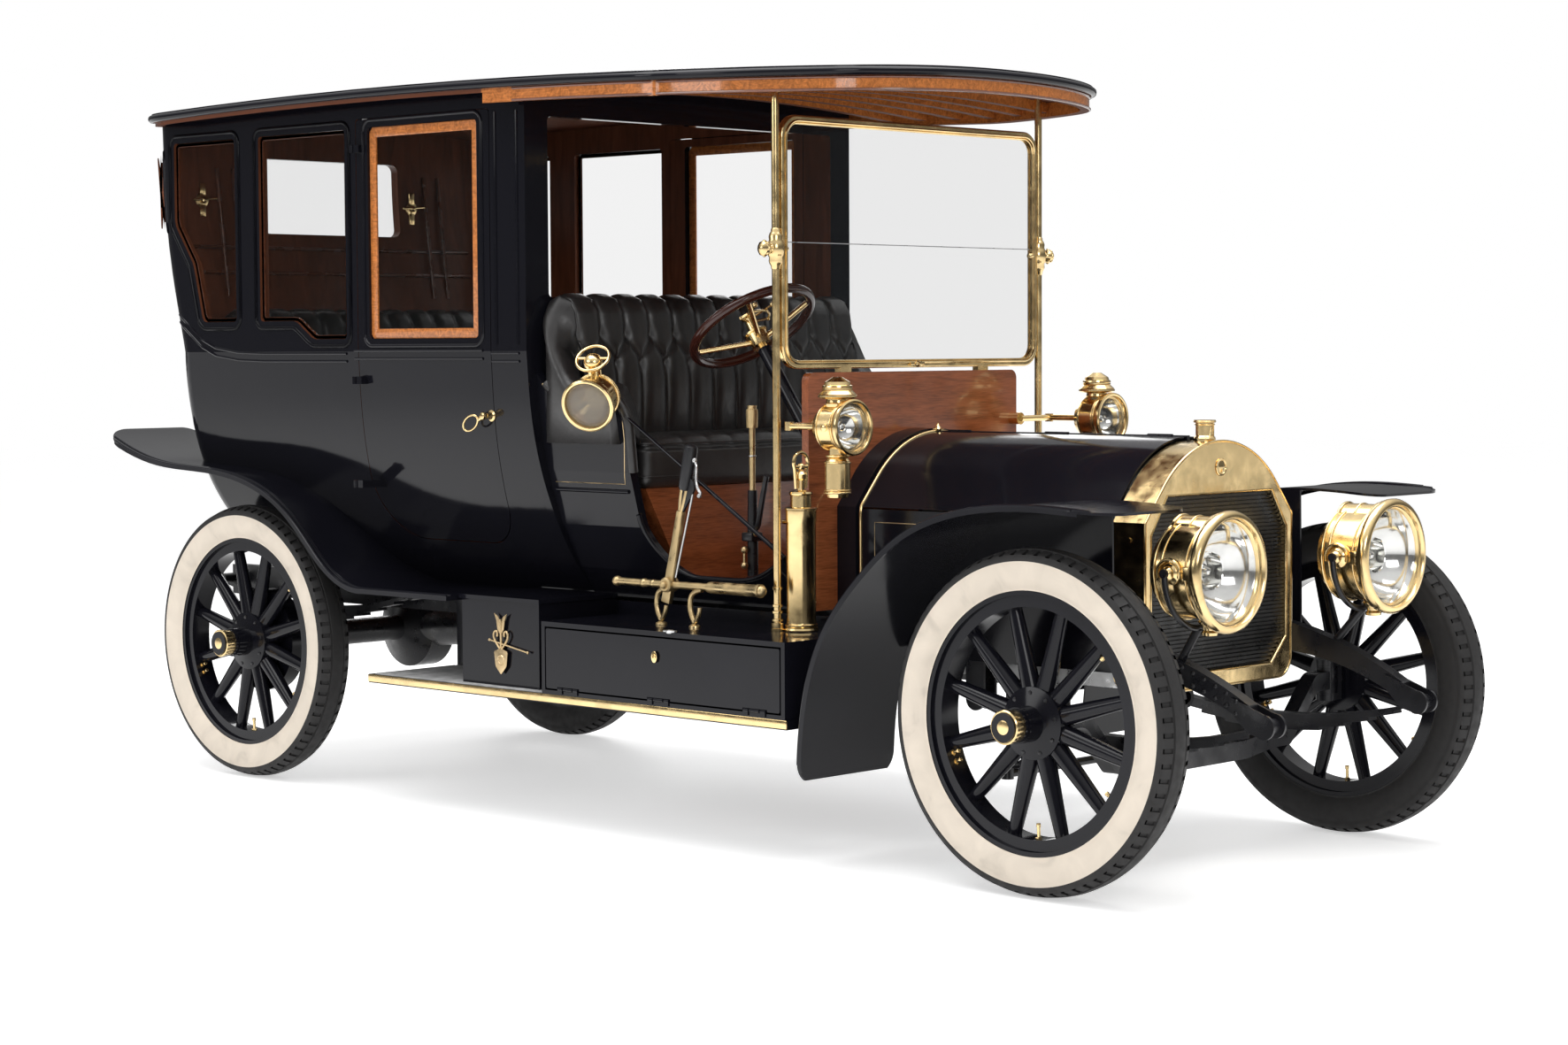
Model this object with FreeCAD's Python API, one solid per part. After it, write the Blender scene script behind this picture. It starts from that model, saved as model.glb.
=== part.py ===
import FreeCAD, Part
import math
import os

# An open-fronted limousine of the brass era, with a closed rear cabin and artillery wheels.
# Sizes are in millimetres and angles in degrees. X points forward, Y to the car's left, Z up.
# The origin lies on the ground under the middle of the car.

# Driving sizes
wheelbase = 3250
front_overhang = 495
rear_overhang = 685
track = 1370
overall_height_at_rim = 2167
front_axle_x = (wheelbase + rear_overhang - front_overhang) / 2
rear_axle_x = front_axle_x - wheelbase
overrun = 60
panel_gap = 5
fit_gap = 0.3
running_clearance = 0.05

# Wheels and tyres
tyre_diameter = 880
tyre_width = 120
tyre_seat_diameter = 672
tyre_shoulder_radius = 34
tyre_radius = tyre_diameter / 2
axle_z = tyre_radius
felloe_inner_radius = 292
felloe_width = 66
rim_flange_width = 84
rim_flange_depth = 14
spoke_count = 12
spoke_root_radius = 27
spoke_tip_radius = 17
hub_radius = 46
hub_length = 118
hub_inner_setback = 28
hub_flange_radius = 92
hub_flange_width = 56
hub_cap_radius = 37
hub_cap_length = 52
hub_cap_lip_radius = 42
hub_cap_lip_width = 12
stub_radius = 18
drum_radius = 165
drum_width = 52
wheel_centre_y = track / 2

# Frame, springs and axles
sill_z = 645
rail_depth = 100
rail_width = 40
rail_web = 8
rail_centre_y = 352
rail_tail_behind_axle = 540
cross_member_width = 60
cross_member_depth = 60
leaf_thickness = 9
leaf_count = 5
leaf_width = 40
leaf_step_share = 0.17
spring_eye_radius = 19
spring_pin_radius = 9
spring_sag = 62
front_spring_half_length = 464
rear_spring_half_length = 500
rear_spring_y = 425
rear_spring_eye_z = 600
dumb_iron_cheek = 8
dumb_iron_eye_radius = 31
dumb_iron_length = 560
dumb_iron_tip_depth = 34
dumb_iron_sag = 46
front_eye_z = 436
front_eye_x = front_axle_x + front_overhang - dumb_iron_eye_radius
beam_depth = 50
beam_width = 46
beam_drop = 18
beam_bend = 130
king_pin_y = 600
king_pin_radius = 14
king_eye_radius = 27
king_eye_height = 76
king_ear_thickness = 19
knuckle_bridge = 20
knuckle_half_width = 22
steering_arm_length = 170
steering_arm_radius = 10
steering_arm_knob_radius = 13
tie_rod_z = 272
tie_rod_radius = 11
tie_rod_end_radius = 16
tie_rod_end_height = 28
tie_rod_pin_radius = 7
open_pivot_clearance = 0.6
axle_tube_radius = 42
axle_tube_half_length = 552
differential_radius = 135
differential_width = 190
torque_tube_radius = 36

# Engine and gearbox, a plain block on bearers
engine_length = 700
engine_width = 330
engine_low_z = 470
engine_high_z = 985
engine_gap_to_radiator = 110
gearbox_length = 480
gearbox_width = 300
gearbox_low_z = 400
gearbox_high_z = 620
gearbox_ahead_of_middle = -80
clutch_radius = 52
shaft_height = 520
bearer_width = 50
bearer_depth = 22
handle_bore_radius = 15
handle_boss_radius = 28
handle_boss_length = 80
handle_boss_z = 440
radiator_setback = 20

# Radiator, hood and scuttle
radiator_ahead_of_axle = 65
radiator_depth = 105
radiator_half_width = 330
radiator_lug = 60
radiator_low_z = 480
radiator_corner = 58
shoulder_z = 925
haunch_z = 1015
haunch_half_width = 252
crown_z = 1128
shell_side_band = 24
shell_low_band = 40
core_top_z = 992
core_cut = 70
core_depth = 78
core_setback = 12
core_rib_count = 44
core_rib_depth = 6
core_rib_height = 4
filler_radius = 24
filler_lip_radius = 29
filler_lip_height = 7
filler_height = 55
hood_length = 880
hood_sheet = 4
hood_rise = 10
hood_hinge_radius = 6
hood_pin_radius = 3
hinge_bore_clearance = 0.4
hood_hinge_length = 40
hood_hinge_clearance = 1.5
hinge_place_shares = (0.1, 0.5, 0.9)
cowl_length = 70
cowl_flange = 9
cowl_depth = 14
radiator_front_x = front_axle_x + radiator_ahead_of_axle
radiator_back_x = radiator_front_x - radiator_depth
hood_front_x = radiator_back_x - panel_gap
hood_rear_x = hood_front_x - hood_length
cowl_front_x = hood_rear_x - panel_gap
dash_x = cowl_front_x - cowl_length

# Dash board and windscreen
dash_thickness = 25
dash_half_width = 455
dash_high_z = 1310
screen_half_width = 557
screen_low_z = 1320
screen_high_z = 2018
screen_corner = 62
screen_bar = 21
screen_glass = 5
screen_seam = 1
screen_foot_y = 300
screen_foot_length = 46
post_radius = 11
post_foot_radius = 17
post_clear = 4
post_y = screen_half_width + post_clear + post_radius
clamp_z = 1650
clamp_ball_radius = 19
clamp_reach = 42
clamp_radius = 10

# Cabin
driver_space = 895
cabin_belt_length = 1735
cabin_top_lean = 115
belt_z = 1373
belt_half_width = 700
sill_half_width = 430
cabin_corner = 70
wall = 35
floor_board = 25
cabin_front_x = dash_x - driver_space
cabin_rear_x = cabin_front_x - cabin_belt_length
tulip_shares = ((0.0, 0.0), (0.12, 0.27), (0.30, 0.56), (0.52, 0.80), (0.78, 0.95), (1.0, 1.0))
tail_under = 190
tail_shares = ((0.0, 1.0), (0.12, 0.62), (0.30, 0.22), (0.52, 0.05), (0.78, 0.0), (1.0, 0.0))
upper_lean_shares = ((0.0, 0.0), (0.12, 0.22), (0.35, 0.62), (0.60, 0.86), (1.0, 1.0))

# Doors, hinged at their rear edge
door_front_setback = 155
door_width = 625
door_low_z = 790
door_high_z = 2086
door_front_corner = 110
door_rear_corner = 210
door_top_corner = 12
door_bevel = 0.42
hinge_stand_off = 16
hinge_pin_radius = 7
hinge_barrel_height = 46
hinge_strap = 5
hinge_leaf = 34
upper_hinge_z = 1960
middle_hinge_z = 1250
lower_hinge_z = 930
window_high_z = 2058
window_low_z = 1412
window_corner = 14
door_pillar = 58
quarter_low_z = 1470
quarter_gap_to_door = 55
front_quarter_length = 440
rear_quarter_length = 330
quarter_post = 128
quarter_sweep = 190
glass_thickness = 6
glass_setback = 16
back_light_half_width = 300
back_light_low_z = 1775
back_light_high_z = 2030
division_half_width = 610
division_low_z = 1530

# Roof
roof_thickness = 28
roof_half_width = 788
roof_crown = 40
roof_arch_radius = 33300
roof_peak_ahead_of_rear_axle = 625
roof_rear_overlap = 16
roof_rear_corner = 200
roof_nose_ahead_of_screen = 340
roof_nose_shares = (
    (0.0, 1.0), (0.18, 0.975), (0.4, 0.905), (0.64, 0.808), (0.83, 0.69), (0.94, 0.5), (1.0, 0.0))
roof_nose_length = 730
fascia_height = 42
fascia_thickness = 22
fascia_inset = 8
moulding_height = 12
fascia_rear_behind_cabin_front = 90
rib_count = 6
rib_width = 36
rib_height = 30

# Driver's tub, floor and seats
tub_thickness = 28
tub_high_z = 1310
tub_arm_z = 1244
tub_front_z = 800
tub_step_length = 48
tub_step_z = 1256
tub_step_round = 60
tub_arm_length = 370
tub_arm_round = 92
tub_arm_overhang = 47
tub_entry_z = 722
tub_entry_end = 735
tub_entry_round = 165
tub_toe_round = 380
tub_belt_half_width = 668
seat_box_length = 330
seat_box_high_z = 975
seat_box_half_width = 540
seat_depth = 355
seat_thickness = 150
seat_half_width = 562
seat_back_thickness = 110
seat_back_high_z = 1520
seat_back_half_width = 600
seat_arm_width = 92
seat_arm_length = 330
seat_arm_high_z = 1275
seat_round = 45
rear_seat_box_high_z = 905
rear_seat_box_half_width = 400
rear_seat_box_length = 480
rear_seat_depth = 520
rear_seat_half_width = 545
rear_seat_thickness = 150
rear_back_high_z = 1500
rear_back_half_width = 540
rear_back_thickness = 130
rear_seat_clearance = 6.6

# Fenders, running boards and boxes
fender_outer_y = 800
fender_inner_y = 420
fender_sheet = 7
fender_bead_radius = 7
front_fender_reach = 275
front_fender_tip_z = 975
front_fender_shares = (
    (0.07, 1.245), (-0.52, 1.17), (-0.825, 1.045), (-1.14, 0.80),
    (-1.46, 0.414), (-1.62, -0.08), (-1.65, -0.47))
rear_fender_tail_z = 1115
rear_fender_shares = (
    (-1.28, 1.42), (-0.83, 1.31), (-0.17, 1.265), (0.43, 1.141),
    (0.70, 1.005), (0.94, 0.81), (1.13, 0.64), (1.36, 0.51))
fender_corner = 110
flap_corner = 60
board_z = 390
board_thickness = 24
board_front_x = dash_x + 237
board_length = 1755
board_inner_y = 440
step_plate_end_behind_cabin_front = 255
step_plate_thickness = 10
apron_thickness = 8
box_wall = 12
tool_box_length = 962
tool_box_high_z = 600
tool_box_front_setback = 5
small_box_length = 340
small_box_gap = 60
small_box_high_z = 655
small_box_inset = 45
flap_thickness = 12
flap_hinge_radius = 4.5
flap_pin_radius = 2
flap_hinge_length = 36
flap_margin = 14
flap_corner_radius = 6
lid_thickness = 12
bracket_width = 40
bracket_depth = 40

# Lamps
headlamp_y = 374
headlamp_z = 816
headlamp_ahead_of_radiator = 299
headlamp_radius = 150
headlamp_drum_radius = 122
headlamp_length = 200
headlamp_bezel_width = 26
headlamp_chimney_radius = 52
headlamp_chimney_length = 120
lamp_fork_radius = 8
lamp_fork_clear = 22
lamp_stem_radius = 11
side_lamp_y = 569
side_lamp_z = 1165
side_lamp_ahead_of_dash = 273
side_lamp_radius = 74
side_lamp_drum_radius = 62
side_lamp_length = 118
side_lamp_chimney_radius = 30
side_lamp_cap_radius = 52
side_lamp_top_z = 1300
side_lamp_fount_radius = 34
side_lamp_low_z = 975
side_lamp_bracket_radius = 9
side_lamp_knee_radius = 12
spot_lamp_radius = 78
spot_lamp_length = 104
spot_lamp_z = 1218
spot_lamp_out = 106
spot_lamp_ahead_of_cabin = 340
spot_lamp_turn = 65
spot_lamp_tip_down = 20
spot_chimney_radius = 20
spot_chimney_height = 97
spot_chimney_behind_middle = 34
spot_dome_radius = 28
spot_ring_radius = 48
spot_ring_rise = 14
spot_ring_tilt = 26
spot_post_depth = 30
spot_ring_bar = 4.6
spot_hook_share = 0.8
pivot_share = 0.8
lens_thickness = 4
lamp_wall = 6

# Hand pump, levers and steering
pump_radius = 41
pump_y = 530
pump_ahead_of_dash = 40
pump_high_z = 990
pump_handle_z = 1110
pump_rod_radius = 6
lever_y = 650
lever_bar_radius = 10
lever_bar_length = 560
lever_bar_z = 715
lever_bar_front_setback = 4
lever_foot_radius = 9
lever_foot_shares = (0.31, 0.55)
lever_high_z = 1105
lever_pivot_behind_dash = 356
lever_lean = 92
lever_grip_length = 130
lever_grip_radius = 17
inner_lever_y = 350
inner_lever_behind_dash = 320
inner_lever_high_z = 1214
inner_lever_radius = 9
inner_knob_radius = 14
steering_y = -275
steering_hub_behind_dash = 368
steering_hub_z = 1412
steering_rim_rise = 36
column_angle = 54.4
column_radius = 20
column_shaft_radius = 12
column_gap_to_hub = 45
column_length = 966
column_socket = 110
steering_box_size = 70
steering_wheel_radius = 186
steering_rim_radius = 14
steering_hub_radius = 30
steering_hub_height = 34
steering_spoke_count = 4
steering_spoke_radius = 8


def vector(x, y, z):
    return FreeCAD.Vector(x, y, z)


along_x = vector(1, 0, 0)
along_y = vector(0, 1, 0)
along_z = vector(0, 0, 1)
origin = vector(0, 0, 0)


def box(x_low, x_high, y_low, y_high, z_low, z_high):
    size = (x_high - x_low, y_high - y_low, z_high - z_low)
    return Part.makeBox(*size, vector(x_low, y_low, z_low))


def rod(start, end, radius):
    reach = end - start
    return Part.makeCylinder(radius, reach.Length, start, reach)


def cone(start, end, start_radius, end_radius):
    reach = end - start
    return Part.makeCone(start_radius, end_radius, reach.Length, start, reach)


def ball(centre, radius):
    return Part.makeSphere(radius, centre)


def fused(pieces):
    solid = pieces[0]
    if len(pieces) > 1:
        solid = pieces[0].multiFuse(pieces[1:])
    return solid.removeSplitter()


def mirrored(shape):
    return shape.mirror(origin, along_y)


def pair(shape):
    return [shape, mirrored(shape)]


def in_xz(y):
    return lambda u, v: vector(u, y, v)


def in_yz(x):
    return lambda u, v: vector(x, u, v)


def in_xy(z):
    return lambda u, v: vector(u, v, z)


def outline(corners, place):
    """A closed wire round (u, v, corner radius) points, laid in a plane by place."""
    count = len(corners)
    starts = []
    ends = []
    middles = []
    for index, (u, v, radius) in enumerate(corners):
        corner = vector(u, v, 0)
        before = vector(*corners[index - 1][:2], 0) - corner
        after = vector(*corners[(index + 1) % count][:2], 0) - corner
        if radius == 0:
            starts.append(corner)
            ends.append(corner)
            middles.append(None)
            continue
        half_angle = before.getAngle(after) / 2
        tangent = radius / math.tan(half_angle)
        before.normalize()
        after.normalize()
        bisector = before + after
        bisector.normalize()
        starts.append(corner + before * tangent)
        ends.append(corner + after * tangent)
        middles.append(corner + bisector * (radius / math.sin(half_angle) - radius))
    edges = []
    for index in range(count):
        if middles[index] is not None:
            points = [starts[index], middles[index], ends[index]]
            arc = Part.Arc(*[place(point.x, point.y) for point in points])
            edges.append(arc.toShape())
        start = ends[index]
        end = starts[(index + 1) % count]
        if (end - start).Length > running_clearance:
            edges.append(Part.makeLine(place(start.x, start.y), place(end.x, end.y)))
    return Part.Wire(edges)


def prism(wire, reach):
    return Part.Face(wire).extrude(reach)


def side_plate(corners, y_low, y_high):
    return prism(outline(corners, in_xz(y_low)), vector(0, y_high - y_low, 0))


def front_plate(corners, x_low, x_high):
    return prism(outline(corners, in_yz(x_low)), vector(x_high - x_low, 0, 0))


def top_plate(corners, z_low, z_high):
    return prism(outline(corners, in_xy(z_low)), vector(0, 0, z_high - z_low))


def revolved(profile, centre, axis, across):
    """Turns a closed (along axis, radius) profile about the axis through the centre."""
    points = [centre + axis * along + across * radius for along, radius in profile]
    face = Part.Face(Part.makePolygon(points + [points[0]]))
    return face.revolve(centre, axis, 360)


def spline(points, tangents=()):
    """A smooth line through points, with start and end directions where they are given."""
    curve = Part.BSplineCurve()
    if tangents:
        curve.interpolate(Points=points, InitialTangent=tangents[0], FinalTangent=tangents[1])
    else:
        curve.interpolate(points)
    return curve


def ribbon(points, thickness, place):
    """A closed wire round a strip that lies on one side of a smooth line of (u, v) points."""
    curve = spline([vector(u, v, 0) for u, v in points])
    inner = []
    for u, v in points:
        tangent = curve.tangent(curve.parameter(vector(u, v, 0)))[0]
        inner.append((u + tangent.y * thickness, v - tangent.x * thickness))
    outer_edge = spline([place(u, v) for u, v in points]).toShape()
    inner_edge = spline([place(u, v) for u, v in reversed(inner)]).toShape()
    first_end = Part.makeLine(place(*points[-1]), place(*inner[-1]))
    last_end = Part.makeLine(place(*inner[0]), place(*points[0]))
    return Part.Wire([outer_edge, first_end, inner_edge, last_end])


# Wheels

def wheel(axle_x, side, has_drum):
    """An artillery wheel: hub, tapered spokes, felloe with flanged rim, cap and maybe a drum."""
    centre = vector(axle_x, side * wheel_centre_y, axle_z)
    outward = along_y * side
    hub_start = -hub_inner_setback
    hub_end = hub_start + hub_length
    seat_radius = tyre_seat_diameter / 2
    flange_edge = rim_flange_width / 2
    felloe_edge = felloe_width / 2
    felloe = revolved((
        (-felloe_edge, felloe_inner_radius), (felloe_edge, felloe_inner_radius),
        (felloe_edge, seat_radius - rim_flange_depth), (flange_edge, seat_radius - rim_flange_depth),
        (flange_edge, seat_radius), (-flange_edge, seat_radius),
        (-flange_edge, seat_radius - rim_flange_depth),
        (-felloe_edge, seat_radius - rim_flange_depth)), centre, outward, along_z)
    hub = revolved((
        (hub_start, 0), (hub_start, hub_radius), (-hub_flange_width / 2, hub_radius),
        (-hub_flange_width / 2, hub_flange_radius), (hub_flange_width / 2, hub_flange_radius),
        (hub_flange_width / 2 + hub_cap_lip_width, hub_radius), (hub_end, hub_radius),
        (hub_end, hub_cap_lip_radius), (hub_end + hub_cap_lip_width, hub_cap_lip_radius),
        (hub_end + hub_cap_lip_width, hub_cap_radius), (hub_end + hub_cap_length, hub_cap_radius),
        (hub_end + hub_cap_length, 0)), centre, outward, along_z)
    pieces = [felloe, hub]
    spoke_start = hub_radius
    for index in range(spoke_count):
        angle = math.radians(360 * (index + 0.5) / spoke_count)
        away = along_x * math.cos(angle) + along_z * math.sin(angle)
        root = centre + away * spoke_start
        tip = centre + away * (felloe_inner_radius + rim_flange_depth)
        pieces.append(cone(root, tip, spoke_root_radius, spoke_tip_radius))
    if has_drum:
        drum_outer = -hub_flange_width / 2
        drum = revolved((
            (drum_outer, 0), (drum_outer, drum_radius),
            (drum_outer - drum_width, drum_radius), (drum_outer - drum_width, 0)),
            centre, outward, along_z)
        pieces.append(drum)
        hub_start = drum_outer - drum_width
    wheel_solid = fused(pieces)
    bore_start = centre + outward * (hub_start - overrun)
    bore_end = centre + outward * (hub_end + hub_cap_length / 2)
    return wheel_solid.cut(rod(bore_start, bore_end, stub_radius + running_clearance))


def tyre(axle_x, side):
    centre = vector(axle_x, side * wheel_centre_y, axle_z)
    half = tyre_width / 2
    bead = rim_flange_width / 2
    seat_radius = tyre_seat_diameter / 2
    middle_radius = (tyre_radius + seat_radius) / 2
    place = lambda along, radius: centre + along_y * along + along_z * radius
    tread_edge = half - tyre_shoulder_radius
    wall_out = Part.Arc(place(-bead, seat_radius), place(-half, middle_radius),
                        place(-tread_edge, tyre_radius - running_clearance)).toShape()
    wall_back = Part.Arc(place(tread_edge, tyre_radius - running_clearance),
                         place(half, middle_radius), place(bead, seat_radius)).toShape()
    tread = Part.Arc(place(-tread_edge, tyre_radius - running_clearance), place(0, tyre_radius),
                     place(tread_edge, tyre_radius - running_clearance)).toShape()
    seat = Part.makeLine(place(bead, seat_radius), place(-bead, seat_radius))
    section = Part.Face(Part.Wire([wall_out, tread, wall_back, seat]))
    return section.revolve(centre, along_y, 360)


# Frame, springs and axles

def spring_cheeks(eye_x, eye_z, top_z, side_y):
    """Two hanger plates that hold a spring eye under or at the end of a rail."""
    plates = []
    for side in (-1, 1):
        inner = side_y + side * (leaf_width / 2 + fit_gap)
        outer = inner + side * dumb_iron_cheek
        low, high = min(inner, outer), max(inner, outer)
        plate = box(eye_x - dumb_iron_eye_radius, eye_x + dumb_iron_eye_radius,
                    low, high, eye_z, top_z)
        eye = rod(vector(eye_x, low, eye_z), vector(eye_x, high, eye_z), dumb_iron_eye_radius)
        plates.append(plate.fuse(eye))
    return plates


def frame_rail():
    """One pressed channel rail with its curved dumb iron and the front spring's hangers."""
    tail_x = rear_axle_x - rail_tail_behind_axle
    bend_x = front_eye_x - dumb_iron_length
    low_z = sill_z - rail_depth
    y_low = rail_centre_y - rail_width / 2
    y_high = rail_centre_y + rail_width / 2
    rail = box(tail_x, bend_x, y_low, y_high, low_z, sill_z)
    hollow = box(tail_x - overrun, bend_x - rail_depth, y_low - overrun, y_high - rail_web,
                 low_z + rail_web, sill_z - rail_web)
    rail = rail.cut(hollow)
    tip_x = front_eye_x - dumb_iron_eye_radius - spring_eye_radius
    top_middle = vector((bend_x + tip_x) / 2, y_low, sill_z - dumb_iron_sag)
    tip_high_z = front_eye_z + dumb_iron_tip_depth
    top_arc = Part.Arc(vector(bend_x, y_low, sill_z), top_middle,
                       vector(tip_x, y_low, tip_high_z + dumb_iron_tip_depth / 2)).toShape()
    low_middle = vector(top_middle.x, y_low, low_z - dumb_iron_tip_depth / 3)
    low_arc = Part.Arc(vector(tip_x, y_low, tip_high_z - dumb_iron_tip_depth), low_middle,
                       vector(bend_x, y_low, low_z)).toShape()
    tip = Part.makeLine(vector(tip_x, y_low, tip_high_z + dumb_iron_tip_depth / 2),
                        vector(tip_x, y_low, tip_high_z - dumb_iron_tip_depth))
    back = Part.makeLine(vector(bend_x, y_low, low_z), vector(bend_x, y_low, sill_z))
    iron = prism(Part.Wire([top_arc, tip, low_arc, back]), vector(0, rail_width, 0))
    pieces = [rail, iron]
    for side in (-1, 1):
        inner = rail_centre_y + side * (leaf_width / 2 + fit_gap)
        outer = inner + side * dumb_iron_cheek
        low, high = min(inner, outer), max(inner, outer)
        eye = rod(vector(front_eye_x, low, front_eye_z), vector(front_eye_x, high, front_eye_z),
                  dumb_iron_eye_radius)
        web_x = tip_x - dumb_iron_eye_radius - spring_eye_radius
        web = side_plate((
            (web_x, front_eye_z + dumb_iron_tip_depth * 2, 0),
            (front_eye_x, front_eye_z + dumb_iron_eye_radius, 0),
            (front_eye_x, front_eye_z - dumb_iron_eye_radius, 0),
            (tip_x, front_eye_z - dumb_iron_eye_radius / 2, 0),
            (web_x, front_eye_z + dumb_iron_tip_depth, 0)), low, high)
        filler = box(web_x, tip_x, min(inner, rail_centre_y), max(inner, rail_centre_y),
                     front_eye_z + dumb_iron_tip_depth, front_eye_z + dumb_iron_tip_depth * 1.4)
        pieces.extend([eye, web, filler])
    rear_eye_x = front_axle_x - front_spring_half_length
    for plate in spring_cheeks(rear_eye_x, front_eye_z, low_z, rail_centre_y):
        pieces.append(plate)
    block = box(rear_eye_x - dumb_iron_eye_radius, rear_eye_x + dumb_iron_eye_radius,
                y_low - dumb_iron_cheek, y_high + dumb_iron_cheek, low_z - rail_web, low_z)
    pieces.append(block)
    for eye_x in (rear_axle_x - rear_spring_half_length, rear_axle_x + rear_spring_half_length):
        pin_end = vector(eye_x, rear_spring_y - leaf_width / 2, rear_spring_eye_z)
        pieces.append(rod(vector(eye_x, y_high - rail_web, rear_spring_eye_z), pin_end,
                          spring_eye_radius))
    rail = fused(pieces)
    for eye_x in (front_eye_x, rear_eye_x):
        pin = rod(vector(eye_x, y_low - overrun, front_eye_z),
                  vector(eye_x, y_high + overrun, front_eye_z), spring_pin_radius)
        rail = rail.cut(pin)
    return rail


def leaf_spring(centre_x, eye_z, half_length, side_y, pin_reach):
    """A stack of leaves on one arc, the longest on top with an eye and pin at each end."""
    radius = (half_length ** 2 + spring_sag ** 2) / (2 * spring_sag)
    arc_centre = vector(centre_x, side_y - leaf_width / 2, eye_z - spring_sag + radius)
    full_angle = math.degrees(math.asin(half_length / radius))
    leaves = []
    for index in range(leaf_count):
        angle = full_angle * (1 - leaf_step_share * index)
        inner_radius = radius + leaf_thickness * index
        outer_radius = inner_radius + leaf_thickness
        ends = []
        for arc_radius in (inner_radius, outer_radius):
            points = []
            for turn in (-angle, 0, angle):
                across = math.sin(math.radians(turn)) * arc_radius
                down = math.cos(math.radians(turn)) * arc_radius
                points.append(arc_centre + vector(across, 0, -down))
            ends.append(points)
        inner_arc = Part.Arc(*ends[0]).toShape()
        outer_arc = Part.Arc(*ends[1]).toShape()
        first = Part.makeLine(ends[0][0], ends[1][0])
        last = Part.makeLine(ends[0][2], ends[1][2])
        wire = Part.Wire(Part.__sortEdges__([inner_arc, last, outer_arc, first]))
        leaves.append(prism(wire, vector(0, leaf_width, 0)))
    for side in (-1, 1):
        eye_x = centre_x + side * half_length
        leaves.append(rod(vector(eye_x, side_y - leaf_width / 2, eye_z),
                          vector(eye_x, side_y + leaf_width / 2, eye_z), spring_eye_radius))
        leaves.append(rod(vector(eye_x, side_y - pin_reach, eye_z),
                          vector(eye_x, side_y + pin_reach, eye_z), spring_pin_radius))
    return fused(leaves)


def springs():
    front = leaf_spring(front_axle_x, front_eye_z, front_spring_half_length, rail_centre_y,
                        leaf_width / 2 + dumb_iron_cheek)
    rear = leaf_spring(rear_axle_x, rear_spring_eye_z, rear_spring_half_length, rear_spring_y,
                       leaf_width / 2)
    return pair(front) + pair(rear)


def spring_under_z(eye_z):
    return eye_z - spring_sag - leaf_thickness * leaf_count


def cross_members():
    """Four pressed members between the rails; the front one carries the handle's boss."""
    inner_y = rail_centre_y + rail_width / 2 - rail_web
    low_z = sill_z - rail_web - cross_member_depth
    members = []
    places = (radiator_back_x - radiator_setback, dash_x, cabin_front_x - small_box_length,
              rear_axle_x - rear_spring_half_length + cross_member_width)
    for index, x in enumerate(places):
        y = rail_centre_y - rail_width / 2 if index == 0 else inner_y
        member = box(x - cross_member_width, x, -y, y, low_z, low_z + cross_member_depth)
        members.append(member)
    boss_back = vector(places[0] - cross_member_width, 0, handle_boss_z)
    boss_front = boss_back + along_x * handle_boss_length
    boss = rod(boss_back, boss_front, handle_boss_radius)
    hanger = box(places[0] - cross_member_width, places[0], -handle_boss_radius,
                 handle_boss_radius, handle_boss_z, low_z + cross_member_depth)
    bore = rod(boss_back - along_x * overrun, boss_front + along_x * overrun, handle_bore_radius)
    members[0] = fused([members[0], hanger, boss]).cut(bore)
    return members


def front_axle():
    """A forged beam that drops between the springs and carries an eye at each king pin."""
    pad_z = spring_under_z(front_eye_z)
    low_y = rail_centre_y + leaf_width
    half = []
    end_y = king_pin_y - king_eye_radius / 2
    end_low = axle_z - beam_depth / 2
    half.append((end_y, end_low + beam_depth, 0))
    half.append((end_y - beam_bend / 2, end_low + beam_depth, beam_depth))
    half.append((low_y, pad_z, beam_depth / 2))
    half.append((rail_centre_y - leaf_width, pad_z, beam_depth))
    half.append((rail_centre_y - leaf_width - beam_bend, pad_z - beam_drop, beam_bend))
    lower = []
    for y, z, radius in reversed(half):
        lower.append((y, z - beam_depth, radius))
    corners = half + [(-y, z, radius) for y, z, radius in reversed(half)]
    corners += [(-y, z, radius) for y, z, radius in reversed(lower)] + lower
    beam = front_plate(corners, front_axle_x - beam_width / 2, front_axle_x + beam_width / 2)
    pieces = [beam]
    for side in (-1, 1):
        low = vector(front_axle_x, side * king_pin_y, axle_z - king_eye_height / 2)
        pieces.append(rod(low, low + along_z * king_eye_height, king_eye_radius))
    axle = fused(pieces)
    for side in (-1, 1):
        low = vector(front_axle_x, side * king_pin_y, axle_z - king_eye_height)
        bore = rod(low, low + along_z * king_eye_height * 2, king_pin_radius + running_clearance)
        axle = axle.cut(bore)
    return axle


def steering_arm_end(side):
    """The top of the pin that the tie rod turns on, straight behind the king pin."""
    return vector(front_axle_x - steering_arm_length, side * king_pin_y,
                  tie_rod_z + tie_rod_end_height)


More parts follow.
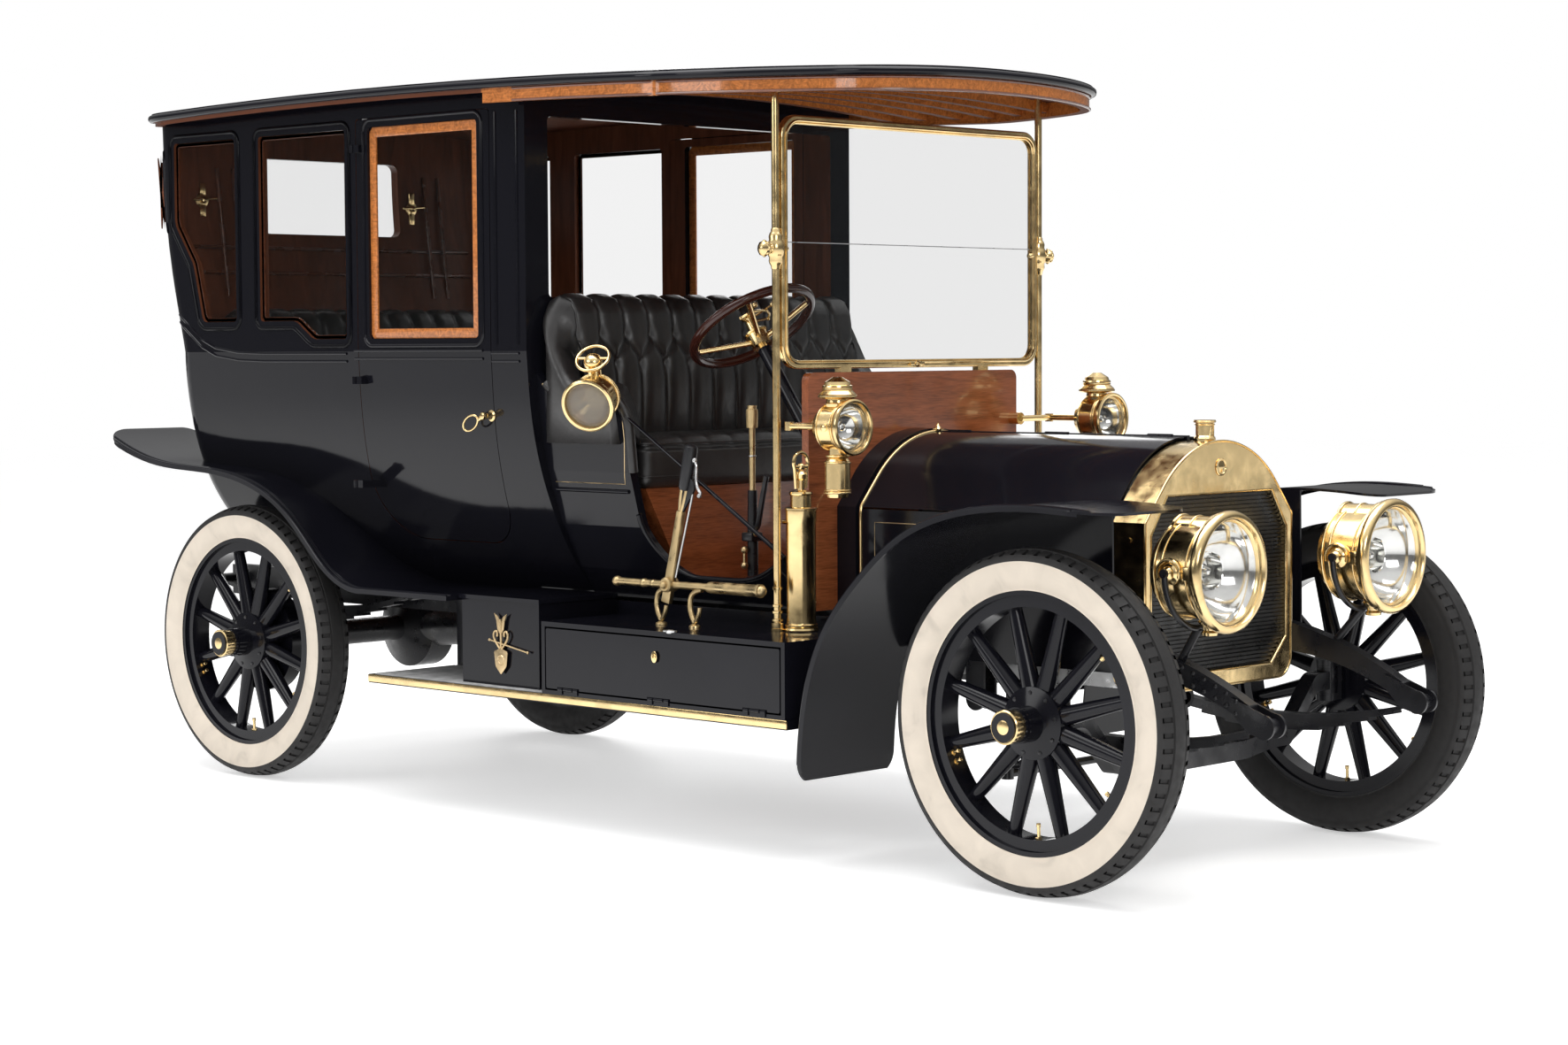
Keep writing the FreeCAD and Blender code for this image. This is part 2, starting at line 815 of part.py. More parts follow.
def knuckle():
    """The left forked stub axle: two ears, king pin, bridge, stub and the arm to the tie rod."""
    pin_x_y = vector(front_axle_x, king_pin_y, 0)
    eye_low = axle_z - king_eye_height / 2 - fit_gap
    eye_high = axle_z + king_eye_height / 2 + fit_gap
    low = pin_x_y + along_z * (eye_low - king_ear_thickness)
    high = pin_x_y + along_z * eye_high
    pieces = [rod(low, low + along_z * king_ear_thickness, king_eye_radius),
              rod(high, high + along_z * king_ear_thickness, king_eye_radius),
              rod(low, high + along_z * king_ear_thickness, king_pin_radius)]
    bridge_y = king_pin_y + king_eye_radius + fit_gap
    top_z = eye_high + king_ear_thickness
    low_z = eye_low - king_ear_thickness
    outer_y = bridge_y + knuckle_bridge
    pieces.append(box(front_axle_x - knuckle_half_width, front_axle_x + knuckle_half_width,
                      bridge_y, outer_y, low_z, top_z))
    for z in (low_z, eye_high):
        pieces.append(box(front_axle_x - knuckle_half_width, front_axle_x + knuckle_half_width,
                          king_pin_y, outer_y, z, z + king_ear_thickness))
    stub_start = vector(front_axle_x, bridge_y, axle_z)
    stub_end_y = wheel_centre_y + hub_length - hub_inner_setback
    stub_end = vector(front_axle_x, stub_end_y, axle_z)
    pieces.append(rod(stub_start, stub_end, stub_radius))
    arm_start = low + along_z * king_ear_thickness / 2
    arm_end = steering_arm_end(1)
    arm_seat = arm_end + along_z * steering_arm_radius * 1.2
    elbow = vector(arm_end.x + king_eye_radius * 2, arm_start.y, arm_seat.z)
    pieces.append(rod(arm_start, elbow, steering_arm_radius))
    boss_low = elbow - along_z * steering_arm_knob_radius
    pieces.append(rod(boss_low, boss_low + along_z * steering_arm_knob_radius * 2, steering_arm_knob_radius))
    pieces.append(rod(elbow, arm_seat, steering_arm_radius))
    pieces.append(rod(arm_end, arm_end + along_z * steering_arm_radius * 2.4, tie_rod_end_radius))
    pieces.append(rod(arm_end - along_z * tie_rod_end_height, arm_end, tie_rod_pin_radius))
    return fused(pieces)


def tie_rod():
    """The rod between the steering arms; its left eye is the loosely fitted one."""
    ends = [steering_arm_end(side) - along_z * (tie_rod_end_height - fit_gap) for side in (-1, 1)]
    height = tie_rod_end_height - fit_gap * 2
    middle = along_z * height / 2
    pieces = [rod(end, end + along_z * height, tie_rod_end_radius) for end in ends]
    pieces.append(rod(ends[0] + middle, ends[1] + middle, tie_rod_radius))
    solid = fused(pieces)
    for end, clearance in zip(ends, (running_clearance, open_pivot_clearance)):
        bore = rod(end - along_z * overrun, end + along_z * (height + overrun),
                   tie_rod_pin_radius + clearance)
        solid = solid.cut(bore)
    return solid


def gearbox_rear_x():
    return gearbox_ahead_of_middle - gearbox_length / 2


def rear_axle():
    """The driven axle: differential case, axle tubes, spring seats and the torque tube."""
    centre = vector(rear_axle_x, 0, axle_z)
    half = differential_width / 2
    case = revolved((
        (-half, 0), (-half, axle_tube_radius), (-half / 2, differential_radius),
        (half / 2, differential_radius), (half, axle_tube_radius), (half, 0)),
        centre, along_y, along_z)
    pieces = [case]
    stub_end_y = wheel_centre_y + hub_length - hub_inner_setback
    pad_z = spring_under_z(rear_spring_eye_z)
    for side in (-1, 1):
        tube_end = centre + along_y * side * axle_tube_half_length
        pieces.append(rod(centre, tube_end, axle_tube_radius))
        pieces.append(rod(centre, centre + along_y * side * stub_end_y, stub_radius))
        edges = sorted((side * (rear_spring_y - leaf_width / 2),
                        side * (rear_spring_y + leaf_width / 2)))
        pieces.append(box(rear_axle_x - axle_tube_radius, rear_axle_x + axle_tube_radius, *edges,
                          axle_z, pad_z))
    tube_start = vector(gearbox_rear_x() - panel_gap, 0, shaft_height)
    pieces.append(cone(tube_start, centre, torque_tube_radius, torque_tube_radius * 2))
    return fused(pieces)


def engine():
    """A plain block in the place of the engine and gearbox, on bearers between the rails."""
    front = radiator_back_x - engine_gap_to_radiator
    rear = front - engine_length
    block = box(rear, front, -engine_width / 2, engine_width / 2, engine_low_z, engine_high_z)
    box_rear = gearbox_rear_x()
    box_front = box_rear + gearbox_length
    gearbox = box(box_rear, box_front, -gearbox_width / 2, gearbox_width / 2,
                  gearbox_low_z, gearbox_high_z)
    shaft = rod(vector(box_front - overrun, 0, shaft_height), vector(rear + overrun, 0, shaft_height),
                clutch_radius)
    pieces = [block, gearbox, shaft]
    inner_y = rail_centre_y + rail_width / 2 - rail_web
    bearer_z = sill_z - rail_depth / 2
    for x in (front - bearer_width * 3, rear + bearer_width * 3, box_front - bearer_width * 2,
              box_rear + bearer_width):
        pieces.append(box(x, x + bearer_width, -inner_y, inner_y,
                          bearer_z, bearer_z + bearer_depth))
    return fused(pieces)


# Radiator, hood and scuttle

def hood_arch(grow, rise):
    """The points of the hood's right half section, from the bottom up to the crown."""
    side_y = -(radiator_half_width + grow)
    return {
        "side_y": side_y,
        "shoulder": (side_y, shoulder_z + rise),
        "haunch": (-(haunch_half_width + grow), haunch_z + grow + rise),
        "crown_z": crown_z + grow + rise,
    }


def arch_wire(grow, rise, low_z, corner, place):
    """A closed section: flat foot, upright sides, sloped haunches and one crown arc."""
    arch = hood_arch(grow, rise)
    side_y = arch["side_y"]
    shoulder = arch["shoulder"]
    haunch = arch["haunch"]
    points = [(side_y, low_z + corner), shoulder, haunch]
    edges = []
    for sign in (1, -1):
        for start, end in zip(points, points[1:]):
            edges.append(Part.makeLine(place(sign * start[0], start[1]),
                                       place(sign * end[0], end[1])))
    crown = Part.Arc(place(*haunch), place(0, arch["crown_z"]), place(-haunch[0], haunch[1]))
    edges.append(crown.toShape())
    flat = abs(side_y) - corner
    edges.append(Part.makeLine(place(-flat, low_z), place(flat, low_z)))
    if corner:
        reach = corner * (1 - math.sqrt(0.5))
        for sign in (-1, 1):
            middle = place(sign * (abs(side_y) - reach), low_z + reach)
            arc = Part.Arc(place(sign * flat, low_z), middle, place(sign * abs(side_y), low_z + corner))
            edges.append(arc.toShape())
    return Part.Wire(Part.__sortEdges__(edges))


def core_corners(shrink):
    half = radiator_half_width - shell_side_band - shrink
    low = radiator_low_z + shell_low_band + shrink
    high = core_top_z - shrink
    return (
        (-half, low + core_cut, 0), (-half, shoulder_z - core_cut / 2, 0),
        (-half + core_cut, high, 0), (half - core_cut, high, 0),
        (half, shoulder_z - core_cut / 2, 0), (half, low + core_cut, 0),
        (half - core_cut, low, 0), (-half + core_cut, low, 0))


def radiator_shell():
    wire = arch_wire(0, 0, radiator_low_z, radiator_corner, in_yz(radiator_back_x))
    shell = prism(wire, vector(radiator_depth, 0, 0))
    opening = front_plate(core_corners(0), radiator_back_x - overrun, radiator_front_x + overrun)
    shell = shell.cut(opening)
    filler_x = radiator_back_x + radiator_depth / 2
    filler_z = crown_z - filler_lip_height
    filler = revolved((
        (0, 0), (0, filler_lip_radius), (filler_lip_height * 2, filler_lip_radius),
        (filler_lip_height * 3, filler_radius), (filler_height, filler_radius),
        (filler_height, filler_lip_radius), (filler_height + filler_lip_height, filler_lip_radius),
        (filler_height + filler_lip_height, 0)),
        vector(filler_x, 0, filler_z), along_z, along_x)
    middle = radiator_back_x + radiator_depth / 2
    lug = box(middle - radiator_lug / 2, middle + radiator_lug / 2,
              radiator_half_width - shell_side_band / 2, rail_centre_y - rail_width / 2,
              sill_z - radiator_lug, sill_z - radiator_lug / 2)
    return fused([shell, filler] + pair(lug))


def radiator_core():
    """The ribbed core, held in the shell's opening."""
    back = radiator_front_x - core_setback - core_depth
    front = radiator_front_x - core_setback
    core = front_plate(core_corners(0), back, front)
    low = radiator_low_z + shell_low_band
    pitch = (core_top_z - low) / core_rib_count
    grooves = []
    for index in range(core_rib_count):
        z = low + pitch * (index + 0.5)
        grooves.append(box(front - core_rib_depth, front + overrun, -radiator_half_width,
                           radiator_half_width, z, z + core_rib_height))
    return core.cut(Part.makeCompound(grooves))


def tube(start, end, radius, bore):
    direction = end - start
    direction.normalize()
    return rod(start, end, radius).cut(rod(start - direction, end + direction, bore))


def hood_hinge_x():
    return [hood_rear_x + hood_length * share for share in hinge_place_shares]


def hood_hinge_z():
    return crown_z + hood_rise


def hood_hinge_rod():
    """The rod that both hood halves turn on, from the cowl to a block on the radiator."""
    z = hood_hinge_z()
    pin = rod(vector(cowl_front_x, 0, z), vector(radiator_back_x, 0, z), hood_pin_radius)
    block = box(radiator_back_x - panel_gap + hood_hinge_clearance, radiator_back_x,
                -hood_hinge_radius, hood_hinge_radius, z - hood_hinge_radius * 3,
                z + hood_pin_radius)
    return fused([pin, block])


def hood_half(side):
    """One top panel of the hood, bent from sheet, and the hinge leaves let into its crown edge."""
    outer = hood_arch(0, hood_rise)
    inner = hood_arch(-hood_sheet, hood_rise)
    place = in_yz(hood_rear_x)
    centre_y = -side * panel_gap / 2

    def crown_point(arch, y):
        half = abs(arch["haunch"][0])
        rise = arch["crown_z"] - arch["haunch"][1]
        radius = (half ** 2 + rise ** 2) / (2 * rise)
        return arch["crown_z"] - radius + math.sqrt(radius ** 2 - y ** 2)

    def half_points(arch):
        middle_y = arch["haunch"][0] / 2
        return [(-panel_gap / 2, crown_point(arch, panel_gap / 2)),
                (middle_y, crown_point(arch, middle_y)), arch["haunch"], arch["shoulder"]]

    edges = []
    for arch in (outer, inner):
        points = [(-side * y, z) for y, z in half_points(arch)]
        edges.append(Part.Arc(*[place(*point) for point in points[:3]]).toShape())
        edges.append(Part.makeLine(place(*points[2]), place(*points[3])))
    outer_points = [(-side * y, z) for y, z in half_points(outer)]
    inner_points = [(-side * y, z) for y, z in half_points(inner)]
    edges.append(Part.makeLine(place(*outer_points[3]), place(*inner_points[3])))
    edges.append(Part.makeLine(place(*outer_points[0]), place(*inner_points[0])))
    wire = Part.Wire(Part.__sortEdges__(edges))
    panel = prism(wire, vector(hood_length, 0, 0))
    z = hood_hinge_z()
    channel = rod(vector(hood_rear_x - overrun, 0, z), vector(hood_front_x + overrun, 0, z),
                  hood_hinge_radius + hood_hinge_clearance * 2)
    panel = panel.cut(channel)
    leaf_y = sorted((side * (hood_pin_radius + hood_hinge_radius) / 2,
                     side * hood_hinge_radius * 2))
    hinges = []
    for x in hood_hinge_x():
        start, end = sorted((x + side * hood_hinge_clearance, x + side * hood_hinge_length))
        notch = box(start, end, *leaf_y, z - hood_sheet * 2, z + hood_sheet)
        panel = panel.cut(notch)
        barrel = tube(vector(start, 0, z), vector(end, 0, z), hood_hinge_radius,
                      hood_pin_radius + hinge_bore_clearance)
        hinges.append(fused([barrel, box(start, end, *leaf_y, z - hood_sheet, z)]))
    return [panel] + hinges


def hood_sides():
    """The upright side panels below the hood's shoulders, standing on the rails."""
    high = shoulder_z + hood_rise - panel_gap
    outer = radiator_half_width
    panel = box(hood_rear_x, hood_front_x, outer - hood_sheet, outer, sill_z, high)
    foot = box(hood_rear_x, hood_front_x, outer - hood_sheet, rail_centre_y, sill_z,
               sill_z + hood_sheet)
    return pair(fused([panel, foot])) + [hood_hinge_rod()]


def cowl():
    """The black arch that closes the gap between the hood and the dash board."""
    outer = prism(arch_wire(cowl_flange, hood_rise, sill_z, 0, in_yz(dash_x)),
                  vector(cowl_length, 0, 0))
    inner = prism(arch_wire(-cowl_depth, hood_rise, sill_z - overrun, 0, in_yz(dash_x - overrun)),
                  vector(cowl_length + overrun * 2, 0, 0))
    return outer.cut(inner).cut(column_envelope(fit_gap))


def column_direction():
    angle = math.radians(column_angle)
    return vector(math.cos(angle), 0, -math.sin(angle))


def steering_hub():
    return vector(dash_x - steering_hub_behind_dash, steering_y, steering_hub_z)


def column_envelope(clearance):
    start = steering_hub() + column_direction() * column_gap_to_hub
    return rod(start, start + column_direction() * column_length, column_radius + clearance)


def dash():
    board = front_plate((
        (-dash_half_width, sill_z, 0), (dash_half_width, sill_z, 0),
        (dash_half_width, dash_high_z, dash_thickness),
        (-dash_half_width, dash_high_z, dash_thickness)), dash_x - dash_thickness, dash_x)
    return board.cut(column_envelope(fit_gap))


def roof_z(x, y):
    peak_x = rear_axle_x + roof_peak_ahead_of_rear_axle
    fall = (x - peak_x) ** 2 / (2 * roof_arch_radius)
    return overall_height_at_rim - fall + roof_crown * (1 - (y / roof_half_width) ** 2)


def roof_layer(drop, thickness):
    """A curved sheet that follows the roof's top at a given drop below it."""
    rows = []
    nose_x = dash_x + roof_nose_ahead_of_screen
    tail_x = cabin_rear_x - cabin_top_lean
    x_values = [tail_x - overrun * 3, 0, nose_x + overrun * 3]
    y_values = [-roof_half_width - overrun, 0, roof_half_width + overrun]
    x_steps = [x_values[0] + (x_values[2] - x_values[0]) * step / 4 for step in range(5)]
    y_steps = [y_values[0] + (y_values[2] - y_values[0]) * step / 4 for step in range(5)]
    for x in x_steps:
        rows.append([vector(x, y, roof_z(x, y) - drop) for y in y_steps])
    surface = Part.BSplineSurface()
    surface.interpolate(rows)
    return surface.toShape().extrude(vector(0, 0, -thickness))


def roof_plan(inset, z_low, z_high):
    """The roof's plan: square tail with round corners and a bowed nose."""
    half = roof_half_width - inset
    nose_x = dash_x + roof_nose_ahead_of_screen - inset
    start_x = nose_x - roof_nose_length
    tail_x = cabin_rear_x - cabin_top_lean - roof_rear_overlap + inset
    nose = []
    for x_share, y_share in roof_nose_shares:
        nose.append(vector(start_x + roof_nose_length * x_share, half * y_share, z_low))
    mirror_nose = [vector(point.x, -point.y, point.z) for point in reversed(nose[:-1])]
    nose_edge = spline(nose + mirror_nose, (along_x, -along_x)).toShape()
    corner = roof_rear_corner
    reach = corner * (1 - math.sqrt(0.5))
    edges = [nose_edge]
    for side in (1, -1):
        edges.append(Part.makeLine(vector(start_x, side * half, z_low),
                                   vector(tail_x + corner, side * half, z_low)))
        edges.append(Part.Arc(vector(tail_x + corner, side * half, z_low),
                              vector(tail_x + reach, side * (half - reach), z_low),
                              vector(tail_x, side * (half - corner), z_low)).toShape())
    edges.append(Part.makeLine(vector(tail_x, half - corner, z_low),
                               vector(tail_x, corner - half, z_low)))
    return prism(Part.Wire(Part.__sortEdges__(edges)), vector(0, 0, z_high - z_low))


def roof():
    top = overall_height_at_rim + roof_crown + overrun
    low = overall_height_at_rim - overrun * 4
    return roof_layer(0, roof_thickness).common(roof_plan(0, low, top))


def roof_wood():
    """The veneered fascia round the open front, the moulding behind it and the ribs above."""
    top = overall_height_at_rim + roof_crown + overrun
    low = overall_height_at_rim - overrun * 4
    ring = roof_plan(fascia_inset, low, top).cut(roof_plan(fascia_inset + fascia_thickness,
                                                           low - overrun, top + overrun))
    split_x = cabin_front_x - fascia_rear_behind_cabin_front
    nose_x = dash_x + roof_nose_ahead_of_screen
    half = roof_half_width + overrun
    front_space = box(split_x, nose_x + overrun, -half, half, low, top)
    deep = roof_layer(roof_thickness, fascia_height)
    shallow = roof_layer(roof_thickness, moulding_height)
    moulding = ring.cut(front_space).common(shallow).cut(cabin_solid(-fit_gap, sill_z))
    pieces = [ring.common(front_space).common(deep), moulding]
    inside = roof_plan(fascia_inset + fascia_thickness / 2, low, top)
    rib_layer = roof_layer(roof_thickness, rib_height).common(inside)
    rib_start = cabin_front_x + wall
    pitch = (dash_x - rib_start) / rib_count
    for index in range(rib_count):
        x = rib_start + pitch * (index + 0.5)
        pieces.append(rib_layer.common(box(x, x + rib_width, -half, half, low, top)))
    return fused(pieces)


def above_roof_underside():
    return roof_layer(roof_thickness, -overall_height_at_rim / 2)


def windscreen_frame(wood):
    """The brass screen frame with the two posts that carry it up to the roof."""
    x_low = dash_x - screen_bar
    half = screen_half_width

    def ring(inset, x_from, x_to):
        return front_plate((
            (-half + inset, screen_low_z + inset, screen_corner - inset),
            (half - inset, screen_low_z + inset, screen_corner - inset),
            (half - inset, screen_high_z - inset, screen_corner - inset),
            (-half + inset, screen_high_z - inset, screen_corner - inset)), x_from, x_to)

    frame = ring(0, x_low, dash_x).cut(ring(screen_bar, x_low - overrun, dash_x + overrun))
    frame = frame.makeFillet(screen_bar / 4, frame.Edges)
    post_x = dash_x - screen_bar / 2
    pieces = [frame]
    for side in (-1, 1):
        foot = vector(post_x, side * post_y, tool_box_high_z)
        pieces.append(rod(foot, vector(post_x, side * post_y, overall_height_at_rim), post_radius))
        pieces.append(rod(foot, foot + along_z * post_radius * 2, post_foot_radius))
        inner = vector(post_x, side * (half - screen_bar / 2), clamp_z)
        outer = vector(post_x, side * (post_y + clamp_reach), clamp_z)
        pieces.append(rod(inner, outer, clamp_radius))
        pieces.append(ball(outer, clamp_ball_radius))
        collar = vector(post_x, side * post_y, clamp_z - clamp_ball_radius * 2)
        pieces.append(rod(collar, collar + along_z * clamp_ball_radius * 4, post_radius * 1.5))
        foot_y = side * screen_foot_y
        pieces.append(box(x_low, dash_x, foot_y - screen_foot_length / 2,
                          foot_y + screen_foot_length / 2, dash_high_z,
                          screen_low_z + screen_bar / 2))
    frame = fused(pieces)
    frame = frame.cut(above_roof_underside())
    return frame.cut(wood)


def windscreen_glass():
    inset = screen_bar
    half = screen_half_width - inset
    low = screen_low_z + inset
    high = screen_high_z - inset
    corner = screen_corner - inset
    middle_x = dash_x - screen_bar / 2
    pane = front_plate(((-half, low, corner), (half, low, corner), (half, high, corner),
                        (-half, high, corner)), middle_x - screen_glass / 2,
                       middle_x + screen_glass / 2)
    middle_z = (low + high) / 2
    seam = box(middle_x - overrun, middle_x + overrun, -half - overrun, half + overrun,
               middle_z - screen_seam / 2, middle_z + screen_seam / 2)
    return pane.cut(seam).Solids


# Cabin

def cabin_section(z, half_width, rear_x, front_x, corner):
    """One level of the cabin's plan: square front, round rear corners."""
    reach = corner * (1 - math.sqrt(0.5))
    edges = [Part.makeLine(vector(front_x, -half_width, z), vector(front_x, half_width, z)),
             Part.makeLine(vector(front_x, half_width, z), vector(rear_x + corner, half_width, z)),
             Part.Arc(vector(rear_x + corner, half_width, z),
                      vector(rear_x + reach, half_width - reach, z),
                      vector(rear_x, half_width - corner, z)).toShape(),
             Part.makeLine(vector(rear_x, half_width - corner, z),
                           vector(rear_x, corner - half_width, z)),
             Part.Arc(vector(rear_x, corner - half_width, z),
                      vector(rear_x + reach, reach - half_width, z),
                      vector(rear_x + corner, -half_width, z)).toShape(),
             Part.makeLine(vector(rear_x + corner, -half_width, z), vector(front_x, -half_width, z))]
    return Part.Wire(edges)


def cabin_solid(inset, low_z):
    """The cabin's tulip-sided form, taken in by a wall's thickness for its hollow."""
    top_z = overall_height_at_rim + roof_crown
    front_x = cabin_front_x - inset
    corner = cabin_corner - inset
    lower = []
    for (z_share, width_share), (ignored, under_share) in zip(tulip_shares, tail_shares):
        z = sill_z + (belt_z - sill_z) * z_share
        half = sill_half_width + (belt_half_width - sill_half_width) * width_share - inset
        rear = cabin_rear_x + tail_under * under_share + inset
        lower.append(cabin_section(z, half, rear, front_x, corner))
    upper = []
    for z_share, lean_share in upper_lean_shares:
        z = belt_z + (top_z - belt_z) * z_share
        rear = cabin_rear_x - cabin_top_lean * lean_share + inset
        upper.append(cabin_section(z, belt_half_width - inset, rear, front_x, corner))
    solid = fused([Part.makeLoft(lower, True), Part.makeLoft(upper, True)])
    if low_z > sill_z:
        reach = belt_half_width + overrun
        solid = solid.cut(box(cabin_rear_x - cabin_top_lean - overrun, cabin_front_x + overrun,
                              -reach, reach, sill_z - overrun, low_z))
    return solid


def door_prism(side, shrink):
    """The slanted cut through the side wall that parts the door from the cabin."""
    front = cabin_front_x - door_front_setback - shrink
    rear = front - door_width + shrink * 2
    outer_y = belt_half_width + overrun
    depth = belt_half_width + overrun - sill_half_width * 0.6
    lead = door_bevel * overrun
    corners = (
        (rear + lead, door_high_z - shrink, door_top_corner),
        (front + lead, door_high_z - shrink, door_top_corner),
        (front + lead, door_low_z + shrink, door_front_corner),
        (rear + lead, door_low_z + shrink, door_rear_corner))
    wire = outline(corners, in_xz(side * outer_y))
    return prism(wire, vector(-door_bevel * depth, -side * depth, 0))


def door_window(side, margin, y_from, y_to):
    front = cabin_front_x - door_front_setback - door_pillar + margin
    rear = front - door_width + door_pillar * 2 - margin * 2
    edges = sorted((side * y_from, side * y_to))
    return side_plate(((rear, window_low_z - margin, window_corner),
                       (front, window_low_z - margin, window_corner),
                       (front, window_high_z + margin, window_corner),
                       (rear, window_high_z + margin, window_corner)), *edges)


def quarter_windows(side, y_from, y_to):
    """The two fixed side windows; their sills follow the belt's sweep."""
    door_rear = cabin_front_x - door_front_setback - door_width
    front_end = door_rear - quarter_gap_to_door
    front_start = front_end - front_quarter_length
    rear_end = front_start - quarter_post
    rear_start = rear_end - rear_quarter_length
    edges = sorted((side * y_from, side * y_to))
    front = side_plate((
        (front_start, quarter_low_z, window_corner),
        (front_start + front_quarter_length * 0.42, quarter_low_z, quarter_sweep * 0.3),
        (front_start + front_quarter_length * 0.62, window_low_z, quarter_sweep * 0.3),
        (front_end, window_low_z, window_corner),
        (front_end, window_high_z, window_corner),
        (front_start, window_high_z, window_corner)), *edges)
    rear = side_plate((
        (rear_start + rear_quarter_length * 0.45, quarter_low_z, window_corner * 2),
        (rear_end, quarter_low_z, window_corner),
        (rear_end, window_high_z, window_corner),
        (rear_start, window_high_z, window_corner),
        (rear_start, quarter_low_z + quarter_sweep * 1.7, quarter_sweep * 0.35),
        (rear_start + rear_quarter_length * 0.3, quarter_low_z + quarter_sweep, quarter_sweep * 0.35)),
        *edges)
    return [front, rear]


def back_light(x_from, x_to):
    half = back_light_half_width
    return front_plate(((-half, back_light_low_z, window_corner * 2),
                        (half, back_light_low_z, window_corner * 2),
                        (half, back_light_high_z, window_corner * 2),
                        (-half, back_light_high_z, window_corner * 2)), x_from, x_to)


def cabin_shell():
    outer = cabin_solid(0, sill_z)
    inner = cabin_solid(wall, sill_z + floor_board)
    return outer.cut(inner).cut(above_roof_underside())


def cabin_body(shell):
    outside = belt_half_width + overrun
    inside = belt_half_width - wall - overrun
    body = shell
    for side in (-1, 1):
        body = body.cut(door_prism(side, 0))
        for window in quarter_windows(side, inside, outside):
            body = body.cut(window)
    rear_from = cabin_rear_x - cabin_top_lean - overrun
    body = body.cut(back_light(rear_from, rear_from + overrun * 4))
    opening_top = belt_z + (window_high_z - belt_z)
    division = front_plate((
        (-division_half_width, division_low_z, window_corner),
        (division_half_width, division_low_z, window_corner),
        (division_half_width, opening_top, window_corner),
        (-division_half_width, opening_top, window_corner)),
        cabin_front_x - wall - overrun, cabin_front_x + overrun)
    body = body.cut(division)
    panels = []
    for panel in cabin_panels(body):
        box_of_panel = panel.BoundBox
        is_side = box_of_panel.YMin * box_of_panel.YMax > 0
        own = [barrel for barrel in hinge_barrels(body_half=True)
               if is_side and barrel.BoundBox.YMax * box_of_panel.YMax > 0]
        panels.append(fused([panel] + own))
    return panels


def cabin_panels(body):
    """The coachbuilt body in its panels: floor, front wall, back and two sides, mitred behind."""
    reach = belt_half_width + overrun
    rear = cabin_rear_x - cabin_top_lean - overrun
    high = overall_height_at_rim + roof_crown + overrun
    floor_space = box(rear, cabin_front_x + overrun, -reach, reach, sill_z - overrun,
                      sill_z + floor_board)
    front_space = box(cabin_front_x - wall, cabin_front_x + overrun, -reach, reach,
                      sill_z - overrun, high)
    mitre_x = cabin_rear_x + cabin_corner
    mitre_y = belt_half_width - cabin_corner
    inner_x = mitre_x + mitre_y
    back_space = prism(outline(((inner_x, 0, 0), (rear - reach, mitre_y + mitre_x - rear + reach, 0),
                                (rear - reach, -(mitre_y + mitre_x - rear + reach), 0)),
                               in_xy(sill_z - overrun)), along_z * (high - sill_z + overrun))
    walls = body.cut(floor_space)
    shell = walls.cut(front_space)
    sides = shell.cut(back_space)
    left = box(rear, cabin_front_x + overrun, 0, reach, sill_z - overrun, high)
    return [body.common(floor_space), walls.common(front_space), shell.common(back_space),
            sides.common(left), sides.cut(left)]


def hinge_axis(side):
    rear = cabin_front_x - door_front_setback - door_width
    return vector(rear, side * (belt_half_width + hinge_stand_off), 0)


def hinge_barrels(body_half, sides=(-1, 1)):
    """Hinge knuckles on the cabin, or the ones on the door that they alternate with."""
    barrels = []
    half_height = hinge_barrel_height / 2
    for side in sides:
        axis = hinge_axis(side)
        for z in (upper_hinge_z, middle_hinge_z, lower_hinge_z):
            low = z if body_half else z + half_height + running_clearance
            base = axis + along_z * low
            surface = cabin_half_width_at(low)
            lean = door_bevel * (belt_half_width - surface)
            pieces = [rod(base, base + along_z * half_height, hinge_pin_radius)]
            if body_half:
                seam_x = axis.x - lean - wall / 2
                strap_y = sorted((axis.y, axis.y - side * hinge_strap))
                pieces.append(box(seam_x - hinge_leaf, axis.x, *strap_y, low,
                                  low + half_height))
                root_y = sorted((side * (surface - wall / 2), axis.y))
                pieces.append(box(seam_x - hinge_leaf, seam_x, *root_y, low,
                                  low + half_height))
            else:
                root_y = sorted((side * (surface - wall / 2), axis.y))
                pieces.append(box(axis.x, axis.x + hinge_leaf, *root_y, low,
                                  low + half_height))
            barrels.append(fused(pieces))
    return barrels


def cabin_half_width_at(z):
    share = min(max((z - sill_z) / (belt_z - sill_z), 0), 1)
    for (low, low_width), (high, high_width) in zip(tulip_shares, tulip_shares[1:]):
        if share <= high:
            part = (share - low) / (high - low)
            width = low_width + (high_width - low_width) * part
            return sill_half_width + (belt_half_width - sill_half_width) * width
    return belt_half_width


def door(shell, side):
    outside = belt_half_width + overrun
    inside = belt_half_width - wall - overrun
    panel = shell.common(door_prism(side, panel_gap / 2))
    panel = panel.cut(door_window(side, 0, inside, outside))
    return fused([panel] + hinge_barrels(body_half=False, sides=(side,)))


def pane_edges():
    outer = belt_half_width - glass_setback
    return outer - glass_thickness, outer


def door_glass(side):
    return door_window(side, 0, *pane_edges())


def cabin_glass():
    panes = []
    for side in (-1, 1):
        panes.extend(quarter_windows(side, *pane_edges()))
    wall_middle = cabin_solid(glass_setback, sill_z).cut(
        cabin_solid(glass_setback + glass_thickness, sill_z - overrun))
    rear_from = cabin_rear_x - cabin_top_lean - overrun
    panes.append(wall_middle.common(back_light(rear_from, rear_from + overrun * 4)))
    return panes


# Driver's tub, floor and seats

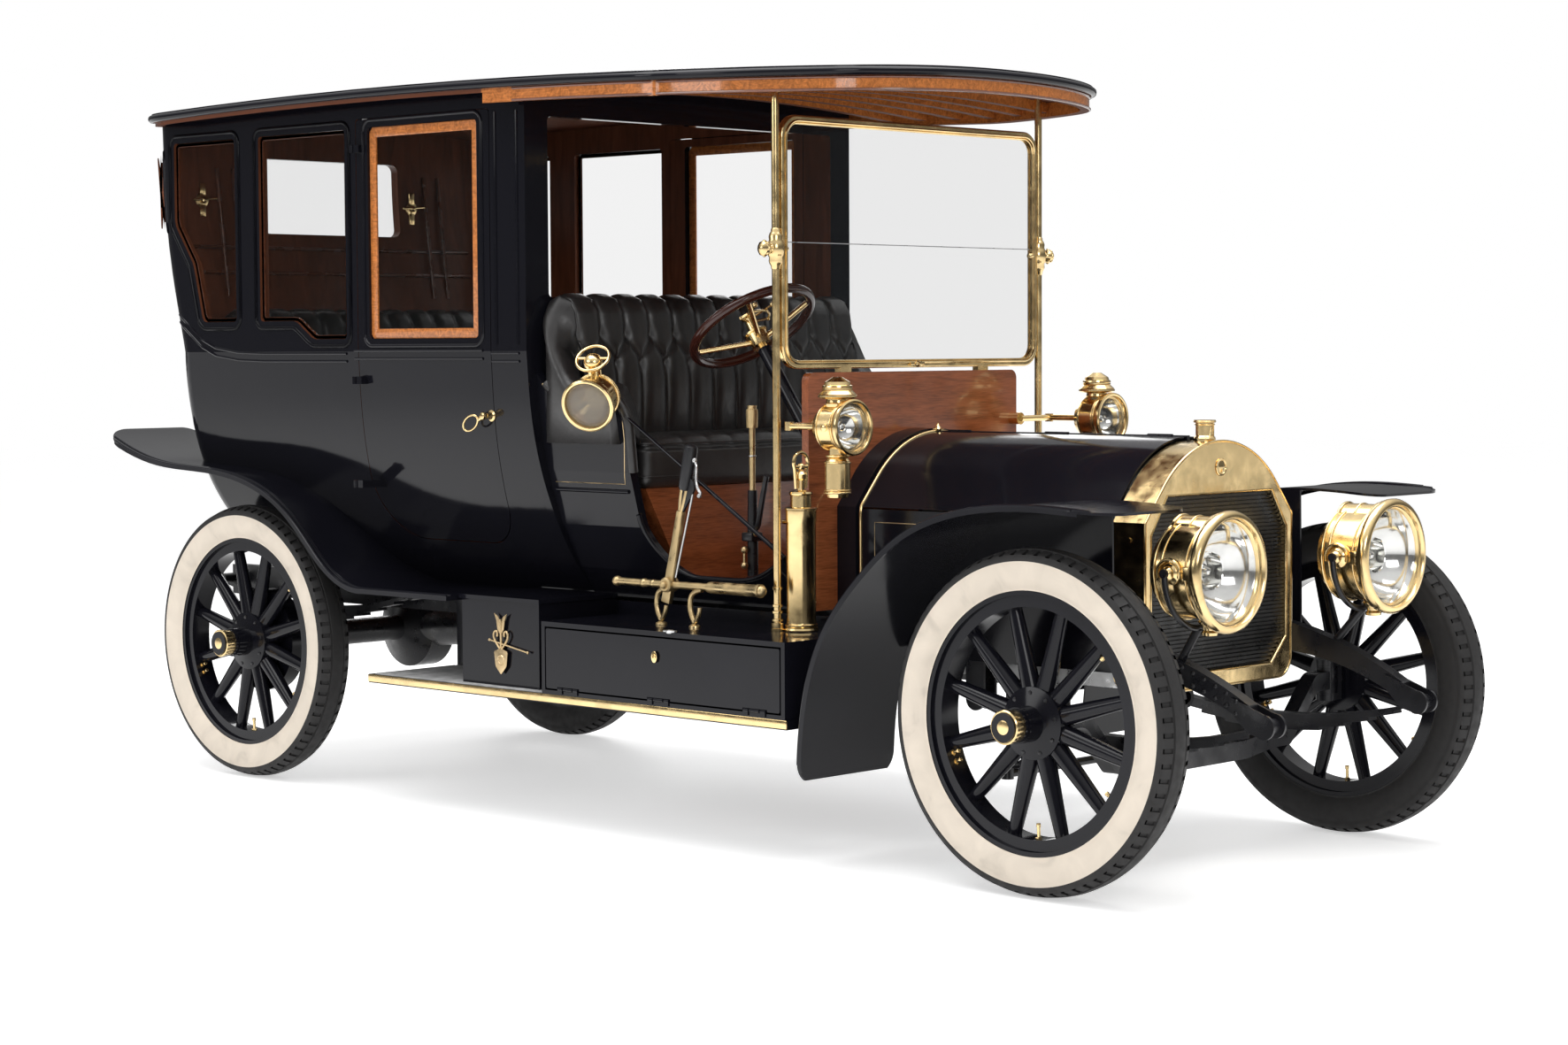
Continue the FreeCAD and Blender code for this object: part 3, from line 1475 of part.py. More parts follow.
def tub_section(inset, y_sign, x):
    """The tub's side in section as (y, z) points, tulip shaped like the cabin."""
    points = []
    for z_share, width_share in tulip_shares:
        z = sill_z + (belt_z - sill_z) * z_share
        half = sill_half_width + (tub_belt_half_width - sill_half_width) * width_share
        points.append(vector(x, y_sign * (half - inset), z))
    points.append(vector(x, y_sign * (tub_belt_half_width - inset), tub_high_z + overrun))
    return points


def tub_edge():
    """Corners of the tub's upper edge as (ahead of cabin, z, rounding): arm, then entry cut-out."""
    return (
        (0, tub_high_z, 0),
        (tub_step_length, tub_step_z, tub_step_round),
        (tub_arm_length, tub_arm_z, tub_arm_round),
        (tub_arm_length - tub_arm_overhang, tub_entry_z, tub_entry_round),
        (tub_entry_end, tub_entry_z, tub_toe_round))


def driver_tub():
    """The two curved side panels beside the driver, each with its deep entry cut-out."""
    x = cabin_front_x
    outer = Part.makePolygon(tub_section(0, 1, x)).Edges
    inner = Part.makePolygon(tub_section(tub_thickness, 1, x)).Edges
    outer_ends = tub_section(0, 1, x)
    inner_ends = tub_section(tub_thickness, 1, x)
    caps = [Part.makeLine(outer_ends[0], inner_ends[0]),
            Part.makeLine(outer_ends[-1], inner_ends[-1])]
    wire = Part.Wire(Part.__sortEdges__(outer + inner + caps))
    dash_back = dash_x - dash_thickness
    panel = prism(wire, vector(dash_back - cabin_front_x, 0, 0))
    corners = [(cabin_front_x, sill_z, 0), (dash_back, sill_z, 0), (dash_back, tub_front_z, 0)]
    corners += [(cabin_front_x + ahead, z, radius) for ahead, z, radius in reversed(tub_edge())]
    shape = side_plate(corners, 0, tub_belt_half_width + overrun)
    return pair(panel.common(shape))


def floor():
    """The driver's floor boards across the frame, between the tub's sides."""
    inner = sill_half_width - tub_thickness - fit_gap
    boards = box(cabin_front_x, dash_x - dash_thickness, -inner, inner, sill_z,
                 sill_z + floor_board)
    return boards.cut(column_envelope(fit_gap))


def seat_boxes():
    """The wooden boxes under the two seats."""
    low = sill_z + floor_board
    inner = sill_half_width - tub_thickness - overrun / 2

    def flared(x_low, x_high, low_half, high_half, high_z):
        wires = []
        for z, half in ((low, low_half), (high_z, high_half)):
            wires.append(outline(((x_low, -half, 0), (x_high, -half, 0), (x_high, half, 0),
                                  (x_low, half, 0)), in_xy(z)))
        return Part.makeLoft(wires, True)

    front = flared(cabin_front_x, cabin_front_x + seat_box_length, inner, seat_box_half_width,
                   seat_box_high_z)
    rear_from = cabin_rear_x + wall + tail_under
    rear = flared(rear_from, rear_from + rear_seat_box_length, rear_seat_box_half_width - overrun,
                  rear_seat_box_half_width, rear_seat_box_high_z)
    return [front, rear]


def soft(shape, radius):
    return shape.makeFillet(radius, shape.Edges)


def front_seat():
    """A bench cushion and a back whose ends wrap forward as arms."""
    rear_x = cabin_front_x + fit_gap
    back_front = rear_x + seat_back_thickness
    cushion_low = seat_box_high_z + fit_gap
    cushion_high = cushion_low + seat_thickness
    cushion = box(back_front + fit_gap, rear_x + seat_depth, -seat_half_width, seat_half_width,
                  cushion_low, cushion_high)
    half = seat_back_half_width
    arm_inner = half - seat_arm_width
    back = top_plate((
        (rear_x, -half, seat_round), (rear_x + seat_arm_length, -half, seat_round / 2),
        (rear_x + seat_arm_length, -arm_inner, seat_round / 2),
        (back_front, -arm_inner, seat_round / 2), (back_front, arm_inner, seat_round / 2),
        (rear_x + seat_arm_length, arm_inner, seat_round / 2),
        (rear_x + seat_arm_length, half, seat_round / 2), (rear_x, half, seat_round)),
        cushion_high + fit_gap, seat_back_high_z)
    slope = side_plate((
        (back_front, seat_back_high_z + overrun, 0), (back_front, seat_arm_high_z, seat_round * 2),
        (rear_x + seat_depth, seat_arm_high_z, 0),
        (rear_x + seat_depth, seat_back_high_z + overrun, 0)), -half - overrun, half + overrun)
    return [cushion, back.cut(slope)]


def rear_seat():
    rear_x = cabin_rear_x + wall + rear_seat_clearance
    box_high = rear_seat_box_high_z
    cushion_low = box_high + fit_gap
    cushion_high = cushion_low + rear_seat_thickness
    back_front = rear_x + rear_back_thickness
    cushion = box(back_front + fit_gap, back_front + rear_seat_depth, -rear_seat_half_width,
                  rear_seat_half_width, cushion_low, cushion_high)
    back = box(rear_x, back_front, -rear_back_half_width, rear_back_half_width,
               cushion_high + fit_gap, rear_back_high_z)
    return [soft(cushion, seat_round / 2), soft(back, seat_round / 2)]


# Fenders, running boards and boxes

def fender_points(axle_x, shares):
    return [(axle_x + tyre_radius * x, axle_z + tyre_radius * z) for x, z in shares]


def front_fender():
    """A front fender: level nose, sweep behind the wheel, broad flap and an inner apron."""
    points = [(front_axle_x + front_fender_reach, front_fender_tip_z)]
    points += fender_points(front_axle_x, front_fender_shares)
    sheet = prism(ribbon(points, -fender_sheet, in_xz(fender_inner_y)),
                  vector(0, fender_outer_y - fender_inner_y, 0))
    tip_x, tip_z = points[0]
    flap_x, flap_z = points[-1]
    plan = top_plate((
        (flap_x - overrun, fender_inner_y - overrun, 0),
        (flap_x - overrun, fender_outer_y, 0),
        (tip_x, fender_outer_y, fender_corner), (tip_x, fender_inner_y, fender_corner / 2),
        (front_axle_x + wall, fender_inner_y, 0), (front_axle_x + wall, fender_inner_y - overrun, 0)),
        flap_z - overrun, tip_z + overrun * 2)
    sheet = sheet.common(plan)
    face = front_plate((
        (fender_inner_y, flap_z - overrun / 6, flap_corner),
        (fender_outer_y, flap_z - overrun / 6, flap_corner),
        (fender_outer_y, tip_z + overrun * 2, 0), (fender_inner_y, tip_z + overrun * 2, 0)),
        flap_x - overrun, tip_x + overrun)
    sheet = sheet.common(face)
    bead = ribbon(points, -fender_sheet - fender_bead_radius,
                  in_xz(fender_outer_y - fender_bead_radius))
    rim = prism(bead, vector(0, fender_bead_radius, 0)).common(plan).common(face)
    rail_y = rail_centre_y + rail_width / 2
    apron_front = front_axle_x
    apron_points = [point for point in points if point[0] <= apron_front + tyre_radius / 5]
    top = [(x, z, 0) for x, z in apron_points[:-1]]
    low_corner = (top[-1][0], sill_z - rail_depth, 0)
    front_corner = (apron_front + tyre_radius / 12, sill_z - rail_depth, 0)
    apron = side_plate([front_corner] + top[:5] + [(top[4][0], sill_z - rail_depth, 0)],
                       fender_inner_y, fender_inner_y + fender_sheet)
    sill = box(top[4][0], apron_front, rail_y, fender_inner_y + fender_sheet,
               sill_z - rail_depth, sill_z - rail_depth + fender_sheet)
    return fused([sheet, rim, apron, sill])


def rear_fender(cabin_outer):
    """A rear fender: upswept tail, arch over the wheel, ramp down to the step plate."""
    points = [(rear_axle_x - rear_overhang, rear_fender_tail_z)]
    points += fender_points(rear_axle_x, rear_fender_shares)
    plate_z = sill_z
    ramp_x = points[-1][0] + rail_depth
    points.append((ramp_x, plate_z + fender_sheet / 2))
    depth = fender_outer_y - fender_inner_y
    sheet = prism(ribbon(points, fender_sheet, in_xz(fender_inner_y)), vector(0, depth, 0))
    bead = prism(ribbon(points, fender_sheet + fender_bead_radius,
                        in_xz(fender_outer_y - fender_bead_radius)),
                 vector(0, fender_bead_radius, 0))
    plate_end = cabin_front_x - step_plate_end_behind_cabin_front
    plate = box(ramp_x - fender_sheet, plate_end, fender_inner_y, fender_outer_y,
                plate_z - step_plate_thickness, plate_z + fender_sheet / 2)
    tail_x = points[0][0]
    plan = top_plate((
        (tail_x, fender_inner_y, fender_corner / 2), (tail_x, fender_outer_y, fender_corner),
        (plate_end, fender_outer_y, 0), (plate_end, fender_inner_y, 0)),
        plate_z - overrun * 2, rear_fender_tail_z + overrun)
    fender = fused([sheet, bead, plate]).common(plan)
    return fender.cut(cabin_outer)


def board_rear_x():
    return board_front_x - board_length


def running_board():
    """A running board on two brackets, with the apron that closes it off to the frame."""
    rail_y = rail_centre_y + rail_width / 2
    rear = board_rear_x()
    board = box(rear, board_front_x, board_inner_y, fender_outer_y,
                board_z - board_thickness, board_z)
    apron_high = sill_z - step_plate_thickness
    apron = box(rear, board_front_x, board_inner_y, board_inner_y + apron_thickness,
                board_z, apron_high)
    pieces = [board, apron]
    for share in (0.12, 0.5, 0.88):
        x = rear + board_length * share
        pieces.append(box(x, x + bracket_width, rail_y, board_inner_y + overrun,
                          board_z - board_thickness - bracket_depth,
                          board_z - board_thickness))
        pieces.append(box(x, x + bracket_width, rail_y, rail_y + apron_thickness,
                          board_z - board_thickness - bracket_depth, sill_z - rail_web))
    return fused(pieces)


def tool_box_front_x():
    return board_front_x - tool_box_front_setback


def tool_box():
    """A long closed box on the board whose outer side is open for its drop flap."""
    front = tool_box_front_x()
    rear = front - tool_box_length
    inner_y = board_inner_y + apron_thickness
    outer_y = fender_outer_y
    shell = box(rear, front, inner_y, outer_y, board_z, tool_box_high_z)
    hollow = box(rear + box_wall, front - box_wall, inner_y + box_wall, outer_y - box_wall,
                 board_z + box_wall, tool_box_high_z - box_wall)
    mouth = box(rear + flap_margin, front - flap_margin, outer_y - box_wall - overrun,
                outer_y + overrun, board_z + flap_margin, tool_box_high_z - flap_margin)
    pieces = [shell.cut(hollow).cut(mouth)]
    y, z = outer_y, flap_bounds()[2]
    half = flap_hinge_length / 2
    for x in flap_hinge_x():
        for start in (x - half - panel_gap - half, x + half + panel_gap):
            pieces.append(rod(vector(start, y, z), vector(start + half, y, z), flap_hinge_radius))
            pieces.append(box(start, start + half, y, y + flap_hinge_radius * 0.8,
                              z - flap_hinge_radius * 3, z - flap_hinge_radius / 2))
        pieces.append(rod(vector(x - flap_hinge_length, y, z), vector(x + flap_hinge_length, y, z),
                          flap_pin_radius))
    return fused(pieces)


def flap_hinge_x():
    rear, front = flap_bounds()[:2]
    return [rear + (front - rear) * share for share in hinge_place_shares]


def flap_bounds():
    front = tool_box_front_x() - flap_margin - panel_gap
    rear = tool_box_front_x() - tool_box_length + flap_margin + panel_gap
    return rear, front, board_z + flap_margin + panel_gap, tool_box_high_z - flap_margin - panel_gap


def tool_flap(side):
    """The drop flap in the outer side of a tool box, hinged along its lower edge."""
    rear, front, low, high = flap_bounds()
    edges = sorted((side * (fender_outer_y - flap_thickness), side * fender_outer_y))
    plate = side_plate(((rear, low, flap_corner_radius), (front, low, flap_corner_radius),
                        (front, high, flap_corner_radius), (rear, high, flap_corner_radius)),
                       *edges)
    y = side * fender_outer_y
    half = flap_hinge_length / 2
    pieces = []
    for x in flap_hinge_x():
        reach = flap_hinge_length + panel_gap * 2
        plate = plate.cut(rod(vector(x - reach, y, low), vector(x + reach, y, low),
                              flap_hinge_radius + hood_hinge_clearance))
        pieces.append(tube(vector(x - half, y, low), vector(x + half, y, low), flap_hinge_radius,
                           flap_pin_radius + hinge_bore_clearance))
        leaf_y = sorted((y - side * (flap_hinge_radius + flap_pin_radius) / 2,
                         y - side * flap_thickness))
        pieces.append(box(x - half, x + half, *leaf_y, low, low + flap_hinge_radius * 2))
    return fused([plate] + pieces)


def small_box():
    """The smaller locker behind the tool box, closed by a plain top."""
    rear_limit = tool_box_front_x() - tool_box_length - small_box_gap
    inner_y = board_inner_y + apron_thickness
    outer_y = fender_outer_y - small_box_inset
    locker = box(rear_limit - small_box_length, rear_limit, inner_y, outer_y, board_z,
                 small_box_high_z)
    lip = box(rear_limit - small_box_length - fender_sheet, rear_limit + fender_sheet,
              inner_y, outer_y + fender_sheet, small_box_high_z - lid_thickness, small_box_high_z)
    return fused([locker, lip])


# Lamps

def lamp_bowl(centre, axis, across, radius, drum_radius, length, bezel):
    """A spun lamp body with a rolled bezel and a deep bowl behind its lens."""
    mouth = radius - bezel / 2
    return revolved((
        (0, mouth), (0, radius - bezel / 4), (-bezel / 4, radius), (-bezel, radius),
        (-bezel * 1.3, drum_radius), (-length * 0.72, drum_radius),
        (-length * 0.9, drum_radius * 0.8), (-length, drum_radius * 0.4), (-length, 0),
        (-length * 0.66, 0), (-length * 0.62, drum_radius * 0.5),
        (-length * 0.4, drum_radius - lamp_wall), (-bezel, drum_radius - lamp_wall / 2),
        (-bezel, mouth)), centre, axis, across)


def lens(centre, axis, radius, bezel):
    start = centre - axis * (bezel / 2)
    return rod(start, start + axis * lens_thickness, radius - bezel / 2)


def headlamp_centre():
    return vector(radiator_front_x + headlamp_ahead_of_radiator, headlamp_y, headlamp_z)


def headlamp():
    centre = headlamp_centre()
    bowl = lamp_bowl(centre, along_x, along_z, headlamp_radius, headlamp_drum_radius,
                     headlamp_length, headlamp_bezel_width)
    chimney_x = centre.x - headlamp_length * 0.45
    start_z = headlamp_z + headlamp_drum_radius * 0.7
    low = vector(chimney_x - headlamp_chimney_length / 2, headlamp_y, start_z)
    chimney = rod(low, low + along_x * headlamp_chimney_length * 0.8, headlamp_chimney_radius)
    inside = rod(vector(centre.x - headlamp_bezel_width, headlamp_y, headlamp_z),
                 vector(centre.x - headlamp_length * 0.62, headlamp_y, headlamp_z),
                 headlamp_drum_radius - lamp_wall / 2)
    return bowl.fuse(chimney.cut(inside)).removeSplitter()


def lamp_bracket(rail):
    """The iron fork under a headlamp, on a stem that stands on the dumb iron."""
    centre = headlamp_centre()
    pivot_x = centre.x - headlamp_length * 0.5
    ring_radius = headlamp_drum_radius + lamp_fork_clear
    pivot = vector(pivot_x, headlamp_y, headlamp_z)
    ring = Part.makeTorus(ring_radius, lamp_fork_radius, pivot, along_x)
    upper = box(pivot_x - overrun, pivot_x + overrun, headlamp_y - ring_radius - overrun,
                headlamp_y + ring_radius + overrun, headlamp_z, headlamp_z + ring_radius + overrun)
    pieces = [ring.cut(upper)]
    for side in (-1, 1):
        outer = pivot + along_y * side * (ring_radius + lamp_fork_radius)
        inner = pivot + along_y * side * headlamp_drum_radius
        pieces.append(rod(inner, outer, lamp_fork_radius * 1.4))
    top = vector(pivot_x, headlamp_y, headlamp_z - ring_radius)
    low = vector(pivot_x - ring_radius / 2, rail_centre_y, sill_z - dumb_iron_tip_depth * 2)
    pieces.append(rod(low, top, lamp_stem_radius))
    return fused(pieces).cut(rail)


def side_lamp_centre():
    return vector(dash_x + side_lamp_ahead_of_dash, side_lamp_y, side_lamp_z)


def side_lamp():
    """An oil side lamp: drum and bezel, tiered chimney above, fount below, bracket to the dash."""
    centre = side_lamp_centre()
    bowl = lamp_bowl(centre, along_x, along_z, side_lamp_radius, side_lamp_drum_radius,
                     side_lamp_length, headlamp_bezel_width / 2)
    drum_x = centre.x - side_lamp_length / 2
    base = vector(drum_x, side_lamp_y, side_lamp_z + side_lamp_drum_radius * 0.8)
    rise = side_lamp_top_z - base.z
    chimney = revolved((
        (0, 0), (0, side_lamp_chimney_radius), (rise * 0.45, side_lamp_chimney_radius),
        (rise * 0.45, side_lamp_cap_radius), (rise * 0.6, side_lamp_cap_radius * 0.75),
        (rise * 0.6, side_lamp_cap_radius * 0.8), (rise * 0.85, side_lamp_cap_radius * 0.65),
        (rise, side_lamp_cap_radius * 0.25), (rise, 0)), base, along_z, along_x)
    fount_top = side_lamp_z - side_lamp_drum_radius * 0.8
    drop = fount_top - side_lamp_low_z
    fount = revolved((
        (0, 0), (0, side_lamp_fount_radius * 0.8), (drop * 0.15, side_lamp_fount_radius),
        (drop * 0.7, side_lamp_fount_radius), (drop * 0.8, side_lamp_fount_radius * 0.7),
        (drop, side_lamp_fount_radius * 0.7), (drop, 0)),
        vector(drum_x, side_lamp_y, side_lamp_low_z), along_z, along_x)
    arm_z = side_lamp_z
    elbow = vector(dash_x + side_lamp_fount_radius, side_lamp_y, arm_z)
    back_x = centre.x - side_lamp_length * 0.84
    arm = rod(vector(back_x, side_lamp_y, arm_z), elbow, side_lamp_bracket_radius)
    root = vector(elbow.x, dash_half_width - screen_bar, arm_z)
    across = rod(elbow, root, side_lamp_bracket_radius)
    pad = rod(vector(dash_x, root.y, arm_z), vector(elbow.x, root.y, arm_z),
              side_lamp_bracket_radius * 2)
    inside = rod(centre - along_x * side_lamp_length * 0.62, centre,
                 side_lamp_drum_radius - lamp_wall / 2)
    knee = rod(elbow - along_z * side_lamp_knee_radius, elbow + along_z * side_lamp_knee_radius,
               side_lamp_knee_radius)
    return fused([bowl, chimney.cut(inside), fount.cut(inside), arm, across, pad, knee])


def spot_lamp_axis():
    turn = math.radians(spot_lamp_turn)
    tip = math.radians(spot_lamp_tip_down)
    return vector(math.cos(turn) * math.cos(tip), -math.sin(turn) * math.cos(tip), -math.sin(tip))


def spot_lamp_centre():
    return vector(cabin_front_x + spot_lamp_ahead_of_cabin, -(tub_belt_half_width + spot_lamp_out),
                  spot_lamp_z)


def spot_lamp():
    """The hand lamp hung on the tub's right side, with a carrying ring on top."""
    axis = spot_lamp_axis()
    centre = spot_lamp_centre()
    across = axis.cross(along_z)
    across.normalize()
    up = across.cross(axis)
    bowl = lamp_bowl(centre, axis, across, spot_lamp_radius, spot_lamp_radius * 0.82,
                     spot_lamp_length, headlamp_bezel_width / 2)
    middle = centre - axis * spot_lamp_length / 2
    chimney_foot = middle - axis * spot_chimney_behind_middle
    dome = chimney_foot + up * spot_chimney_height
    neck = rod(chimney_foot, dome, spot_chimney_radius)
    tilt = math.radians(spot_ring_tilt)
    ring_centre = dome + up * spot_ring_rise
    ring = Part.makeTorus(spot_ring_radius, spot_ring_bar, ring_centre,
                          up * math.cos(tilt) + axis * math.sin(tilt))
    pivots = rod(ring_centre - across * spot_ring_radius, ring_centre + across * spot_ring_radius,
                 spot_ring_bar * pivot_share)
    back = centre - axis * spot_lamp_length * spot_hook_share
    corner = vector(back.x, -(tub_belt_half_width - tub_thickness / 2), back.z)
    hook = rod(back, corner, lamp_stem_radius)
    post = rod(vector(corner.x, corner.y, tub_arm_z - spot_post_depth),
               corner + along_z * lamp_stem_radius, lamp_stem_radius)
    return fused([bowl, neck, ball(dome, spot_dome_radius), ring, pivots, hook, post])


def lamp_lenses():
    lenses = pair(lens(headlamp_centre(), along_x, headlamp_radius, headlamp_bezel_width))
    lenses += pair(lens(side_lamp_centre(), along_x, side_lamp_radius, headlamp_bezel_width / 2))
    lenses.append(lens(spot_lamp_centre(), spot_lamp_axis(), spot_lamp_radius,
                       headlamp_bezel_width / 2))
    return lenses


# Hand pump, levers and steering

def pump():
    base = vector(dash_x + pump_ahead_of_dash, -pump_y, tool_box_high_z)
    height = pump_high_z - tool_box_high_z
    barrel = revolved((
        (0, 0), (0, pump_radius * 1.1), (pump_radius / 3, pump_radius * 1.1),
        (pump_radius / 3, pump_radius), (height * 0.85, pump_radius),
        (height * 0.88, pump_radius * 1.06), (height * 0.92, pump_radius * 0.7),
        (height, pump_radius * 0.45), (height, 0)), base, along_z, along_x)
    rod_top = vector(base.x, base.y, pump_handle_z)
    stem = rod(base + along_z * height, rod_top, pump_rod_radius)
    half = along_x * pump_radius * 0.8
    handle = rod(rod_top - half, rod_top + half, pump_rod_radius * 1.5)
    return fused([barrel, stem, handle])


def outer_levers():
    """The brake lever outside the driver's right side, on its cross shaft and feet."""
    front_x = dash_x - lever_bar_front_setback
    rear_x = front_x - lever_bar_length
    y = -lever_y
    pieces = [rod(vector(rear_x, y, lever_bar_z), vector(front_x, y, lever_bar_z),
                  lever_bar_radius)]
    for share in lever_foot_shares:
        x = rear_x + lever_bar_length * share
        pieces.append(rod(vector(x, y, tool_box_high_z), vector(x, y, lever_bar_z),
                          lever_foot_radius))
        pieces.append(rod(vector(x, y, tool_box_high_z),
                          vector(x, y, tool_box_high_z + lever_foot_radius), lever_foot_radius * 2))
    for x in (rear_x, front_x):
        pieces.append(ball(vector(x, y, lever_bar_z), lever_bar_radius * 1.5))
    low = vector(dash_x - lever_pivot_behind_dash, y, lever_bar_z)
    high = vector(low.x + lever_lean, y, lever_high_z)
    direction = high - low
    direction.normalize()
    grip_start = high - direction * lever_grip_length
    pieces.append(cone(low, grip_start, lever_bar_radius * 1.6, lever_bar_radius))
    pieces.append(cone(grip_start, high, lever_bar_radius, lever_grip_radius))
    return fused(pieces)


def inner_lever():
    x = dash_x - inner_lever_behind_dash
    low = vector(x, -inner_lever_y, sill_z + floor_board)
    high = vector(x, -inner_lever_y, inner_lever_high_z)
    knob = inner_knob_radius
    return fused([rod(low, low + along_z * knob, knob * 2), rod(low, high, inner_lever_radius),
                  cone(high - along_z * knob * 3, high, inner_lever_radius, knob)])


def steering_column():
    """The fixed column with the steering box at its foot, bolted to the right rail."""
    direction = column_direction()
    tube = column_envelope(0)
    foot = steering_hub() + direction * (column_gap_to_hub + column_length)
    half = steering_box_size / 2
    web_y = -(rail_centre_y + rail_width / 2 - rail_web)
    case = box(foot.x - half, foot.x + half, web_y, web_y + steering_box_size,
               foot.z - half, foot.z + half)
    socket_start = steering_hub() + direction * (column_gap_to_hub - overrun)
    socket = rod(socket_start, socket_start + direction * (column_socket + overrun + panel_gap),
                 column_shaft_radius + running_clearance)
    return fused([tube, case]).cut(socket)


def steering_wheel():
    """Rim, spokes, hub and the shaft that turns in the column."""
    direction = column_direction()
    hub = steering_hub()
    up = direction * -1
    rim_centre = hub + up * steering_rim_rise
    pieces = [Part.makeTorus(steering_wheel_radius, steering_rim_radius, rim_centre, up)]
    hub_low = hub + direction * steering_hub_height
    pieces.append(rod(hub_low, hub_low + up * steering_hub_height * 1.3, steering_hub_radius))
    pieces.append(rod(hub_low, hub + direction * (column_gap_to_hub + column_socket),
                      column_shaft_radius))
    side = along_y
    ahead = side.cross(up)
    for index in range(steering_spoke_count):
        angle = math.radians(360 * (index + 0.5) / steering_spoke_count)
        away = side * math.cos(angle) + ahead * math.sin(angle)
        pieces.append(rod(hub_low + up * steering_spoke_radius * 2,
                          rim_centre + away * steering_wheel_radius, steering_spoke_radius))
    return fused(pieces)


def build():
    nodes = {}
    rail = frame_rail()
    nodes["frame_rails"] = pair(rail)
    nodes["cross_members"] = cross_members()
    nodes["springs"] = springs()
    nodes["front_axle"] = [front_axle()]
    nodes["rear_axle"] = [rear_axle()]
    nodes["engine"] = [engine()]
    for place, axle_x, has_drum in (("front", front_axle_x, False), ("rear", rear_axle_x, True)):
        left_wheel = wheel(axle_x, 1, has_drum)
        nodes["wheel_" + place + "_left"] = [left_wheel]
        nodes["wheel_" + place + "_right"] = [mirrored(left_wheel)]
        nodes["tyre_" + place + "_left"] = [tyre(axle_x, 1)]
        nodes["tyre_" + place + "_right"] = [tyre(axle_x, -1)]
    for name, side in (("right", -1), ("left", 1)):
        nodes["hood_" + name] = hood_half(side)
        nodes["tool_flap_" + name] = [tool_flap(side)]
        nodes["door_glass_" + name] = [door_glass(side)]
    left_knuckle = knuckle()
    nodes["knuckle_left"] = [left_knuckle]
    nodes["knuckle_right"] = [mirrored(left_knuckle)]
    nodes["tie_rod"] = [tie_rod()]
    nodes["radiator_shell"] = [radiator_shell()]
    nodes["radiator_core"] = [radiator_core()]
    nodes["hood_sides"] = hood_sides()
    nodes["cowl"] = [cowl()]
    nodes["dash"] = [dash()]
    nodes["roof"] = [roof()]
    wood = roof_wood()
    nodes["roof_wood"] = [wood]
    nodes["windscreen_frame"] = [windscreen_frame(wood)]
    nodes["windscreen_glass"] = windscreen_glass()
    shell = cabin_shell()
    nodes["cabin"] = cabin_body(shell)
    for name, side in (("right", -1), ("left", 1)):
        nodes["door_" + name] = [door(shell, side)]
    nodes["cabin_glass"] = cabin_glass()
    nodes["driver_tub"] = driver_tub()
    nodes["floor"] = [floor()]
    nodes["seat_boxes"] = seat_boxes()
    nodes["front_seat"] = front_seat()
    nodes["rear_seat"] = rear_seat()
    nodes["front_fenders"] = pair(front_fender())
    nodes["rear_fenders"] = pair(rear_fender(cabin_solid(0, sill_z)))
    nodes["running_boards"] = pair(running_board())
    nodes["tool_boxes"] = pair(tool_box())
    nodes["small_boxes"] = pair(small_box())
    nodes["headlamps"] = pair(headlamp())
    nodes["lamp_brackets"] = pair(lamp_bracket(rail))
    nodes["side_lamps"] = pair(side_lamp())
    nodes["spot_lamp"] = [spot_lamp().cut(Part.makeCompound(nodes["driver_tub"]))]
    nodes["lamp_lenses"] = lamp_lenses()
    nodes["pump"] = [pump()]
    nodes["brake_lever"] = [outer_levers()]
    nodes["inner_lever"] = [inner_lever()]
    nodes["steering_column"] = [steering_column()]
    nodes["steering_wheel"] = [steering_wheel()]
    return nodes


def write(nodes):
    os.makedirs("parts", exist_ok=True)
    for name, shapes in nodes.items():
        solids = []
        for shape in shapes:
            solids.extend(shape.Solids)
        whole = solids[0] if len(solids) == 1 else Part.makeCompound(solids)
        whole.exportStep("parts/" + name + ".step")
        size = whole.BoundBox
        print(name, len(solids), whole.isValid(), round(size.XMin), round(size.XMax),
              round(size.YMin), round(size.YMax), round(size.ZMin), round(size.ZMax))


write(build())
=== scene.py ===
"""The finish, upholstery and small fittings of a brass era limousine, laid over its solids."""
import math

import bmesh
import bpy
from bpy.props import FloatProperty, FloatVectorProperty, IntProperty, PointerProperty
from mathutils import Matrix, Vector
from mathutils.bvhtree import BVHTree


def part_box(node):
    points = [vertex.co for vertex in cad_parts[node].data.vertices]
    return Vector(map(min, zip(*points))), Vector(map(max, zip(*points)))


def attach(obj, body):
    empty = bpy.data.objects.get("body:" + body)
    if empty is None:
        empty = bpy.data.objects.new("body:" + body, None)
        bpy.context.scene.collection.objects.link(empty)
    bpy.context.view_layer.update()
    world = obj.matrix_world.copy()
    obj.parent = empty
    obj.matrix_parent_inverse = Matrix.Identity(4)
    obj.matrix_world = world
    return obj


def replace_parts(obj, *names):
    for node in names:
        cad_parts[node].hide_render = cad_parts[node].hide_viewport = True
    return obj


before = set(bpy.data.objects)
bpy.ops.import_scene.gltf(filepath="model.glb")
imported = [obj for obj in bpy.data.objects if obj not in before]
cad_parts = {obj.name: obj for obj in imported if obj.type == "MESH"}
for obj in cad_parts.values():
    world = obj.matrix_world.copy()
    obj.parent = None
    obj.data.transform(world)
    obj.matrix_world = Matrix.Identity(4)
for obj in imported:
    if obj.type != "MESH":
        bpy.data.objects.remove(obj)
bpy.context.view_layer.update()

bl_info = {
    "name": "Brass Era Limousine",
    "version": (1, 0, 0),
    "blender": (4, 5, 0),
    "location": "3D View > Sidebar > Limousine",
    "description": "Paint, brass, leather, wood and fittings for an open-fronted limousine",
    "category": "Object",
}

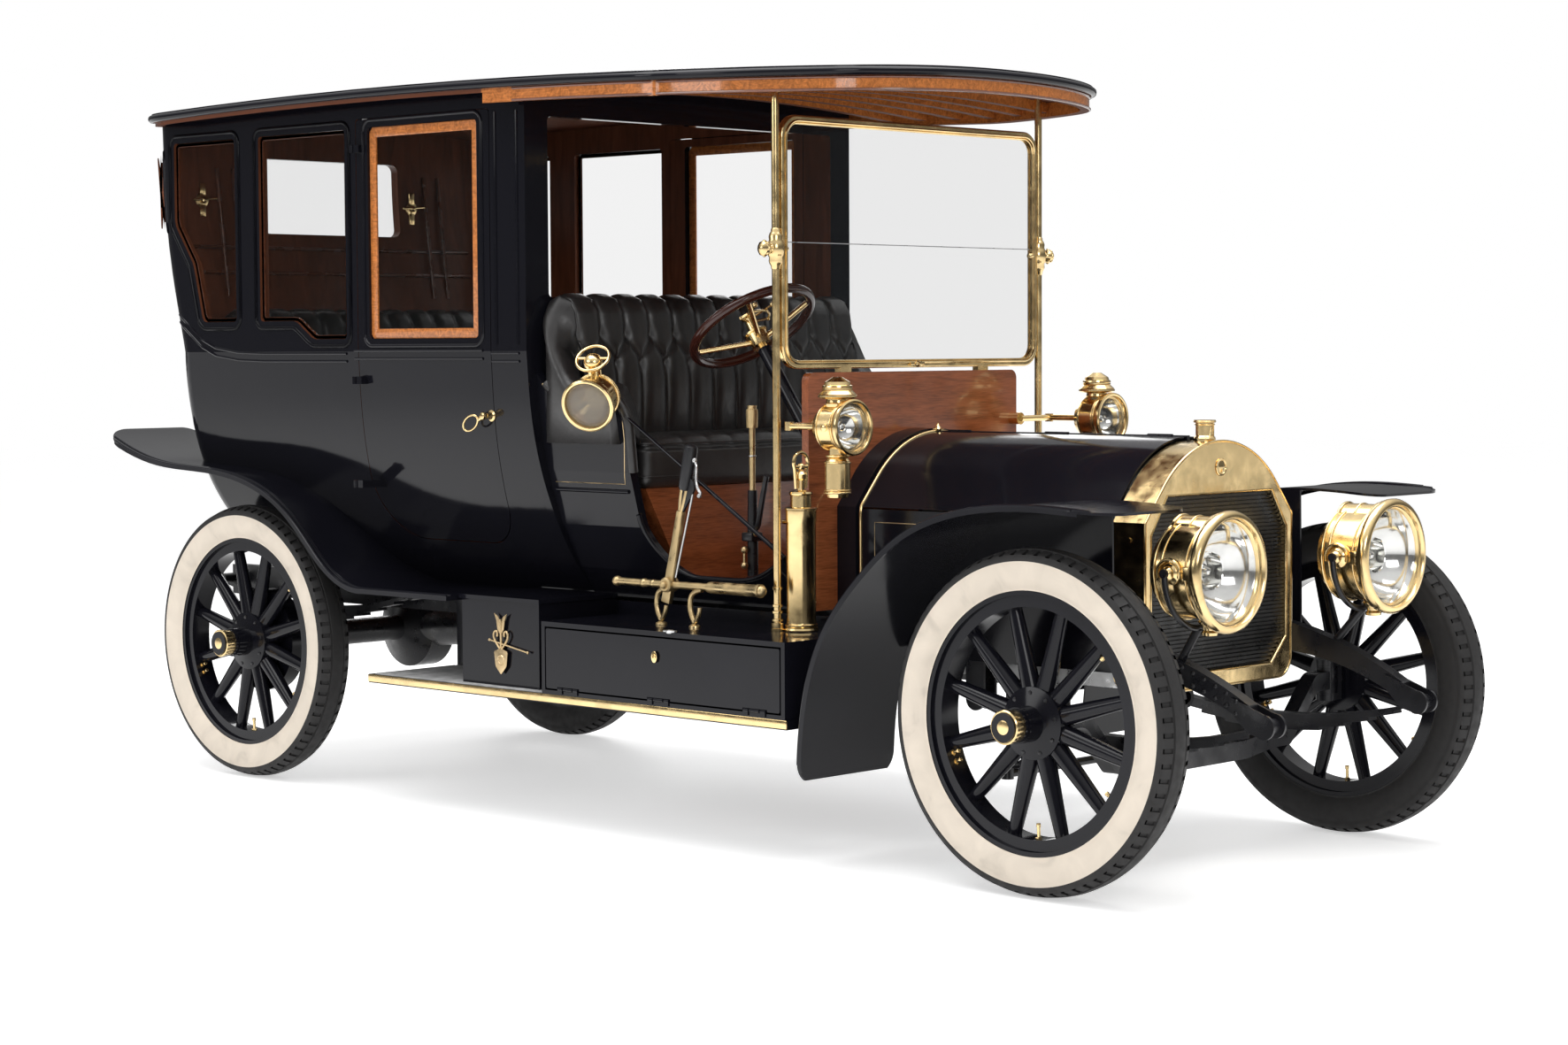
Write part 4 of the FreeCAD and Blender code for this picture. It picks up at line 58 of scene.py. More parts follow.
# Every size is in metres. X points forward, Y to the car's left and Z up.
FULL_TURN = math.tau
ALONG_X = Vector((1, 0, 0))
ALONG_Y = Vector((0, 1, 0))
ALONG_Z = Vector((0, 0, 1))
SIDES = {"right": -1, "left": 1}


def colour_property(name, description, default):
    """A colour that a user can change."""
    return FloatVectorProperty(name=name, description=description, subtype="COLOR", size=3,
                               min=0.0, max=1.0, default=default)


def length_property(name, description, default):
    """A length in metres that a user can change."""
    return FloatProperty(name=name, description=description, unit="LENGTH", min=0.0, default=default)


class CarFinish(bpy.types.PropertyGroup):
    """Colours of the coachwork, metal, wood, leather and rubber."""
    paint: colour_property("Coach paint", "Gloss black with a blue cast", (0.006, 0.006, 0.009))
    iron: colour_property("Chassis paint", "Black enamel on frame and springs", (0.008, 0.008, 0.01))
    brass: colour_property("Brass", "Polished brass of lamps and radiator", (0.83, 0.62, 0.31))
    bronze: colour_property("Bronze", "Worn bronze of the levers", (0.62, 0.47, 0.25))
    silver: colour_property("Reflector", "Silvered lamp bowls", (0.86, 0.86, 0.84))
    mahogany: colour_property("Mahogany", "Dark inner panelling", (0.115, 0.038, 0.018))
    dash_wood: colour_property("Dash wood", "Red-brown dash and seat box", (0.3, 0.085, 0.028))
    veneer: colour_property("Veneer", "Orange burr veneer", (0.56, 0.185, 0.045))
    rim_wood: colour_property("Rim wood", "Dark steering wheel rim", (0.045, 0.012, 0.008))
    leather: colour_property("Leather", "Black buttoned hide", (0.013, 0.012, 0.012))
    whitewall: colour_property("Side wall", "Cream rubber of the tyre walls", (0.8, 0.71, 0.6))
    tread: colour_property("Tread", "Dark grey rubber", (0.028, 0.027, 0.027))
    mat: colour_property("Board mat", "Pale ribbed mat", (0.42, 0.42, 0.42))
    stripe: colour_property("Lining", "Gold lining on the coachwork", (0.62, 0.47, 0.27))
    floor: colour_property("Studio floor", "Pale floor under the car", (0.9, 0.9, 0.9))


class CarFittings(bpy.types.PropertyGroup):
    """Sizes and counts of the fittings that the solids leave out."""
    tyre_steps: IntProperty(name="Tyre steps", description="Faces round each tyre", min=72, default=216)
    tread_block_faces: IntProperty(name="Tread block", description="Faces round a tyre for each tread block",
                                   min=2, default=3)
    tread_slot_depth: length_property("Tread slot depth", "Depth of the cuts between blocks", 0.005)
    whitewall_radius: length_property("White wall radius", "Outer edge of the pale side wall", 0.407)
    hub_bolt_count: IntProperty(name="Hub bolts", description="Bolts round each hub flange",
                                min=4, default=9)
    lining_width: length_property("Lining width", "Width of the gold lining", 0.0016)
    moulding_radius: length_property("Moulding radius", "Radius of the half-round body mouldings", 0.006)
    window_bead: length_property("Window bead", "Distance of the bead from the pane's edge", 0.022)


# Shapes


def new_piece(name, shape, finish_names, body="car", sharp=40):
    """Turns a bmesh into an object that moves with one of the car's bodies, in one or more finishes."""
    names = (finish_names,) if isinstance(finish_names, str) else finish_names
    mesh = bpy.data.meshes.new(name)
    shape.to_mesh(mesh)
    shape.free()
    for own in names:
        mesh.materials.append(finish(own))
    mesh.shade_smooth()
    mesh.set_sharp_from_angle(angle=math.radians(sharp))
    piece = bpy.data.objects.new(name, mesh)
    bpy.context.scene.collection.objects.link(piece)
    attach(piece, body)
    return piece


def turned_to(axis):
    """The rotation that carries Z onto an axis."""
    return Vector(axis).to_track_quat("Z", "Y").to_matrix().to_4x4()


def placed(centre, axis):
    """The transform that carries the origin to a centre and Z onto an axis."""
    return Matrix.Translation(Vector(centre)) @ turned_to(axis)


def spoke_at(angle):
    """A unit vector in the plane of a wheel, by angle in radians."""
    return Vector((math.cos(angle), 0, math.sin(angle)))


def offsets_from(base, *offsets):
    """The points that lie at some offsets from a base."""
    return [base + Vector(offset) for offset in offsets]


def paint_faces(faces, material):
    """Gives faces one of their mesh's materials, by its place in the list."""
    for face in faces:
        face.material_index = material


def faces_of(verts):
    """The faces round some vertices, each once."""
    return list(dict.fromkeys(face for vert in verts for face in vert.link_faces))


def made_since(shape, before, material=None):
    """The vertices that a bmesh got since a set of them was taken, with their faces painted."""
    verts = [vert for vert in shape.verts if vert not in before]
    if material is not None:
        paint_faces(faces_of(verts), material)
    return verts


def soften(shape, edges, width):
    """Rounds edges with a bevel of two segments."""
    bmesh.ops.bevel(shape, geom=edges, offset=width, offset_type="OFFSET", segments=2, profile=0.5,
                    affect="EDGES", material=-1, clamp_overlap=True)


def soften_corners(shape, faces, width, angle):
    """Rounds the edges of some faces that turn by more than an angle in degrees."""
    edges = dict.fromkeys(edge for face in faces for edge in face.edges)
    soften(shape, [edge for edge in edges if edge.calc_face_angle(0) > math.radians(angle)], width)


def add_block(shape, low, high, bevel=0.0, material=0):
    """A box between two corners."""
    low, high = Vector(low), Vector(high)
    matrix = Matrix.Translation((low + high) / 2) @ Matrix.Diagonal((*(high - low), 1))
    before = set(shape.verts)
    made = bmesh.ops.create_cube(shape, size=1, matrix=matrix)
    if bevel:
        soften(shape, list(dict.fromkeys(edge for vert in made["verts"] for edge in vert.link_edges)), bevel)
    return made_since(shape, before, material)


def add_rod(shape, start, end, radius, segments=16, end_radius=None, bevel=0.0, material=0):
    """A round bar between two points, tapered where it has an end radius."""
    start, end = Vector(start), Vector(end)
    matrix = placed((start + end) / 2, end - start)
    before = set(shape.verts)
    made = bmesh.ops.create_cone(shape, cap_ends=True, cap_tris=False, segments=segments,
                                 radius1=radius, radius2=radius if end_radius is None else end_radius,
                                 depth=(end - start).length, matrix=matrix)
    if bevel:
        caps = [face for face in faces_of(made["verts"]) if len(face.verts) > 4]
        soften(shape, list(dict.fromkeys(edge for face in caps for edge in face.edges)), bevel)
    return made_since(shape, before, material)


def add_ball(shape, centre, radius, segments=20, squash=1.0, axis=ALONG_Z, material=0):
    """A ball, flattened along an axis by its squash."""
    matrix = placed(centre, axis) @ Matrix.Diagonal((1, 1, squash, 1))
    made = bmesh.ops.create_uvsphere(shape, u_segments=segments, v_segments=segments // 2,
                                     radius=radius, matrix=matrix)
    paint_faces(faces_of(made["verts"]), material)
    return made["verts"]


def add_turned(shape, profile, centre, axis, steps=48, closed=False, material=0):
    """Spins a profile of (along, radius) points about an axis."""
    before = set(shape.verts)
    line = [shape.verts.new((radius, 0, along)) for along, radius in profile]
    pairs = list(zip(line, line[1:]))
    if closed:
        pairs.append((line[-1], line[0]))
    edges = [shape.edges.new(pair) for pair in pairs]
    bmesh.ops.spin(shape, geom=line + edges, cent=(0, 0, 0), axis=(0, 0, 1), dvec=(0, 0, 0),
                   angle=FULL_TURN, steps=steps, use_merge=True, use_duplicate=False)
    bmesh.ops.remove_doubles(shape, verts=made_since(shape, before), dist=1e-6)
    verts = made_since(shape, before, material)
    bmesh.ops.recalc_face_normals(shape, faces=faces_of(verts))
    bmesh.ops.transform(shape, matrix=placed(centre, axis), verts=verts)
    return verts


def add_tube(shape, points, radius, cyclic=False, sides=8, smooth=False, material=0):
    """Sweeps a round bar along points, straight between them or smooth through them."""
    curve = bpy.data.curves.new("bar", "CURVE")
    curve.dimensions = "3D"
    curve.bevel_depth = radius
    curve.bevel_resolution = max(0, sides // 2 - 2)
    curve.use_fill_caps = not cyclic
    curve.resolution_u = 6
    line = curve.splines.new("NURBS" if smooth else "POLY")
    line.points.add(len(points) - 1)
    for place, point in zip(line.points, points):
        place.co = (*point, 1)
    line.use_cyclic_u = cyclic
    if smooth:
        line.order_u = 3
        line.use_endpoint_u = not cyclic
    holder = bpy.data.objects.new("bar", curve)
    mesh = bpy.data.meshes.new_from_object(holder)
    before = set(shape.verts)
    shape.from_mesh(mesh)
    bpy.data.objects.remove(holder)
    bpy.data.curves.remove(curve)
    bpy.data.meshes.remove(mesh)
    return made_since(shape, before, material)


def add_bent_rod(shape, points, radius):
    """A round bar bent smoothly through points."""
    return add_tube(shape, points, radius, sides=10, smooth=True)


def thicken(shape, before, faces, depth, bevel, angle, material):
    """Gives a flat figure thickness along a vector, and rounds its corners."""
    made = bmesh.ops.extrude_face_region(shape, geom=faces)
    lifted = [item for item in made["geom"] if isinstance(item, bmesh.types.BMVert)]
    bmesh.ops.translate(shape, verts=lifted, vec=Vector(depth))
    walls = faces_of(made_since(shape, before))
    bmesh.ops.recalc_face_normals(shape, faces=walls)
    if bevel:
        soften_corners(shape, walls, bevel, angle)
    return made_since(shape, before, material)


def add_plate(shape, outline, depth, bevel=0.0, material=0):
    """A flat plate with that outline, given thickness along a vector."""
    before = set(shape.verts)
    face = shape.faces.new([shape.verts.new(point) for point in outline])
    return thicken(shape, before, [face], depth, bevel, 50, material)


def add_frame(shape, loop, width, depth, bevel=0.0, material=0):
    """A flat frame just inside a closed outline of points, given thickness along a vector."""
    before = set(shape.verts)
    face = shape.faces.new([shape.verts.new(point) for point in loop])
    face.normal_update()
    ring = bmesh.ops.inset_region(shape, faces=[face], thickness=width, use_even_offset=True,
                                  use_boundary=True)["faces"]
    bmesh.ops.delete(shape, geom=[face], context="FACES")
    return thicken(shape, before, ring, depth, bevel, 60, material)


def corner_arc(centre, radius, start, end, count):
    """Points on an arc in a plane, by angle in degrees."""
    angles = [math.radians(start + (end - start) * index / count) for index in range(count + 1)]
    return [(centre[0] + radius * math.cos(angle), centre[1] + radius * math.sin(angle))
            for angle in angles]


def rounded(corners, count=5):
    """Points round a closed outline of (u, v, radius) corners, with its corners turned to arcs."""
    points = []
    for index, (u, v, radius) in enumerate(corners):
        here = Vector((u, v))
        if radius <= 0:
            points.append((u, v))
            continue
        back = (Vector(corners[index - 1][:2]) - here).normalized()
        ahead = (Vector(corners[(index + 1) % len(corners)][:2]) - here).normalized()
        half = back.angle(ahead) / 2
        reach = radius / math.tan(half)
        start, end = here + back * reach, here + ahead * reach
        centre = here + (back + ahead).normalized() * radius / math.sin(half)
        first, last = start - centre, end - centre
        turn = first.angle_signed(last)
        for step in range(count + 1):
            spoke = first.copy()
            spoke.rotate(Matrix.Rotation(-turn * step / count, 2))
            points.append(tuple(centre + spoke))
    return points


def add_grid(shape, rows, cyclic=False, capped=False, material=0):
    """A surface through rows of points; cyclic joins each row's ends, capped fills the outer rows."""
    before = set(shape.verts)
    lines = [[shape.verts.new(point) for point in row] for row in rows]
    for row, ahead in zip(lines, lines[1:]):
        for index in range(len(row) if cyclic else len(row) - 1):
            beside = (index + 1) % len(row)
            shape.faces.new((row[index], row[beside], ahead[beside], ahead[index]))
    if capped:
        shape.faces.new(lines[0])
        shape.faces.new(lines[-1][::-1])
    verts = made_since(shape, before, material)
    bmesh.ops.recalc_face_normals(shape, faces=faces_of(verts))
    return verts


def widened(loop, distance):
    """A closed (u, v) outline moved outwards by a distance, or inwards where it is negative."""
    area = sum(here[0] * ahead[1] - ahead[0] * here[1] for here, ahead in zip(loop, loop[1:] + loop[:1]))
    side = 1 if area > 0 else -1
    moved = []
    for index, point in enumerate(loop):
        here = Vector(point)
        back = (here - Vector(loop[index - 1])).normalized()
        ahead = (Vector(loop[(index + 1) % len(loop)]) - here).normalized()
        normals = [Vector((edge.y, -edge.x)) * side for edge in (back, ahead)]
        middle = (normals[0] + normals[1]).normalized()
        moved.append(tuple(here + middle * distance / max(middle.dot(normals[0]), 0.5)))
    return moved


def outline_loops(node, direction, flatness=0.95):
    """The closed outlines of a node's faces that look along a direction, as lists of points."""
    shape = bmesh.new()
    shape.from_mesh(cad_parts[node].data)
    bmesh.ops.remove_doubles(shape, verts=shape.verts, dist=1e-5)
    direction = Vector(direction)
    facing = {face for face in shape.faces if face.normal.dot(direction) > flatness}
    rims = dict.fromkeys(edge for edge in shape.edges
                         if sum(face in facing for face in edge.link_faces) == 1)
    loops = []
    while rims:
        edge = rims.popitem()[0]
        loop = [edge.verts[0], edge.verts[1]]
        while True:
            found = next((other for other in loop[-1].link_edges if other in rims), None)
            if found is None:
                break
            del rims[found]
            loop.append(found.other_vert(loop[-1]))
        if loop[0] is loop[-1]:
            loop.pop()
        loops.append([vert.co.copy() for vert in loop])
    shape.free()
    return loops


def smooth_step(value):
    """An even rise from 0 to 1 that starts and ends level."""
    value = min(max(value, 0.0), 1.0)
    return value * value * (3 - 2 * value)


def between(low, high, share):
    """The value at a share of the way from low to high."""
    return low + (high - low) * share


class Skin:
    """The outer surface of some nodes, for laying lines and fittings on it."""

    def __init__(self, *nodes):
        self.trees = []
        for node in nodes:
            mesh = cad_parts[node].data
            corners = [vert.co for vert in mesh.vertices]
            self.trees.append(BVHTree.FromPolygons(corners, [tuple(p.vertices) for p in mesh.polygons]))

    def hit(self, start, direction, reach=5.0):
        """The nearest (place, normal, distance) along a ray, or None."""
        best = None
        for tree in self.trees:
            place, normal, _, distance = tree.ray_cast(Vector(start), Vector(direction), reach)
            if place is not None and (best is None or distance < best[2]):
                best = (place, normal, distance)
        return best

    def side(self, x, z, side, lift=0.0):
        """The point of the car's side at that place, lifted off the surface."""
        found = self.hit((x, side * 2, z), (0, -side, 0))
        if found is None:
            raise ValueError("no side surface at %.3f, %.3f" % (x, z))
        return found[0] + Vector((0, side * lift, 0))

    def line(self, points, side, lift=0.0):
        """A line of (x, z) points laid on the car's side, less those that pass off it."""
        hits = [self.hit((x, side * 2, z), (0, -side, 0)) for x, z in points]
        return [found[0] + Vector((0, side * lift, 0)) for found in hits if found]


# Finishes

class Nodes:
    """A node tree that is built up node by node."""

    def __init__(self, tree):
        self.tree = tree

    def node(self, kind, inputs=None, **settings):
        """A new node, its inputs linked or set, and its settings given."""
        made = self.tree.nodes.new(kind)
        for name, value in settings.items():
            setattr(made, name, value)
        for socket, value in (inputs or {}).items():
            if isinstance(value, bpy.types.NodeSocket):
                self.tree.links.new(value, made.inputs[socket])
            else:
                made.inputs[socket].default_value = value
        return made

    def maths(self, operation, first, second):
        return self.node("ShaderNodeMath", {0: first, 1: second}, operation=operation).outputs[0]

    def vector_maths(self, operation, first, second=(0, 0, 0)):
        made = self.node("ShaderNodeVectorMath", {0: first, 1: second}, operation=operation)
        return made.outputs["Value" if operation in ("DOT_PRODUCT", "LENGTH") else "Vector"]

    def seen_rays(self):
        """A mask that is 1 where the camera, a reflection or glass sees the surface."""
        rays = self.node("ShaderNodeLightPath").outputs
        mask = self.maths("MAXIMUM", rays["Is Camera Ray"], rays["Is Glossy Ray"])
        return self.maths("MAXIMUM", mask, rays["Is Transmission Ray"])


class Finish(Nodes):
    """A material built up from its own grain, tint, gloss and relief."""

    def __init__(self, name, colour, metallic=0.0, roughness=0.4, **sockets):
        self.material = bpy.data.materials.new(name)
        self.material.use_nodes = True
        super().__init__(self.material.node_tree)
        self.shader = self.tree.nodes["Principled BSDF"]
        self.colour = tuple(colour[:3])
        self.shader.inputs["Base Color"].default_value = (*self.colour, 1)
        self.shader.inputs["Metallic"].default_value = metallic
        self.shader.inputs["Roughness"].default_value = roughness
        for name, value in sockets.items():
            self.socket(name).default_value = value
        self.texture_place = self.node("ShaderNodeTexCoord")
        self.place = self.texture_place.outputs["Object"]

    def socket(self, name):
        return self.shader.inputs[name.replace("_", " ").title().replace("Ior", "IOR")]

    def mapped(self, stretch=(1, 1, 1)):
        return self.node("ShaderNodeMapping", {"Vector": self.place, "Scale": stretch}).outputs["Vector"]

    def noise(self, scale, stretch=(1, 1, 1), detail=4.0, distortion=0.0):
        made = self.node("ShaderNodeTexNoise", {"Vector": self.mapped(stretch), "Scale": scale,
                                                "Detail": detail, "Distortion": distortion})
        return made.outputs["Fac"]

    def shades(self, share):
        return (*[min(1.0, channel * share) for channel in self.colour], 1)

    def tint(self, grain, stops):
        """Stops are (place, colour) pairs, where a colour may be a share of the own colour."""
        ramp = self.node("ShaderNodeValToRGB", {"Fac": grain})
        steps = ramp.color_ramp.elements
        while len(steps) < len(stops):
            steps.new(0.5)
        for step, (place, colour) in zip(steps, stops):
            step.position = place
            step.color = self.shades(colour) if isinstance(colour, (int, float)) else (*colour[:3], 1)
        self.tree.links.new(ramp.outputs["Color"], self.shader.inputs["Base Color"])
        return ramp.outputs["Color"]

    def gloss(self, grain, low, high):
        """Runs the roughness between two levels by a grain."""
        made = self.node("ShaderNodeMapRange", {"Value": grain, "From Min": 0.3, "From Max": 0.7,
                                                "To Min": low, "To Max": high})
        self.tree.links.new(made.outputs["Result"], self.shader.inputs["Roughness"])

    def relief(self, height, strength, distance):
        """Adds a bump over those already there."""
        made = self.node("ShaderNodeBump", {"Height": height, "Strength": strength,
                                            "Distance": distance})
        last = self.shader.inputs["Normal"]
        if last.is_linked:
            self.tree.links.new(last.links[0].from_socket, made.inputs["Normal"])
        self.tree.links.new(made.outputs["Normal"], last)

    def ripple(self):
        """The faint waves of hand polishing in coach paint."""
        self.relief(self.noise(38.0, detail=2.0), 0.04, 0.0006)

    def facing(self, direction):
        """How far a surface faces a direction, from -1 to 1."""
        return self.vector_maths("DOT_PRODUCT", self.texture_place.outputs["Normal"], direction)

    def over(self, mask, colour, **levels):
        """Lays another colour, and other levels of gloss, over the base where a mask is 1."""
        base = self.shader.inputs["Base Color"]
        if not isinstance(colour, bpy.types.NodeSocket):
            colour = (*colour[:3], 1)
        blends = [(base, colour, "RGBA")]
        blends += [(self.socket(name), value, "FLOAT") for name, value in levels.items()]
        for own, value, kind in blends:
            under = own.links[0].from_socket if own.is_linked else own.default_value
            blend = self.node("ShaderNodeMix", {"Factor": mask, "A": under, "B": value}, data_type=kind)
            self.tree.links.new(blend.outputs["Result"], own)


def paint_finish(name, colour, roughness=0.1):
    """Coach enamel: deep, with faint dust and the ripple of hand polishing."""
    made = Finish(name, colour, roughness=roughness, specular_ior_level=0.25)
    grain = made.noise(5.0, detail=6.0)
    made.gloss(grain, roughness * 0.7, roughness * 1.7)
    made.tint(made.noise(2.3, detail=3.0), ((0.3, 0.85), (0.7, 1.25)))
    made.ripple()
    return made.material


def iron_finish(name, colour):
    """Brushed black enamel on forgings, duller than the coachwork."""
    made = Finish(name, colour, roughness=0.3, specular_ior_level=0.4)
    grain = made.noise(22.0, detail=6.0)
    made.gloss(grain, 0.2, 0.45)
    made.tint(made.noise(9.0, detail=5.0), ((0.3, 0.7), (0.62, 1.4), (0.8, (0.03, 0.026, 0.02))))
    made.relief(made.noise(120.0, detail=3.0), 0.12, 0.0006)
    return made.material


def metal_finish(name, colour, roughness=0.14, wear=1.0):
    """Hand-polished metal with cloudy tarnish and hairline scratches."""
    made = Finish(name, colour, metallic=1.0, roughness=roughness)
    cloud = made.noise(7.0, detail=5.0, distortion=0.6)
    made.tint(cloud, ((0.28, 0.72), (0.5, 1.0), (0.75, 1.12)))
    made.gloss(made.noise(26.0, detail=6.0), roughness * 0.75, roughness * (1 + wear))
    scratch = made.noise(90.0, stretch=(1, 1, 9), detail=2.0)
    made.relief(scratch, 0.03 * wear, 0.0003)
    return made.material


def wood_finish(name, colour, grain="X", roughness=0.16, figure=1.0, burr=0.0):
    """Varnished wood: long pores, broad figure and, for a burr, curled flecks."""
    made = Finish(name, colour, roughness=roughness, coat_weight=0.5, coat_roughness=0.06)
    broad = made.noise(2.2, stretch=[1 if axis == grain else 9 for axis in "XYZ"], detail=5.0,
                       distortion=1.4 * figure)
    fine = made.noise(22.0, stretch=[1 if axis == grain else 14 for axis in "XYZ"], detail=4.0,
                      distortion=0.3)
    if burr:
        curl = made.noise(34.0, detail=6.0, distortion=2.6)
        grain = made.maths("ADD", made.maths("MULTIPLY", fine, 0.4), made.maths("MULTIPLY", curl, 0.6))
    else:
        grain = made.maths("ADD", made.maths("MULTIPLY", fine, 0.45), made.maths("MULTIPLY", broad, 0.55))
    made.tint(grain, ((0.3, 0.42), (0.46, 0.85), (0.56, 1.1), (0.7, 1.45)))
    made.gloss(made.noise(14.0), roughness * 0.7, roughness * 1.6)
    made.relief(fine, 0.05, 0.0005)
    return made


def leather_finish(name, colour):
    """Black hide with pebble grain, creases and a soft sheen on its high places."""
    made = Finish(name, colour, roughness=0.36, specular_ior_level=0.5, coat_weight=0.12,
                  coat_roughness=0.35)
    pebble = made.node("ShaderNodeTexVoronoi", {"Vector": made.mapped(), "Scale": 420.0},
                       feature="DISTANCE_TO_EDGE").outputs["Distance"]
    crease = made.noise(34.0, detail=7.0, distortion=1.3)
    made.tint(made.noise(8.0, detail=5.0), ((0.3, 0.7), (0.72, 1.9)))
    made.gloss(crease, 0.28, 0.5)
    made.relief(pebble, 0.18, 0.0008)
    made.relief(crease, 0.2, 0.0012)
    return made.material


def rubber_finish(name, colour, dirt):
    """Rubber with scuffs; dirt is the share by which its stains darken it."""
    made = Finish(name, colour, roughness=0.62, specular_ior_level=0.3)
    scuff = made.noise(11.0, detail=8.0, distortion=0.9)
    made.tint(scuff, ((0.22, dirt), (0.42, 0.96), (0.75, 1.06)))
    made.gloss(made.noise(40.0), 0.5, 0.75)
    made.relief(made.noise(160.0, detail=3.0), 0.15, 0.0006)
    return made.material


def glass_finish(name, colour, alpha, roughness=0.02):
    """Glass seen as a tinted film with the faint waves of drawn plate."""
    made = Finish(name, colour, roughness=roughness, alpha=alpha, ior=1.5)
    made.relief(made.noise(3.0), 0.02, 0.0006)
    return made.material


STEERING_CENTRE = Vector((0.331, -0.275, 1.441))
STEERING_AXIS = Vector((-0.5821, 0.0, 0.8131))
STEERING_RIM_INSIDE = 0.171
CANOPY_REAR_X = -0.27
BROWN_WOOD = (0.16, 0.05, 0.022)


class Finishes:
    """The finishes of this car, each made once."""

    def __init__(self, colours):
        self.paint = paint_finish("gloss coach paint", colours.paint)
        self.iron = iron_finish("chassis enamel", colours.iron)
        self.brass = metal_finish("polished brass", colours.brass)
        self.bronze = metal_finish("worn bronze", colours.bronze, roughness=0.26, wear=1.5)
        self.steel = metal_finish("bright steel", (0.6, 0.6, 0.6), roughness=0.25)
        self.silver = metal_finish("silvered bowl", colours.silver, roughness=0.1, wear=0.6)
        self.dash_wood = wood_finish("dash wood", colours.dash_wood, grain="Y").material
        self.mahogany = wood_finish("mahogany", colours.mahogany, grain="Y", roughness=0.24).material
        self.veneer = wood_finish("burr veneer", colours.veneer, burr=1.0).material
        self.leather = leather_finish("black hide", colours.leather)
        self.whitewall = rubber_finish("cream rubber", colours.whitewall, 0.78)
        self.tread = rubber_finish("tread rubber", colours.tread, 0.7)
        self.glass = glass_finish("plate glass", (0.02, 0.025, 0.025), 0.06)
        self.screen_glass = glass_finish("screen glass", (0.03, 0.035, 0.035), 0.1)
        self.lens = glass_finish("lamp glass", (0.2, 0.2, 0.19), 0.1)
        self.frosted = glass_finish("clouded lamp glass", (0.24, 0.215, 0.18), 0.72, 0.3)
        self.cabin = cabin_finish("cabin paint and panelling", colours)
        self.brown_wood = wood_finish("window frame wood", BROWN_WOOD).material
        self.roof = roof_finish("roof covering", colours)
        self.fascia = fascia_finish("fascia wood", colours)
        self.wheel = wheel_finish("steering wheel", colours)
        self.mat = mat_finish("ribbed mat", colours.mat)
        self.stripe = metal_finish("gold lining", colours.stripe, roughness=0.35)
        self.core = iron_finish("radiator core", (0.012, 0.012, 0.012))
        # Painted shade: a near-black finish for the plates that stand for the shadow inside the headlamp
        # saddles' open mouths.
        self.dark = rubber_finish("dark gap", (0.004, 0.004, 0.004), 0.9)


def wheel_finish(name, colours):
    """Polished brass spokes and hub inside a dark wooden rim."""
    made = Finish(name, colours.brass, metallic=1.0, roughness=0.16)
    made.gloss(made.noise(26.0, detail=6.0), 0.12, 0.3)
    away = made.vector_maths("SUBTRACT", made.place, STEERING_CENTRE)
    reach = made.vector_maths("LENGTH", made.vector_maths("CROSS_PRODUCT", away, STEERING_AXIS))
    rim = made.maths("GREATER_THAN", reach, STEERING_RIM_INSIDE)
    made.over(rim, colours.rim_wood, roughness=0.14, metallic=0.0)
    return made.material


def mat_finish(name, colour):
    """Pale pressed matting with fine ribs across the board."""
    made = Finish(name, colour, roughness=0.7, specular_ior_level=0.2)
    made.tint(made.noise(26.0, detail=7.0), ((0.3, 0.7), (0.7, 1.25)))
    ribs = made.node("ShaderNodeTexWave", {"Vector": made.mapped(), "Scale": 42.0}, bands_direction="X")
    made.relief(ribs.outputs["Fac"], 0.5, 0.002)
    made.relief(made.noise(240.0), 0.3, 0.001)
    return made.material


def cabin_finish(name, colours):
    """Coach enamel, and mahogany on every face that looks into the cabin."""
    low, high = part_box("cabin")
    made = Finish(name, colours.paint, roughness=0.1, specular_ior_level=0.25)
    made.ripple()
    away = made.vector_maths("SUBTRACT", made.place, ((low.x + high.x) / 2, 0, 0))
    facing = made.facing(made.vector_maths("MULTIPLY", away, (1, 1, 0)))
    inner = made.maths("LESS_THAN", facing, 0.0)
    made.over(inner, mahogany_shades(made, colours, (7, 7, 1)), roughness=0.25)
    return made.material


def mahogany_shades(made, colours, stretch):
    """The figure of mahogany, for the part of a finish that is wood."""
    grain = made.noise(4.0, stretch=stretch, detail=6.0, distortion=1.2)
    ramp = made.node("ShaderNodeValToRGB", {"Fac": grain})
    for step, share in zip(ramp.color_ramp.elements, (0.5, 1.5)):
        step.color = (*[channel * share for channel in colours.mahogany], 1)
    return ramp.outputs["Color"]


def line_with_mahogany(made, colours):
    """Make every face that looks down mahogany."""
    below = made.maths("GREATER_THAN", made.facing((0, 0, -1)), 0.5)
    made.over(below, mahogany_shades(made, colours, (7, 1, 7)), roughness=0.7, coat_weight=0.0,
              specular_ior_level=0.1)


def roof_finish(name, colours):
    """Black roof covering above a mahogany ceiling."""
    made = Finish(name, colours.paint, roughness=0.16, specular_ior_level=0.25)
    made.ripple()
    line_with_mahogany(made, colours)
    return made.material


def fascia_finish(name, colours):
    """Burr veneer round the driver's canopy, plain brown wood behind it, mahogany beneath."""
    made = wood_finish(name, colours.veneer, burr=1.0)
    ahead = made.node("ShaderNodeSeparateXYZ", {0: made.place}).outputs["X"]
    made.over(made.maths("LESS_THAN", ahead, CANOPY_REAR_X), BROWN_WOOD, roughness=0.2)
    line_with_mahogany(made, colours)
    return made.material


finishes = {}


def finish(name):
    """The material of one of the car's finishes."""
    return getattr(finishes["car"], name)


# Studio

STUDIO_SIZE = 30.0
WORLD_FILL = 0.55
FLOOR_GLOW = 0.5
HORIZON_LEVEL = 0.16
HORIZON_BAND = (0.2, 0.75)
